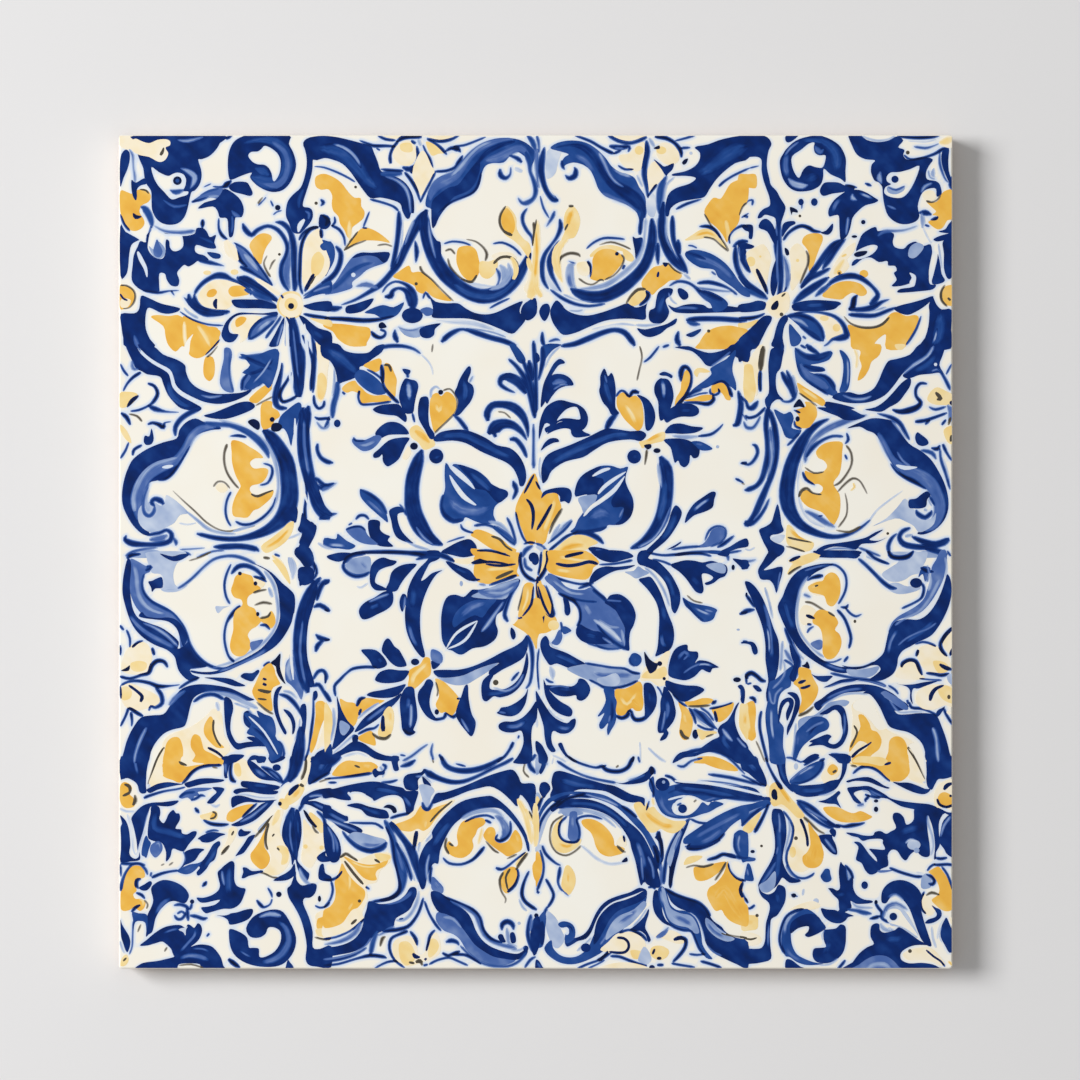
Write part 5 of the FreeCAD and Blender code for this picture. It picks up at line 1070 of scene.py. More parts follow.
# %% Right edge above the middle: bracket and yellow lobes
painting.append("""
nf 111.5 109.2, 112.6 109.8, 113.6 111, 114.3 112.3, 111.5 112.3
cf 112.2 109.2, 113.6 110, 115 112, 116 112, 115.2 109, 115 106, 114.6 103
ef 112.5 108.4, 113.2 108.8, 114 108.4, 114.3 106.5, 114.6 104.4, 114.2 102.4, 113.4 101.8, 112.6 102.6,
112.3 104.6, 112.4 106.8
os 116 112 .8, 115.6 109.5 .9, 115.4 107.5 .8
ks 115.4 107.6 .7, 115.3 105.6 .6, 115.4 103.8
ns 111.8 103 .5, 112.8 102, 113.2 101 .7, 114 100.9 1, 114.7 101.7 .8, 115 102.2 .5
ks 112.7 99.6 .4, 113.3 99.1 .5, 114.6 99.4, 115.6 100.2, 116.3 101
bs 112.4 98.5 .3, 112.9 97.4 .6, 114 97.3, 114.8 98.2 .5, 115.4 99.4 .4
nf 117.3 111.4, 118.2 111.8, 119.6 111.6, 119.4 110, 119 108, 118.3 107, 118.2 105, 118.6 103.4,
119.6 102.3, 118.4 102.4, 117.4 101.6, 117 100.4, 116.4 101.2, 116.2 102.4, 116.9 103.6, 116.9 106,
116.8 108.4, 117 110.2
ns 119.3 112.4 .8, 119.4 111.2 .6
ns 120.1 107.7 .4, 120.8 106 .8, 121.5 104.4 .9, 121.5 102.9 .7, 120.8 102.1 .5, 119.8 102 .4, 119 102.4
ns 119.2 107.4 .9, 120 105.8, 120.9 104.2 .8, 121.2 102.8 .6
ls 121.2 106.8 .6, 121.7 105 .5, 121.9 103.4 .3
ns 116.8 101 .9, 116.4 98, 116.6 95 .8, 116.7 92.4 1, 116.2 89.8, 115.6 88 .9, 114.6 86.8 .8,
113.2 86.2 .9, 112.5 86.1 .5
ms 117.2 97.5 .7, 117.4 94 .8, 117.2 90.5 .6, 116.6 88 .4
ls 117.2 95 .3, 117.5 92 .4, 117 89 .3
ns 117 100.6 .8, 117.9 97.8 1, 118.3 94.6, 118.2 91.8 .9, 117.6 89.2, 116.6 86.8 1, 115.4 84 1.2,
114.2 81.4 1, 113 79.9, 112.5 80.3 .6
ls 114.2 80.6 .4, 115.6 82.4, 116.6 84.4
ns 112.6 80.6 .6, 113.6 80 .8, 115 81 .6, 116.3 82.9 .5, 117 84.6 .3
ns 113.9 94.3 .4, 114.6 94 .6, 114.9 92.8, 114.2 91.4, 113.2 90.7 .5, 112 91.1 .4
os 112 87.4 .4, 112.6 87.1 .3
nf 118.5 83.6, 119 81.6, 119.2 80, 119.6 78.8, 118.6 78.2, 117.4 78, 117.2 77.3, 118.2 76.6, 119.6 76,
119.6 75, 118.4 74, 116.4 74, 116.8 75, 116 76.6, 115.4 78, 115.2 79, 116.4 79.6, 117.4 80.4, 117.9 82
pf 117.3 77.4, 118.6 78, 119.8 78, 119.2 76.8, 118.2 76.6
kf 112 76.5, 112.6 77.2, 113 76.9, 112.6 76.2, 112 75.9
gs 112.6 75.6 .3, 113.4 75.3, 114.4 75.8
bf 117.8 100.6, 119.6 99.8, 120.8 100.2, 121.4 99, 121 97.4, 122 97, 122.8 96.8, 121.8 95.4, 120 95.6,
119.2 97.4
ns 127.8 98.9 .4, 126 98.1 .9, 124.2 96.6 1.4, 122.6 94.2 2, 121.2 91.2 2.4, 120.4 88 2.6, 120.1 85 2.7,
120.8 82.2 2.4, 122.6 79.9 1.7, 125.4 78.4 1.2, 128.4 77.7 .8, 131 78.1 .7, 133.4 79.3 .5, 135.2 80.8 .3
ns 120.2 94.1 .4, 121.2 95 .5, 122.4 96.4 .4
ps 122.8 91.4 .6, 122.2 88.8, 122.2 86 .5, 122.8 82.8, 124.4 80.6 .6, 127 79.4 .5
ms 123.4 91 .6, 123.8 93.4 1, 125.4 95.6 1.1, 127.6 97.2 1.2, 130.4 98.4 1.1, 133 99.2 .8, 134.6 99.6 .4
ns 123.6 92 .5, 124.8 93.7 .7, 126.4 95 .6, 128.4 95.8 .5, 130.3 95.7
nf 125.6 100.9, 127 101, 128.5 100.9, 130 101, 131.8 100.6, 133.4 99.8, 134.3 99.4, 132.6 98.7,
130.6 98.7, 129.2 99.4, 127.6 100
nf 126.9 101.2, 127.2 102, 128.8 101.8, 130.6 101.4, 132.4 100.8, 130.5 100.5, 128.5 100.6
yf 121.7 100.4, 122.6 100.8, 123.6 101.2, 123.4 102, 124.6 101.8, 125.4 101, 125.6 99.6, 125 98.4,
124.2 97.4, 123.2 97.2, 122.2 97.4, 121.6 98.2, 122.4 99.2
kd 122.1 98.9 .4 .5
ks 121.4 100.5 .3, 122.6 100 .4
ks 121.5 98.6 .3, 121.7 97.6 .4, 122.8 97.1
kf 121.3 101, 122 102.2, 122.6 102.4, 123.4 101, 122.4 101.1
yf 122 105.4, 123.4 104.6, 125 103.6, 127 102.2, 126.6 101.2, 125.4 101.8, 123.8 102.4, 122.6 103.4
ew 122.6 104.6 .6, 124.4 103.4 .9, 126 102.2 .6
os 122.3 103.6 .3, 124 102.4, 125.6 101.2
bf 121.6 111.8, 123 110.4, 125.5 109.8, 128.3 111, 127.8 109.6, 126 108.9, 124.4 108.6, 126.6 108.2,
127 107.5, 125.2 107.3, 124 107.4, 126 106.8, 128 106.2, 128.6 104.6, 129.3 103.6, 128.6 103, 127 103.6,
125 104.6, 123.4 105.8, 122.4 107, 121.8 109
ms 122.6 108.8 .6, 124 106.8 1.2, 126 105.4 1.4, 127.6 104.4 1
ns 121.8 111.6 .6, 123.4 110.3 .9, 125.8 110 1.2, 128.2 111 .7
ns 123 108.6 .5, 125 107.9 .8, 126.8 107.6 .5
ns 125 107 .3, 127 106.6 .6, 128.3 105.3 .8, 128.8 104 .6
ns 123.6 106 .4, 125.6 104.6 .5, 127.6 103.2 .4
ns 123.6 112.3 .9, 124.6 111.4, 126 110.6 .6
bf 129.6 111.2, 130.4 111, 131.4 109.6, 131.6 107.4, 131.4 105, 130.8 103.8, 129.6 103.8, 130 105.4,
130.3 107.6, 130.2 109.4
lw 131 110 .5, 131.2 107.5 .6, 131 104.6 .5
yf 132.4 112.3, 134 112.3, 137 112.3, 136.8 110.4, 135.4 109.2, 134.9 107.8, 134 106.4, 132.9 105.8,
133.2 107.2, 133.6 108.4, 133.2 109.8, 133.4 111
es 132.3 111.5 .6, 132.8 110 .5, 132.6 108
ef 139.6 112.3, 141.4 112.3, 141 111.4, 140 111.4
nf 128.3 102.7, 129.4 103.6, 130.6 103.7, 131.6 103.7, 133.1 103.3, 134.5 103.6, 135.8 104.4,
136.7 105.9, 137.4 107.6, 138.4 109.3, 139.9 109.7, 142.3 110.5, 144 112.3, 146.4 112.3, 145.6 110.6,
144.5 109.5, 142.5 108.3, 140.8 106.8, 139.4 104.9, 137.7 103.1, 135.3 102, 132.8 101.7, 130.4 101.9
ls 130.2 103.2 .3, 132 102.5 .5, 134 102.5, 135.4 103 .3
nf 134.2 100.6, 136 101, 137.6 102, 139.2 103.6, 140.8 105.4, 142.3 106.3, 142.4 105, 141.4 103.4,
140.2 101.9, 138.6 101, 137.2 100.2, 135.6 100.3
nf 141 106.8, 142.4 108, 144.4 109.2, 146 110.6, 146.8 112.3, 148.6 112.3, 148.2 110.4, 147.6 108.6,
148.4 107, 147.4 107.2, 146 107, 144 106.8, 142.6 106.3, 141.6 106.2
bw 143 107.4 .8, 145.4 108.6 1.2, 147 110.4 .8
ls 141 106.9 .4, 143 108.6 .6, 145.4 110.2, 146.6 112 .5
wd 146.9 108.7 .3
ls 146.2 107.5 .3, 147.4 107.8, 148.2 106.8
ks 149.8 108.8 .3, 148.8 106.9 .4
ns 147 108.4 .4, 148.2 106.8 .5, 149.2 104.9 .6, 149.5 104 .4
ef 145.4 102.4, 146 103.8, 147.2 104.6, 148.6 104, 150 103.2, 150 101.6, 148 101.4, 146.4 101.6
os 146.9 103.7 .5, 147.8 102.6 .6, 147.1 102.4 .4
ks 145.4 105.2 .4, 144.2 105.3 .5, 143.4 104.4, 143.4 103, 144.2 101.9 .7, 143.6 101 1, 142 100.4 1.1,
140.4 100.2 .8, 139.1 100.6 .5
ns 145.7 101.1 .3, 146.9 100.6 .5, 148.8 101.1 .4
ms 149 101.4 .7, 149.8 100.2 1.2, 149.4 98.4 .8
kd 149.8 101.8 .4
ks 143.2 98.4 .7, 144.9 98.6 .6, 146.8 99.2 .5, 149 100 .4
ks 145 97.9 .5, 145.9 98.7
ks 148 97.8 .5, 148.8 98.8 .4
os 149.2 97.8 .4, 149.6 99.2
ef 148.4 97, 150 97.6, 150 94.6, 149.2 94.6, 148.6 95.6
os 149.8 96 .5, 149.6 94.8 .4
nf 143.2 95.6, 143.6 96.5, 144.3 96.1, 145.4 95.2, 145.6 94.4, 144.6 94, 143.6 94.4
bw 143.8 95.6 .6, 144.6 94.8 .8
ks 146.1 93.7 .5, 147.2 93.5 .7, 147.7 94.2 .5
ks 148.2 94.4 .7, 148.8 93 .5, 149.8 91.4 .4
ns 147.7 93.6 .4, 147.9 91.4 .5, 148.8 88.8, 149.5 86.2 .4
ls 148.1 92 .4, 148.8 90, 149.4 87.6
nf 131 97.2, 132.6 98, 135.3 99, 137.7 98.9, 139.4 98.4, 140.4 96.9, 142.1 94.5, 144.2 93.2, 145.9 91.8,
147.1 90.1, 148.4 87.6, 149.1 85.2, 149.2 82.8, 148.4 80.6, 146.7 78.9, 144.7 78.1, 143.6 78.4,
145.6 79.6, 146.6 81.4, 147 83.5, 146.6 85.6, 145.4 86.2, 143.3 87.4, 141.1 88.6, 140 89.8, 138.9 91.1,
138.2 92.5, 137.2 94.5, 136 96.2, 134.6 96.8, 133.2 97.5
ms 136.6 96.4 .8, 137.8 94 1, 139.2 91.6, 141.2 89.9 1.6, 143.6 89 2, 145.8 87.4 2.4, 147.2 85 2.2,
147.6 82.4 2, 146.6 80 1.6, 145 78.8 .8
ls 140 93 .3, 141 91.4 .4, 142.4 90.4
ws 139.8 90.6 .3, 141.4 90.1 .6, 143.6 90.2 .2
ks 138.8 90.9 .3, 140 89.4 .5, 141.8 88.1, 143.8 87.1, 145.2 86.3 .4
ns 136.4 99.9 .3, 138.8 99.2 .7, 140.4 98.2 .8, 141.4 96.6 .6, 142.2 95.1 .4
ls 139 98.6 .4, 140.6 96.8 .5, 141.6 95.2 .3
bs 144.2 93.3 .5, 146.2 92.8 .8, 147 91.6 .5
gf 135.6 79.6, 138 81, 140 83, 141.4 84.6, 142.4 83.2, 143.6 82, 144.6 81, 146.2 81, 147 82, 146.6 80,
145 78.8, 143.8 78.6, 143 79.6, 141.6 80.4, 139.6 81
nf 142 83.6, 142.2 84.4, 143.4 84.6, 144.4 85.4, 145.4 85.9, 146 85.2, 145.4 84.4, 145.2 83.2,
144.2 82.8, 143 82.8, 142.2 82.9
ls 144.8 82.6 1, 145.4 82.4 .6
ns 143.4 82.6 .5, 143.8 81.8 .8, 145 81.2, 146 81.9 .7, 146.2 82.5 .4
ns 145.8 85 .5, 146.8 83.3 .4
ls 145.5 84.6 .3, 146.2 83.2
gs 134.8 80.3 .35, 136.2 82.3 .3, 138.2 84, 141 86 .2
ns 142.4 79.3 .6, 141 78.7 .8, 140.4 77.6, 141.2 76.4 1, 143.4 75.9, 146 75.9 .9, 148.4 76.6 1,
149.4 77.2 .8
ls 141.4 77.8 1, 142.8 78 .6
ns 142.6 77.8 .5, 144.8 76.8 1, 147 76.5 .9, 149.4 77.4 .7
ns 138.6 74.6 .6, 138.4 76 .7, 139 77.4 .6, 140 78.3 .3
lf 142.8 74, 144 75, 146 75.2, 147.6 74.6, 147.8 74
ns 142.4 74.2 .4, 143.4 75 .3
ns 145 75.6 .7, 147 75.2 1, 149 74.4
od 138.3 78.3 .25
nf 125.4 75.2, 127 76.2, 129.4 76.6, 132 77, 134.4 77.6, 136 78.5, 137.5 79, 136 77.9, 135 77.2,
136.6 77, 138.2 77.6, 136 76.6, 133.6 76.4, 132.6 75.4, 130.6 75.8, 128.4 75.9, 126.6 75.2, 125.8 74.4
ms 126 74.8 .4, 128.6 75.6, 131.4 75.5, 132.8 75 .3
nf 126 74, 127.4 74.8, 129.8 75, 132.6 75, 132.8 74
bs 133 75.8 .4, 135 75 .5, 137 74.2 .4
ef 120.2 79.8, 121.2 79.4, 122.2 78, 123.6 77.2, 125 76.6, 124.6 75.4, 123.2 75, 121.6 75.4, 120.4 76.2,
120 77.4
yw 120.6 79.2 .8, 122 77.9 1, 123.8 77 .7
os 120.3 77.6 .3, 122 77.2, 124.6 76.7 .2
os 120 76 .3, 121.6 75.6, 123.4 75
yf 125.4 93, 126.4 94.2, 128 94.8, 130.1 94.7, 130.1 93, 130 91, 129.6 89, 128.6 87.6, 128.8 86.6,
129.6 85.4, 129.8 83.6, 129.6 81.8, 129 80.4, 128.4 79.8, 127.6 80.8, 126.6 82, 125.2 82.6, 123.8 83.2,
122.6 84.6, 123 86, 124 86.1, 125.4 85.4, 126.4 85.8, 126.6 86.6, 125.8 87.2, 124.6 87.2, 123.6 88.2,
123.4 89.6, 124.6 89.2, 126.6 89.4, 127.4 90.4, 126.8 91.4, 125.8 91.9
ms 123.4 82.4 .5, 125.4 81.4 .9, 127.2 80.2, 128.8 79.4 .5
ks 125.8 81.4 .3, 126.6 81.5
ks 123 89.4 .4, 123.6 88 .5, 125.2 87 .3
os 123.4 90.2 .3, 125 89.2, 126.8 89.4
os 122.3 84.8 .3, 122.8 86 .5, 123.8 86.4, 124.8 85.6 .3, 126.4 85.3
ks 130.9 96.4 .3, 131.2 95.2 .5, 130.6 94.4 .3
os 130.8 94.2 .4, 131.7 92.8, 131.8 90.8, 130.8 88.8, 129.6 87.4, 128.6 86.9 .3
ks 130.6 92.5 .4, 131 91.6
os 129.3 85.8 .3, 130.6 87.2 .4, 132 88.2, 133.2 87.8 .3, 134 86.6, 134.6 85.4 .2
ys 132.1 87.4 .4, 132.3 86.6, 131.6 86 .3
os 130.6 85.6 .2, 131 83.6 .3, 130.8 81.4, 129.4 79.4 .4
os 129 78.9 .3, 131.4 78.6 .4, 133.4 79.6
""")

# %% Above right of the centre: flower stem and big leaf
painting.append("""
bf 76.6 112.3, 79.6 112.3, 78.2 111.4, 77 110, 76 107.8, 75.4 106, 75.8 108.4, 76.2 110.4
ns 76.2 112 .8, 76.3 109.6 .9, 75.9 107.4 .6, 75.5 105.8 .3
ls 79.4 112 .3, 77.6 110.2 .4, 76.6 108 .3
nf 75 110.8, 75.6 110.4, 75.7 109.4, 75 109
nf 80 109.4, 79.2 109.7, 78.2 108.8, 77.2 107, 76.4 105.2, 76 103, 75.9 101, 76.6 101.8, 77.4 103.4,
78.2 105.2, 77.8 106.4, 78.4 107.6, 79.2 108.6, 80.2 108.9
nf 77.8 106.6, 78.6 107, 80 106.9, 81.2 106.2, 81.8 105, 80.4 104.8, 79 104.2, 77.8 102.8, 77 101.6,
76.6 103, 77.2 105
ms 78 105.2 .8, 79.2 105.6 1, 80.6 105.4 .5
ls 78.2 104.2 .3, 79.6 105, 80.8 105
nf 75.6 95.2, 75.6 97.6, 76 99.4, 76.8 101, 78.2 102, 79.6 102.3, 81.2 101.9, 82.6 101.5, 83.8 100.6,
84.4 99.2, 84.2 97.8, 83.4 96.9, 82.6 97.2, 82 98, 80.4 98.4, 79.2 98.4, 78 97.4, 77 96.4, 76.6 97.2,
77.6 97.8, 76.6 98
wf 78.8 98.6, 79.6 99.8, 80.8 100.8, 82.4 101, 83 99.4, 82.8 98.8, 81.2 99, 79.8 99
nf 82.6 98.6, 83.8 98, 83.4 96.8, 84.9 96, 83.2 95.6, 82 95.6, 81.4 96.2, 81.2 97, 80 97.2, 78.4 96.8,
77 96.2, 78.6 98, 80.6 98.6
nf 75.9 93.2, 76.6 94.6, 77.6 95.4, 78.8 95.4, 79.2 94.8, 78.2 94.6, 77 94
nf 76.2 87.4, 76 90, 76.7 92, 78.2 93.1, 81.1 94.2, 84.5 95.7, 87.4 97.1, 89.3 97.1, 92 96.7, 93.9 96.8,
94.9 96, 93.9 94.9, 92 95.2, 88.1 94.7, 85.4 93.2, 83.5 92, 80.3 91.2, 77.9 89.6, 77.1 88
bw 78 91 1, 81 92.6 1.4, 85 94.4, 89 96 1.2, 92 96 .8
ls 75.8 92 .3, 75.6 90, 76 88 .4
ns 87.6 97 1.2, 88.6 98.8 1, 89.8 100 .7
nf 87.2 107.9, 87.6 107.6, 88 106.6, 88.6 107.2, 89.1 106.2, 89.4 104, 89.3 102, 89.4 100.8, 90 99.9,
88.7 99.6, 88 100.8, 87 102, 86.4 103.8, 86.6 105, 86.6 106.6
bw 87.4 106 .8, 87.8 104 1.2, 88.6 101.6 .8
ls 87.4 106.8 .3, 87.8 105.4
yf 89.6 102.8, 90.4 103.6, 91.2 103.6, 92.2 103, 93 103.1, 93.9 102.2, 94.3 100.6, 94.4 98.6, 94 97.2,
93.2 96.8, 92.2 97.6, 91 98.8, 90.2 100, 89.6 101.2
ew 91 101.6 .8, 92.2 99.8 1, 93 98 .8
ks 89.4 102.9 .4, 90.2 103.9, 91 103.8, 91.8 103 .5, 92.5 103.8 .7, 93.6 103.6 .8
nf 93.2 103.2, 94.2 103, 95.4 102.2, 96.3 100.6, 96.5 99, 96.1 97.6, 95.4 96.8, 94.8 97, 94.6 98.6,
94.5 100.4, 94.1 102
ef 93.6 94.8, 95 95.2, 96.6 96.2, 98 96.6, 98.3 96, 98 95, 96.6 94.6, 95.2 94.2, 94.2 93.6, 93.8 94.2
yw 94.6 94.8 .8, 96.2 95.6 1, 97.8 96.2 .6
kf 94.5 94.2, 95.6 94.4, 95.8 93.8, 95.2 93.4, 94.7 93.7
os 95 93.4 .5, 94.8 91.8 .4, 94.6 90.6 .2
kd 96.8 93.2 .65 .45
nd 92.7 92.1 1.25
bw 92.4 92 .9, 92.9 92.2 1.2, 93.3 92.3 .8
nf 97.4 106.2, 97.8 106.2, 98.8 106, 99.5 104.8, 99.8 103, 99.5 101.6, 99 100.2, 98.2 99, 97.4 98.6,
97.1 100, 97 102, 96.4 103.4, 96.3 104.6, 96.7 105.6
lw 97.7 106 .8, 98 104.4 1.1, 98 102.4 .6
nf 97.2 107, 98 107.4, 98.8 107.2, 99.6 106.7, 99.4 106.2, 98.6 106.6, 97.6 106.7
yf 102.4 107.8, 103 106.8, 102.9 105.4, 102 103.4, 100.8 101.8, 100 101, 100.2 102.6, 101 104,
101.2 105.8, 101.6 107.2
nf 100 111.8, 102.4 112, 104 111.4, 106 110.8, 107.8 111, 109.4 111.6, 110.4 112.3, 113.4 112.3,
113.4 109.4, 112.4 109.2, 111.4 109.8, 110 110.4, 108.4 109.6, 106.8 108.4, 105.6 108.6, 104.6 109.8,
103.2 111, 101.6 111.4
bf 110.8 111.3, 111 110.6, 110.5 109, 110.4 107.4, 111 105.4, 111 104, 110.2 104.6, 109 105.2,
107.4 105.4, 106 104.6, 104 104, 102.6 103, 103 104, 104.2 105, 105.6 106, 106.6 107, 106.4 108,
108 109, 109.4 109.8
ls 106.4 108.2 .4, 108.4 109.6, 110 111 .3
ns 100 100.8 .5, 101.6 102.6 .6, 103.2 103.6, 105 104.2 .4
ks 101.1 105.6 .4, 101.1 107.2 .9, 101.6 108.2 .8, 102.4 108 .6, 103 106.8 .4, 102.8 104.8 .5,
101.6 102.6, 100 100.6
ns 97.8 111.8 .6, 99 112.2 .5
ef 103.4 107.2, 104 108, 105.2 108, 106.4 107.4, 105.4 107.2, 104.4 107.2, 104 106.4
yf 106.6 104.8, 107.6 105.4, 108.8 105.3, 109.6 104.6, 110 103.2, 110 102.3, 109.2 102.4, 108.6 103.4,
107.8 103.8, 106.8 103.4
ks 106.4 104.4 .3, 106.4 103.6 .4, 107.2 103.2, 108 103.7, 107.8 104.4 .3
ks 106.6 105 .3, 108.4 105.7 .4, 109.6 104.8 .5, 110.3 102.8 .7
yf 101.6 102.2, 103.2 102.6, 105 103.2, 106.6 103.2, 107 102.6, 106 102.2, 104 102
ks 101.6 101.9 .3, 104 101.8 .5, 106 101.6 .7, 107 102.4 .6, 106.8 103.2 .4
ks 102 102.6 .2, 104.4 103.4 .3, 106 103.6
nf 99.4 100.9, 101 101.7, 103 101.6, 104.2 100.9, 104.3 99.9, 103.2 99.3, 101.2 99.3, 99.6 98.8,
98.6 98.2, 98 99, 98.4 100
bw 101 100.5 1, 103 100.4
nf 98.2 96.4, 99.2 97.8, 101 98.1, 103 97.6, 104.9 97.4, 104.9 97, 103.6 96.4, 101.5 96.2, 99.8 96.3
ls 99.5 95.9 .4, 102 95.6 .8, 104.6 95.8 .3
ks 104.2 95.8 .4, 106.4 96.1 .5, 107.8 97 .4, 108.7 98 .2
nf 98 95.1, 99.6 95.4, 101.6 95.3, 103 94.8, 104.4 93.8, 104.3 92.2, 103.4 91.8, 102.8 92.4, 102.6 91,
101.8 90.2, 101 90.6, 100.6 91.4, 100 91, 99.6 92.4, 99.2 93.8
bf 103 94.8, 104.4 94.9, 106 94.2, 106.8 93.5, 105.8 93.2, 104.6 93.3, 103.8 94
lw 103.6 94.5 .6, 105.2 94.2 .6
gd 107.7 93.9 .3
ns 97.4 92.2 1.2, 98.4 90 2.2, 98.6 87 2.3, 98.3 84 2.4, 97.6 81, 96.2 78.6 2, 94.2 76.6 1.4, 92 75.6 .6
bw 98.2 88 1.2, 98 84 1.6, 97 80.4 1.4
ls 97 91 .5, 97.3 88.6 .7, 97.6 86.4 .4
nf 100.2 83.4, 101.2 82.4, 101.1 81.2, 100.2 79.4, 98.8 77.4, 97 75.8, 95 74.4, 93.6 74, 95.6 76,
97.6 78, 98.8 80.2, 99.4 82.2
bw 100.2 82 .8, 99.4 79.6 1.2, 97.6 77 1
ls 99.2 83 .3, 97.8 79.6 .4, 96 77.2 .5, 93.4 75.8
nf 101.8 80.2, 102.2 81.8, 103.4 83.6, 105 84.8, 106.6 85.8, 107.4 85.6, 107.1 84.4, 106.8 83,
105.4 82.2, 103.6 81.6, 102.6 80.8
lw 103.2 82.2 .7, 104.8 83.6 .8, 106.4 84.6 .6
nf 98.6 75.4, 100 76.2, 101.4 77, 103 77.4, 104.6 78.2, 105.4 79.4, 106 80.4, 107.2 80.7, 106.6 81,
105 80.8, 103.8 79.8, 102.6 78.6, 101 77.6, 99.8 77.2, 101.2 76.8, 100 75.8
mf 103.2 75.8, 105 76.4, 106 77.6, 106.6 78.8, 107.8 79.4, 108.9 79, 109 78, 108.2 77, 107 76.2,
105.4 75.8
ns 105.4 77 .3, 106.2 78.8 .4, 107.6 79.6, 109 79.2, 109.1 77.8, 108 76.6, 106.4 75.9 .3
ns 99.4 75.4 .4, 102 75.8 .5, 104.6 76 .4
ns 107.6 75.8 .5, 109 76.6 .7, 110.7 77.9 .4
nf 108 75, 110 76, 111.6 77, 113 77.4, 113.2 76, 111.4 75.6, 109.6 75
ns 100 74.4 .5, 103 74.9, 106 75, 109 74.8, 112 75.2 .4
bf 91.6 90.3, 90.2 90, 88.5 90.5, 86.4 90.4, 84.4 89.4, 82.8 88, 82.1 86.2, 82.2 84.9, 83 85.3,
84.2 85.3, 84.4 84, 83.6 82.2, 82.6 80.8, 82 79.4, 81.2 78.6, 82.6 78.4, 84.4 78.6, 86.4 78.6,
87.6 79.2, 88 79.8, 89.2 79.8, 90.6 80.2, 92 81.4, 92.5 83, 92.4 84.6, 91.8 86, 91.2 87.4, 91.2 88.8
mw 84.6 81 1.6, 86.6 82 2.4, 88.2 81.6 1.8
nf 82.1 85, 82.2 86.8, 83 88.4, 84.6 89.6, 86.8 90.4, 85.6 88.6, 87 88.2, 87.2 87.2, 86.6 86, 86 85.2,
84 85.3
nf 91.4 89.6, 91.1 88, 91.6 86.4, 92.4 84.8, 92.6 83, 92 81.2, 90.6 80, 89.2 79.9, 90.4 81, 90.8 83,
89 83, 88.6 84.2, 89.6 86, 90.6 88
ns 82 78.9 .5, 84 78.6 .7, 86.6 79.1 .6, 87.8 79.5 .4
lf 82.6 84.6, 84.4 85.2, 86 85.2, 85.6 83.8, 84.6 82.6, 83.8 81.6, 83.2 83
ws 85.2 88.6 .3, 87 89.6 .5, 88.4 90 .3
ws 91.2 89.4 .2, 89 88 .5, 87.2 86.6, 86.2 85.4 .3
ws 91 88.6 .2, 89.2 86.2 .6, 87 84.4, 85 83 .5, 83.6 81.4 .3
ls 90.8 82.8 .3, 90 81.2 .4
ns 81.6 78.2 .4, 84 78.4 .8, 86 77.6 .9, 87.2 76.4 .5
yf 75 88, 75.6 87, 76.2 85.6, 77.4 85.5, 78.8 85.6, 79.2 84.4, 79.6 83.2, 79.4 82.4, 78.4 80.6, 77.4 79,
77 77.6, 76.6 76.6, 75 76.6
ew 78.6 84.6 .8, 77.6 81.6 1, 76.4 78.6
ks 77.9 83.6 .4, 76.6 81.2 .5, 75.2 78.9 .4
os 79.8 82.8 .5, 78.2 80.2, 77.4 78.2 .3
nf 76 84.6, 76.4 85.8, 78 86.4, 80 86.6, 81.2 86.2, 81.5 85, 81 83.7, 80.2 84.1, 79.4 84, 79.3 85,
78.4 85.6, 77 85.4
ks 75 87.7 .3, 75.8 86.2 .4
ls 79.4 80 .6, 78.6 78.6 .8, 77.6 77 .4
ms 81.5 80.8 .4, 80.2 79.4 1, 79 78 .6, 77.6 76.8 .3
ns 81.6 80.6 .3, 80 78.8 .4, 77.2 76.5
ef 77.6 74.8, 78.8 75.8, 80.4 77.2, 82 78, 83.6 78, 85.2 77.4, 86.2 76.6, 84.8 76, 84.2 75.4, 82.4 75.2,
80.2 74.8, 78.8 74.4
yw 79 75 .9, 81.4 76 1.3, 84 76.2 .9
ks 82.6 78.6 .3, 80.6 77.8 .5, 78.6 76.2, 77.4 75.2
ks 80.4 74.5 .3, 82.4 74.8 .4, 84 74.9 .3
nf 84.4 75.6, 85.2 75.9, 86.4 75.8, 88 75.4, 90 74.6, 91 74, 86.4 74, 85.4 74.6
ls 85.8 75.3 .4, 88 74.8 .5
gs 75 76 .8, 76 75.5, 76.8 74.3
bs 75 76.5 .4, 76.4 75.9, 77.3 74.4
os 93.7 112 .3, 94.1 110, 93.6 107.6, 93.2 105.8
ks 97.2 112 .4, 95.6 110, 94.4 109.1 .3
ns 111.4 104 .5, 111.9 101.6 1, 111.6 99.2, 111.2 98, 110.4 97.7 .7
bs 112.2 99.8 .3, 113 98.6 .4
ks 110.9 88.2 .5, 112.4 87.4 .3
ks 111.8 90.9 .4, 113 91 .8
""")

# %% [markdown]
# ### Lower left quarter
# The same forms once more, turned upside down. The yellow petals keep a cream edge where the paint
# ran thin.

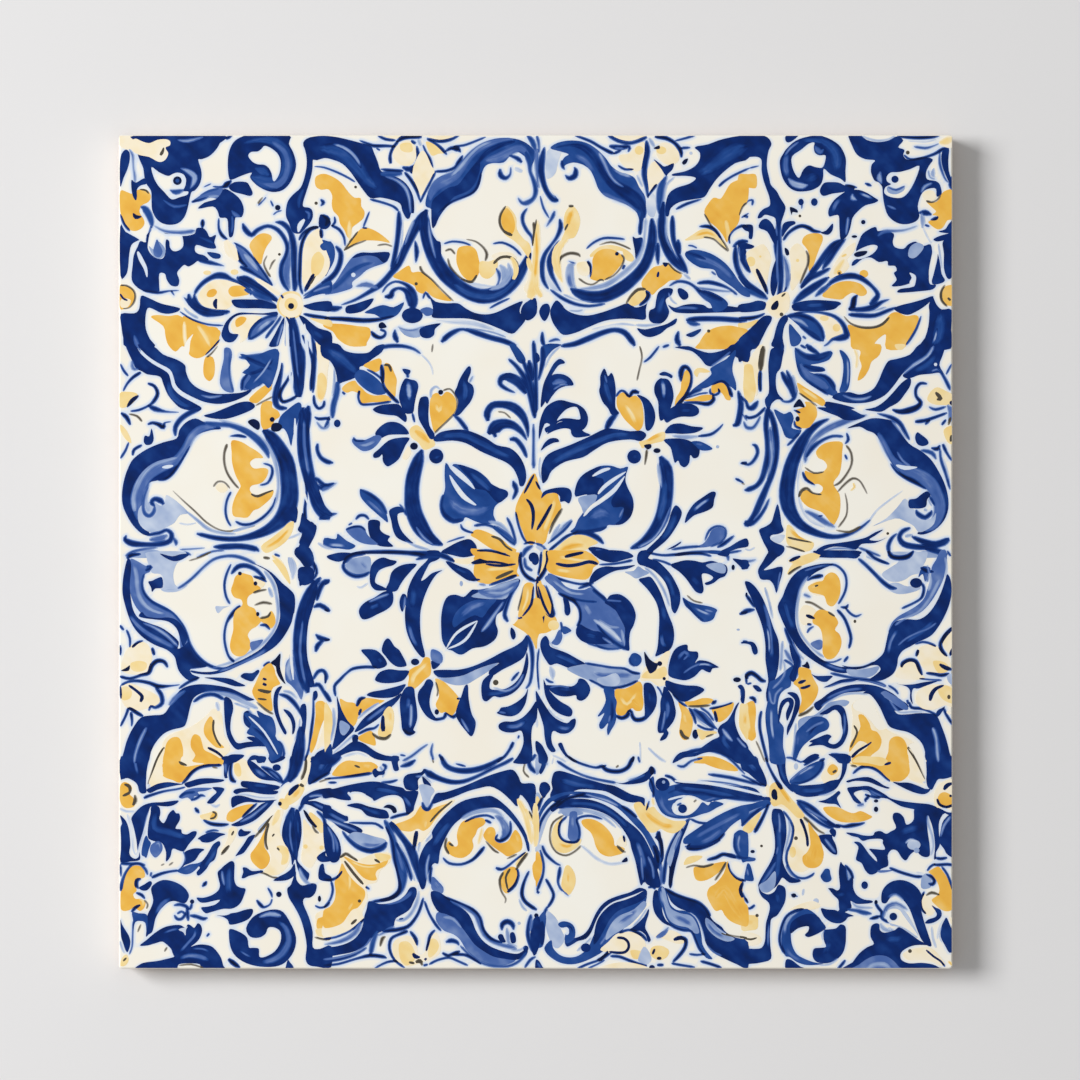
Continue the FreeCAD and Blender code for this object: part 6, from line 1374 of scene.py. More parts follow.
# %% Lower left corner: rosette, scroll and leaf mask
painting.append("""
nf .4 38.2, 5.1 38.2, 5 35.4, 4.9 33, 5 31.8, 4.3 31.5, 3.7 31.9, 3.4 33, 2.8 33.7, 1.6 34.3, .7 34.1,
.3 34.4
mw 2.9 38 .6, 3.1 36.4 .7, 3.5 34.8 .5
cf 7 38, 8.4 38, 8.4 35, 9 33.9, 10.4 33.5, 8.4 33.4, 6.6 33, 5.7 32.8, 6 34.4, 6.6 36.4
gs 6.9 38 .3, 6.2 35.8, 5.6 33.6, 5.2 32.2
ks 6.6 38 .25, 6 35.8, 5.4 33.2
yf 8.2 38.2, 8 36, 7.8 34.9, 8.6 34.3, 9.8 33.9, 10.6 33.5, 11.4 33.6, 12.2 34.4, 13.4 35.4, 14.8 36.2,
16.4 36.6, 18 36.5, 18.6 36.7, 18.5 38.2
ew 11.4 37.8 .8, 13.4 37.2 1, 16 37.2 .8
os 10.6 38.1 .5, 11.2 37.1, 12.2 36.8 .4, 13 36.8 .3
ks 18.5 36.6 .5, 16.6 36.6, 14.6 36.2, 13.2 35.3 .55, 12.2 34.1 .5, 11.4 33.3 .4
os 16.8 36.3 .3, 17.8 36.1
nf 18.7 38.2, 21.3 38.2, 20.6 37.3, 19.9 36.6, 19.7 35.8, 19.5 34.8, 19.6 34.4, 19.1 34.3, 18.9 35,
18.9 36.4, 18.6 37.4
mw 19.2 37.6 .7, 19.2 36, 19.3 34.8 .4
cf 20.7 37, 21.6 37.6, 22.4 37.8, 23.3 37, 24 35.6, 25 34.4, 25.6 33.9, 24 33.8, 22.4 33.9, 21.5 34.2,
20.8 35, 20.6 36
ef 20.8 36.7, 21.6 37, 22 36, 22 34.8, 21.4 34.6, 20.8 35.4
ks 21.2 38 .6, 20.4 37.3 .5, 20.1 36.2 .6, 20.1 35, 20.4 34 .8, 21.1 33.6 .7
nf 23.3 37.6, 23.1 37, 23.6 36, 24.4 34.9, 25.4 34.2, 26.6 33.9, 28 33.8, 28.8 33.6, 27.4 34.6,
26.4 35.4, 25.2 36.4, 24.2 37.2
mw 24.4 36.2 .8, 25.6 35.1 1, 26.8 34.4 .6
nf 23.8 38.2, 26.4 38.2, 26.2 37.1, 25.4 37.3, 24.6 37.7
nf 27 38.2, 29.8 38.2, 29.6 37.6, 28.4 37.1, 27.4 37
nd 28.4 36.2 .75 .6
ns 25.6 36.4 .5, 27.2 35.6 1, 28.6 34.4 1.2, 29.6 33.3 .6
mw 26.6 35.9 .4, 28 35 .7, 29.2 33.8 .4
bf 30.9 38.2, 32.6 38.2, 32.5 36.6, 32 35, 31.2 34, 30 33.4, 29 32.6, 29.8 33.8, 30.4 34.8, 30.8 36.2
ns 31 38 .5, 30.9 36.2 .5, 30.4 34.6, 29.4 33.4 .3
cf 33.6 38.2, 34.6 38.2, 34.4 36, 34 34, 33.4 32.8, 32.6 33.2, 33.4 35
os 33.7 37.8 .4, 33.5 35.8 .5, 32.8 34
nf 34.8 38.2, 38.2 38.2, 38.2 35.8, 37.4 35, 36.2 34.2, 35.2 33.6, 34.2 33.1, 34 34.2, 34.4 35.6,
34.6 37
mw 37 37.4 1, 36 35.6 1.2
ks 38 35.3 .5, 36.4 34.5 .6, 34.6 33.4 .5
os 36 33.6 .3, 37.2 34, 38.2 34.3
ef 29.8 30.6, 30.6 32, 31.6 32.9, 32.6 33.3, 33.4 32.6, 33 31.4, 32.2 30.4, 31 29.6, 30 29.4
yw 31 30.6 1, 32.2 31.8 1.2, 32.8 32.6 .8
ef 29 30.6, 30.2 30.4, 30.6 29.2, 29.8 28.6, 28.8 29.4
ks 30.6 31.2 .6, 31.2 32.1 .7, 32.4 33.1 .6
os 32.6 33.2 .7, 33.3 32.8 .5
kd 29 29.7 .35 .4
nf 22 33.6, 22.6 33.8, 24.6 33.6, 26.6 33.3, 28.4 33, 29 32.7, 28.4 32.2, 26.4 32.1, 24.4 32.3,
22.6 32.6, 22 33
bw 24 33.1 .7, 27 32.8 .6
nf 20.6 31.8, 21 32.3, 22.2 32.5, 24 32.4, 26.4 32.2, 28.6 32, 28.2 31.4, 26 31.4, 23.6 31.8, 22 31.7,
21.2 31.4
nf 20.2 30.4, 20.6 31, 21.6 31.2, 22.8 31, 24.4 30.5, 26 30.3, 28.4 30.4, 27.4 30.1, 25.2 29.9, 23 30,
21.4 29.5, 20.4 29
ls 21 31.4 .3, 22.8 31.3, 25.4 30.8 .4, 28 30.8 .3
nf 28 30.3, 26.8 30.1, 25.6 29.6, 24.4 28.6, 23 27.6, 21.6 26.6, 20.2 25.9, 21.4 25.6, 23 26, 24.6 26.8,
26 28, 27.2 29.2
ls 21.8 26.4 .3, 23.8 27.4 .5, 25.6 28.8 .4, 26.8 29.8 .3
yf 19.4 26.8, 19.6 28, 20.6 28.8, 22 29.3, 23.4 29.6, 24.4 29.5, 23.6 28.5, 22.6 27.6, 21.4 26.9,
20.4 26.4
ks 24.9 29.8 .4, 23.4 28.4 .5, 22.2 27.2 .4
ef 14.6 27.6, 16 28, 17.4 28.4, 17.8 27.6, 17.4 26.8, 16 26.7, 15 26.9
yf 16.4 27.2, 17.2 28.3, 17.6 27.6, 17.2 27.1
os 16.8 28.3 .3, 17.5 27.9, 17.2 27.2, 16.4 27
ks 15.2 26.8 .4, 16.6 26.1 .6, 18.4 25.9, 19.8 26 .4
ks 13.7 29 .6, 14.3 28.2, 14.5 28 .3
gs 16.4 29.8 .4, 17.4 29.2 .5, 18.2 29.6 .3
nf 5 32.2, 5.6 32.6, 7 33.3, 8.8 33.6, 10.4 33.4, 11.6 33.2, 10.4 33, 8.6 32.6, 7 32.2, 5.6 31.6
ks 4.5 30.7 .6, 5.4 31.1 .5, 8 31.9 .4, 10.4 32.3 .35, 12 32.7 .3
nf 11.8 33.3, 13 33.8, 14.4 34.2, 16 34.3, 17.6 34.2, 19 34, 18.4 33.6, 16.8 33.4, 15 33.2, 13.4 32.8,
12.4 32.6
nf 16.8 32.6, 18 32.7, 19 32.4, 18.6 31.6, 17.8 30.6, 17 29.8, 16.2 29.7, 15.9 30, 16.8 31, 17.6 31.8
mf 10.8 30.9, 11.4 31.6, 12.2 32.2, 13.4 32.5, 15 32.6, 16.8 32.5, 15.6 32, 14.2 31.8, 14.6 31.2,
13.6 31, 13.2 30.2, 12.4 30.8, 11.4 30.6
ns 10.9 30.8 .6, 12 31.6 .5, 13.8 31.8
ns 13 30.3 .5, 14 30.7, 14.8 31.2, 15.6 31 .3
yf .3 33, 1 33.6, 2 33.2, 2.4 32.4, 2 31.4, 2.6 30.8, 3 29.8, 2.6 29.1, 1.4 28.9, .6 29.4, .2 30.4,
.2 31.8
os 1 33.2 .4, 1.9 32.8 .5, 2 31.8 .4, 1.2 31.3, .7 31.1 .3
os 2.9 31.3 .5, 3 30.2 .6, 2.5 29.4 .4
gs .1 28.9 .4, 1.4 28.3, 3 28.3
nf 5.9 29.3, 7.2 29.2, 7.5 28, 7.3 27, 8 26.2, 8.5 26.8, 9 27.9, 9.8 28.6, 10.3 28, 10.9 27.9, 11 26.8,
10.2 25.3, 11.2 25.1, 11.4 24.4, 12.3 24.2, 13.2 24.7, 14 24.7, 13.8 23.8, 12.6 22.4, 11.8 21.2,
11 21.2, 9.7 21.6, 9.3 20.2, 8.5 19.3, 8.5 21, 7.8 22.6, 6.6 22.9, 5.4 23.4, 5.2 24.6, 5.4 26.4,
5.7 27.8
nf 2.3 27.2, 3.2 28.4, 4.4 29.4, 6 29.9, 8 30, 10.7 30.3, 10.2 29.6, 8.8 29.2, 6 29.3, 5.4 28.2, 4.8 26,
4.2 24, 3.7 22.4, 3.4 21.2, 3.2 23, 2.8 25, 2.4 26.4
bw 6.6 28 1, 6.4 25.4 1.4, 9 24.6, 12 23.6 1
nf .2 27.6, .8 27.2, 1.4 26.4, 1.8 25.2, 2 23.8, 2.1 22.2, 1.9 21, 2.2 20.2, 3 19.8, 3.6 20.2, 3.7 21,
3.8 19.6, 2 19.3, .3 19.2, .4 21.4, .4 23.6, .3 25.4, .6 26.2
ps 1.5 27.8 .4, 2.1 25.8, 2.4 23.4, 2.6 21.6, 3.1 20.5, 3.6 21.6, 4.5 24.4, 5.2 27.2 .5, 5.7 28.6 .3
bf 4.1 20.6, 4.3 22.4, 4.9 24, 5.4 23.2, 5.8 22.6, 5.4 21.4, 5 20, 4.6 20.2
mf 6.2 22.6, 7 23, 7.7 22.6, 7.9 21.6, 7.4 20.6, 6.6 20, 5.9 20.6, 5.6 21.4, 5.8 22.2
lw 6.4 22.2 .4, 7.2 22.6 .5, 7.4 21.6 .4
ks 5.9 16.4 .6, 7.6 17.1 .5, 9.2 17.5 .4, 10.8 17.7
ns 10.8 17.7 .4, 11.6 18.6 .3, 12 20, 11.6 21.2
os 7.6 18.6 .3, 8.2 18.9
os 9 18.6 .3, 9.8 19.2
nf 14.2 23.4, 15 24, 16.6 24.6, 18 24.5, 19.2 24.2, 18.2 23.8, 17 23, 16 22.7, 15 22.8, 14.6 23.2
ns 15.6 24.5 .5, 17 24.9 .4, 18 24.8 .3
nf 11.9 21, 12.6 21.4, 13.8 21.7, 15.4 21.5, 14.6 20.8, 13.8 19.6, 12.8 19, 11.8 18.6, 11 17.9, 12 19.4,
12 20.2
nf 18 23, 18.3 22.4, 17.8 21.6, 17.6 20.6, 17.2 19.6, 16.4 19, 15.8 18, 14.8 17, 14.2 16.8, 14 17.4,
14.6 18.2, 14 18.8, 15 19.4, 15.8 20.4, 16.4 21.4, 17 22.4
bw 17.4 21.6 .8, 16.8 20.2 .9, 15.4 18.2 .8
bf 10.4 17.6, 11.4 18.2, 12.8 18.8, 14.2 19, 15 19.3, 14 18, 13 17.2, 11.8 17
mw 11.6 17.7 .6, 13.2 18.3
cf 18.4 21, 19 22.2, 19.6 23.6, 19.8 25, 20.6 25.6, 21.4 25, 20.8 23.4, 20 22.2, 19 20.8
os 18.4 20.5 .4, 19.2 21.4 .5, 19.9 22.2 .4
os 20.3 24 .3, 20.7 24.8
nf 21.5 24.6, 22 25.2, 22.6 24.8, 23.8 24.7, 23 24, 22.2 23.8, 21.6 23.9
gf 25 25.2, 26.4 26.6, 27.6 27.6, 28.4 28, 27.4 26.2, 26.4 25.2, 25.4 24.4
nf 21 20.3, 21.6 21.2, 22.6 22.6, 23.4 23.8, 24.6 24.1, 24 23, 23.2 21.8, 22.4 20.8, 21.4 20.4
os 24.4 23.6 .4, 25.8 25.2, 27 26.6 .5, 27.9 27.6 .4
cf 27 26.4, 28.4 28.4, 29.6 28.6, 29.2 26.6, 29 24.6, 29.8 22.8, 30.6 21.2, 30.8 19.6, 30 18, 28.8 17,
27.4 16.8, 26 17.4, 27 18.8, 27.4 20.2, 26.8 21.6, 26.4 23, 26.6 24.8
es 28.8 28.6 1, 28.4 27.2 .9, 27.6 25.8 .6
yf 26.6 25.8, 26 24.4, 25.2 22.8, 24.4 21.6, 23.7 20.6, 23.9 19.4, 24.8 18.4, 25.6 17.9, 26.4 18.2,
27 19, 27.2 20, 26.8 21, 26.2 22, 26.3 23.6
ef 28.4 22, 29.4 22.2, 30.4 21.6, 30.6 20.2, 30.2 19, 29.2 18.8, 29.4 20.4, 28.8 21.2
os 27 26.2 .4, 26.5 24.4, 26.4 22.6, 26.8 21.4 .35
os 27.6 23.8 .3, 28 24.3
os 28.5 21.8 .4, 28.9 21.3 .3
os 24.8 17.4 .3, 26 17.2, 27.6 16.5, 28.6 16.4 .4
kd 25.6 17.5 .4 .25
nf 22.1 16.4, 22.4 17.4, 22.3 18.2, 23 18.2, 24 17.6, 25.6 17.7, 25.8 17.4, 24.6 17, 23.4 16.7,
22.6 16.3
nf 27.8 15.9, 28.8 16.6, 30 17.2, 31 18, 31.6 19, 31.8 17.4, 31.4 16.6, 30.4 16, 29 15.8
nf 31 29, 30.6 28, 29.8 26.6, 29.4 25, 29.4 23.6, 29.9 22.4, 30.6 21.4, 31 20, 31.2 18.6, 31.7 20,
31.9 22, 31.7 24, 31.5 26, 31.4 28
mw 30.4 27.2 .6, 30.1 25.2 .7, 30.4 23.2 .6, 31.1 21.2 .5
ls 30.9 28 .4, 30.8 26, 31 24 .3
nf 31.8 28.6, 32.4 28.4, 32.8 26.6, 32.9 24.4, 32.6 22.4, 32.2 20.6, 32.2 19.4, 33 18.4, 33.8 17.6,
34.3 17, 33.9 15.8, 33 16.2, 32.4 17.4, 32 18.6, 31.8 20, 32 22, 31.8 24, 31.6 26.4
bw 32.2 27 .5, 32.3 24 .5
nf 31.8 17.6, 32 16, 33 15, 34.6 15.4, 35.6 15.1, 35.3 13.6, 34.4 12.8, 33.4 12.7, 33.2 11.7, 34.2 9.3,
34.9 6.6, 34.9 3.9, 36.2 3.6, 38.2 4.1, 38.2 .3, 35.6 .4, 34.2 .7, 33.6 1.8, 33.8 4.1, 33.4 6.6, 32.7 9,
31.7 11, 30.6 12.8, 30.3 14.4, 31 15.2
ls 32.5 18.2 .5, 32.9 16.8 .8, 33.8 15.6 .7, 34.6 15.3 .3
cf 35.6 10, 38.2 10.6, 38.2 5.4, 36.4 5.4, 35.4 6, 35.4 8.4
yf 35.7 8.8, 36.2 9.2, 38.2 9.6, 38.2 7.6, 36.4 7.2, 35.6 7.4
ef 35.6 7.2, 38.2 7.2, 38.2 5.8, 36.2 5.8, 35.6 6.2
os 35.2 5.7 .3, 36.8 5.3 .35, 38.2 5.4 .3
kd 36.1 12.6 .3 .55
ks 35.3 11.4 .3, 36.2 11 .35, 37.4 11.3, 38 12 .3
cf 33.2 27, 34.4 25.6, 35.6 24.4, 36.6 24.6, 37 23.2, 37 21.6, 36 20.6, 35.4 19.4, 34.6 18.2, 33.4 18.6,
32.8 19.8, 33.1 22, 33.2 24.4
ef 34.4 28.2, 35.6 27.4, 36.6 26.4, 37 25, 36.4 24.4, 35.6 25.2, 35 26, 34.2 27.2
kf 33.2 28.6, 33.8 28.2, 34.6 27, 35.4 26, 35.7 25.6, 35.3 25.4, 34.4 26.2, 33.6 27.4
os 34.8 25.8 .3, 35.4 24.8 .4, 36 24.4 .3
ed 33.6 22 .4
ed 36.5 21.8 .4
ns 35.6 28.4 .5, 36.8 27.2 .6, 37.2 25.4 .5, 37.3 23.2 .4, 37.2 21.6 .5
nf 35.6 20, 36.4 20.8, 37.3 21.2, 37.2 20.4, 38.2 19.9, 38.2 19.4, 37 19.2, 36.2 19.3
nf 36.2 18.6, 36.8 18.9, 37 18, 37.2 17.2, 38.2 16.6, 38.2 15.8, 36.8 15.8, 36 16.2, 35.9 17.2
nf 33 30.6, 33.6 31.2, 35 32, 36.6 32.4, 38.2 32.5, 38.2 31.6, 36.6 31, 35.4 30.6, 34 30.2, 35.4 30.2,
37 29.6, 38.2 29.2, 38.2 27.6, 37 28, 35.6 28.8, 34.4 29.4, 33.4 29.6, 32.6 29.4
ls 34.2 31 .4, 35.8 31.2 .5, 37.2 30.9 .6, 38.2 31 .5
mw 34.6 30 .5, 36.2 29.2 .7, 38 28.4 .8
ns 33.4 29.8 .5, 32.7 29 .6, 32.3 28.2 .4
yf .4 10.8, .3 12.4, .4 14, .8 15.6, 1.2 17, 2 18.2, 3 18.6, 4 18.4, 4.6 17.6, 4.7 16.6, 4 16.2, 3.2 16,
3.1 15, 3.2 14, 2.6 13.4, 3 12.6, 4 12.6, 4.8 12, 4.6 11, 3.8 10.4, 2.8 11, 2 10.6, 1 10.4
ew 3.4 18 .8, 4.4 17.2 .6
ew 3.2 12.8 .8, 4.4 12.2, 4.2 11 .6
ns .3 14 .6, .7 16 .5, 1.4 17.6 .4, 2.4 18.7, 3.8 18.8, 4.8 17.9 .5, 5.2 16.9 .4
ks 4 16.2 .5, 3.3 15.9 .6, 3.2 15, 3.6 14.4 .4
ks 3.1 13.7 .4, 4.1 13.3 .5, 4.7 12.6 .4
ks 2.3 10.2 .6, 3 11 .5, 3.9 11.5 .4
os 4.6 12.4 .3, 5.2 11.6, 5 10.8
ns 5.9 17.4 .5, 5.7 16.6
nf 3.6 14.6, 4.6 15.2, 5.6 15.8, 6 15.4, 5.6 14.6, 5 14.1, 4.2 14.1
ns .3 19 .7, 2 18.9 .5, 3.6 19 .4, 4.8 18.6
ns .3 18.8 .5, .4 16.6 .4
nf 5.8 14.4, 6.6 15.4, 8 16, 9.6 15.8, 11 15.2, 12 14.4, 12.6 13.4, 12.5 12.6, 11.9 11.8, 10.8 12,
10 12.2, 9 12, 8 11.2, 7.2 10.2, 6.6 9, 6.3 7.6, 6 6.6, 5.4 6.2, 4.9 5.8, 5 7.2, 5 8.6, 5.2 9.8, 5.8 11,
6.2 12.4
mw 9.4 12.7 1, 7.8 11.6 1.2, 6.6 9.6 1
bf 2.4 10.2, 3.6 10, 5 9.8, 5.2 8.4, 5 6.6, 4.8 8.2, 4 8.6, 3 8.4, 2.6 7, 2.6 8.6
ns 9.9 11.4 .4, 11 11.6 .6, 12 11.3, 12.8 10.8 .5, 13.2 11.8 .6
ns 10 9.7 .4, 10.5 9 .5, 11.3 9, 11.9 9.8, 11.3 10.3 .4, 10.5 9.9 .5
ns 12.3 11 .7, 12.4 9.6 .6, 12.5 8.6 .5
kd 13.2 12.1 .4
ns 12.8 9.6 .6, 14 9.4, 15.2 9, 16 9.2 .4
nf 3.8 4.2, 5 5.2, 6.4 6.4, 8 7.4, 9.4 7.8, 11 7.9, 12 7.4, 12.4 8, 13 7.8, 13.6 7.4, 14.2 8.2,
14.8 7.8, 15 6.8, 14.6 5.6, 14 4.8, 13 4, 12 3, 11 2.4, 10.2 2, 9.7 2.8, 9.4 3.6, 8.6 4.4, 7.8 4.9,
6.6 4.6, 5.2 4.2
pf 10.8 7, 11.6 6.6, 12 6, 12.1 7, 12.4 7.6, 11.8 7.4, 11.2 7.3
mw 13.8 7.2 .6, 13.6 6 .7, 12.4 4.6, 11 3 .6
mw 8 6.4 .4, 9.6 7 .6, 11 7.2 .4
os 8.2 3.1 .3, 8.7 3.9 .4
nf .3 8.8, .6 8, 1.2 7, 1.8 6, 2.1 5, 2 4, 1.6 3, 1.2 3.4, .8 4.6, .4 6
ls .2 5 .4, .6 3.8, 1 2.8 .3
ns 2.6 8.6 .3, 2.5 6, 2.4 4, 1.9 2.6
os 3.4 6.6 .3, 4 8
ef .3 .6, .6 2, 1.4 2.6, 1.8 1.6, 1.2 .6
os .8 1.4 .3, 1.4 2
nf 3.2 -.2, 3.8 .8, 5 1.2, 6.8 1.4, 8.6 1.8, 10 2.2, 11 3, 12.2 3.6, 13.6 4.2, 15 4.4, 16.6 4.1,
17.6 3.2, 18.4 2, 18.8 .6, 19 -.2, 15 -.2, 14.6 .8, 12.6 1, 10.8 .8, 9.8 -.2
mw 10.8 1.8 .8, 12.6 2.4 1, 14.6 2.2 1.2, 16.4 1.4 .8
mw 13 3.6 .4, 15 3.6 .5, 16.4 3 .4
os 10.8 .6 .3, 13 .8, 15.2 .2
nf 20.2 19.4, 20.8 19, 20.8 17.6, 20.8 16, 21.2 15, 22 14.6, 22.8 14.4, 22.6 13.4, 22 12, 21.2 11.2,
20.2 10.8, 19 10.8, 18 10.6, 16.6 10.2, 15.6 10, 14.8 11, 16 11.2, 17.4 11.6, 18.2 12.4, 17 12.2,
15.6 11.9, 14.6 12, 14 12.8, 15.2 12.8, 16.6 13.2, 17.8 14, 18.2 15, 17.9 16.4, 17.8 17.4, 18.4 18,
19 18.6
bw 20 18.6 .8, 19.8 16.6 1.2, 19.8 13.6 1.6
ls 18.6 17.6 .4, 18.7 16.4 .5, 19 15 .3
ks 15 14.8 .5, 15.6 15.4 .7, 15.8 15.8 .4
nf 17.6 9.6, 19 9.6, 19.8 9.8, 20.2 10, 21.4 10.2, 22.6 10.6, 24 10.8, 24.1 10, 23.4 9, 22.2 8.4,
20.8 8, 19.9 8, 19.6 8.8, 18.6 9.4
ks 15.8 5.8 .4, 16.3 6.4 .5
nf 22.9 7.3, 24 9.2, 25.7 10.2, 27.9 10.7, 29.6 10.2, 31 8, 31.9 5.6, 31.5 3.2, 30 1.2, 28.1 .4,
25.4 .4, 23 1, 21.1 2.2, 20.1 3.9, 19.8 6.3, 20.1 7.2, 21.8 6.6, 23.1 5.6, 23.4 3.9, 24.2 3.8, 25.2 3.6,
25.3 2.2, 26.4 2.2, 28.1 3.2, 29.1 4.9, 29.1 6.6, 28.1 7.4, 26.9 7.4, 26.4 6.3, 25.2 5.6, 23.6 5.8
mw 28.6 8.6 .7, 30 7.4 1.2, 30.6 5 1.4, 29.4 2.8 1.6, 27.6 1.6 1.4, 25.6 1.2 .9
ls 25.2 9.3 .4, 27.2 9.9 .8, 29.2 9.5 .7
mw 21.6 3.4 .4, 22.8 2.6 .5, 24 2
ks 19.7 1.8 .8, 20.8 .9, 21.8 .2 .6
nf 30 .2, 30.4 1.6, 30.8 1.2, 31.4 .4, 31.2 -.2, 30 -.2
ks 24.8 12.4 .5, 25.6 11.4 .6, 26.2 11.1 .4, 27.2 11.6 .3, 27.6 12.6
ks 26.8 14.6 .3, 27.4 13.6 .4, 27.6 12.8 .3
kd 28.8 13.4 .5
""")

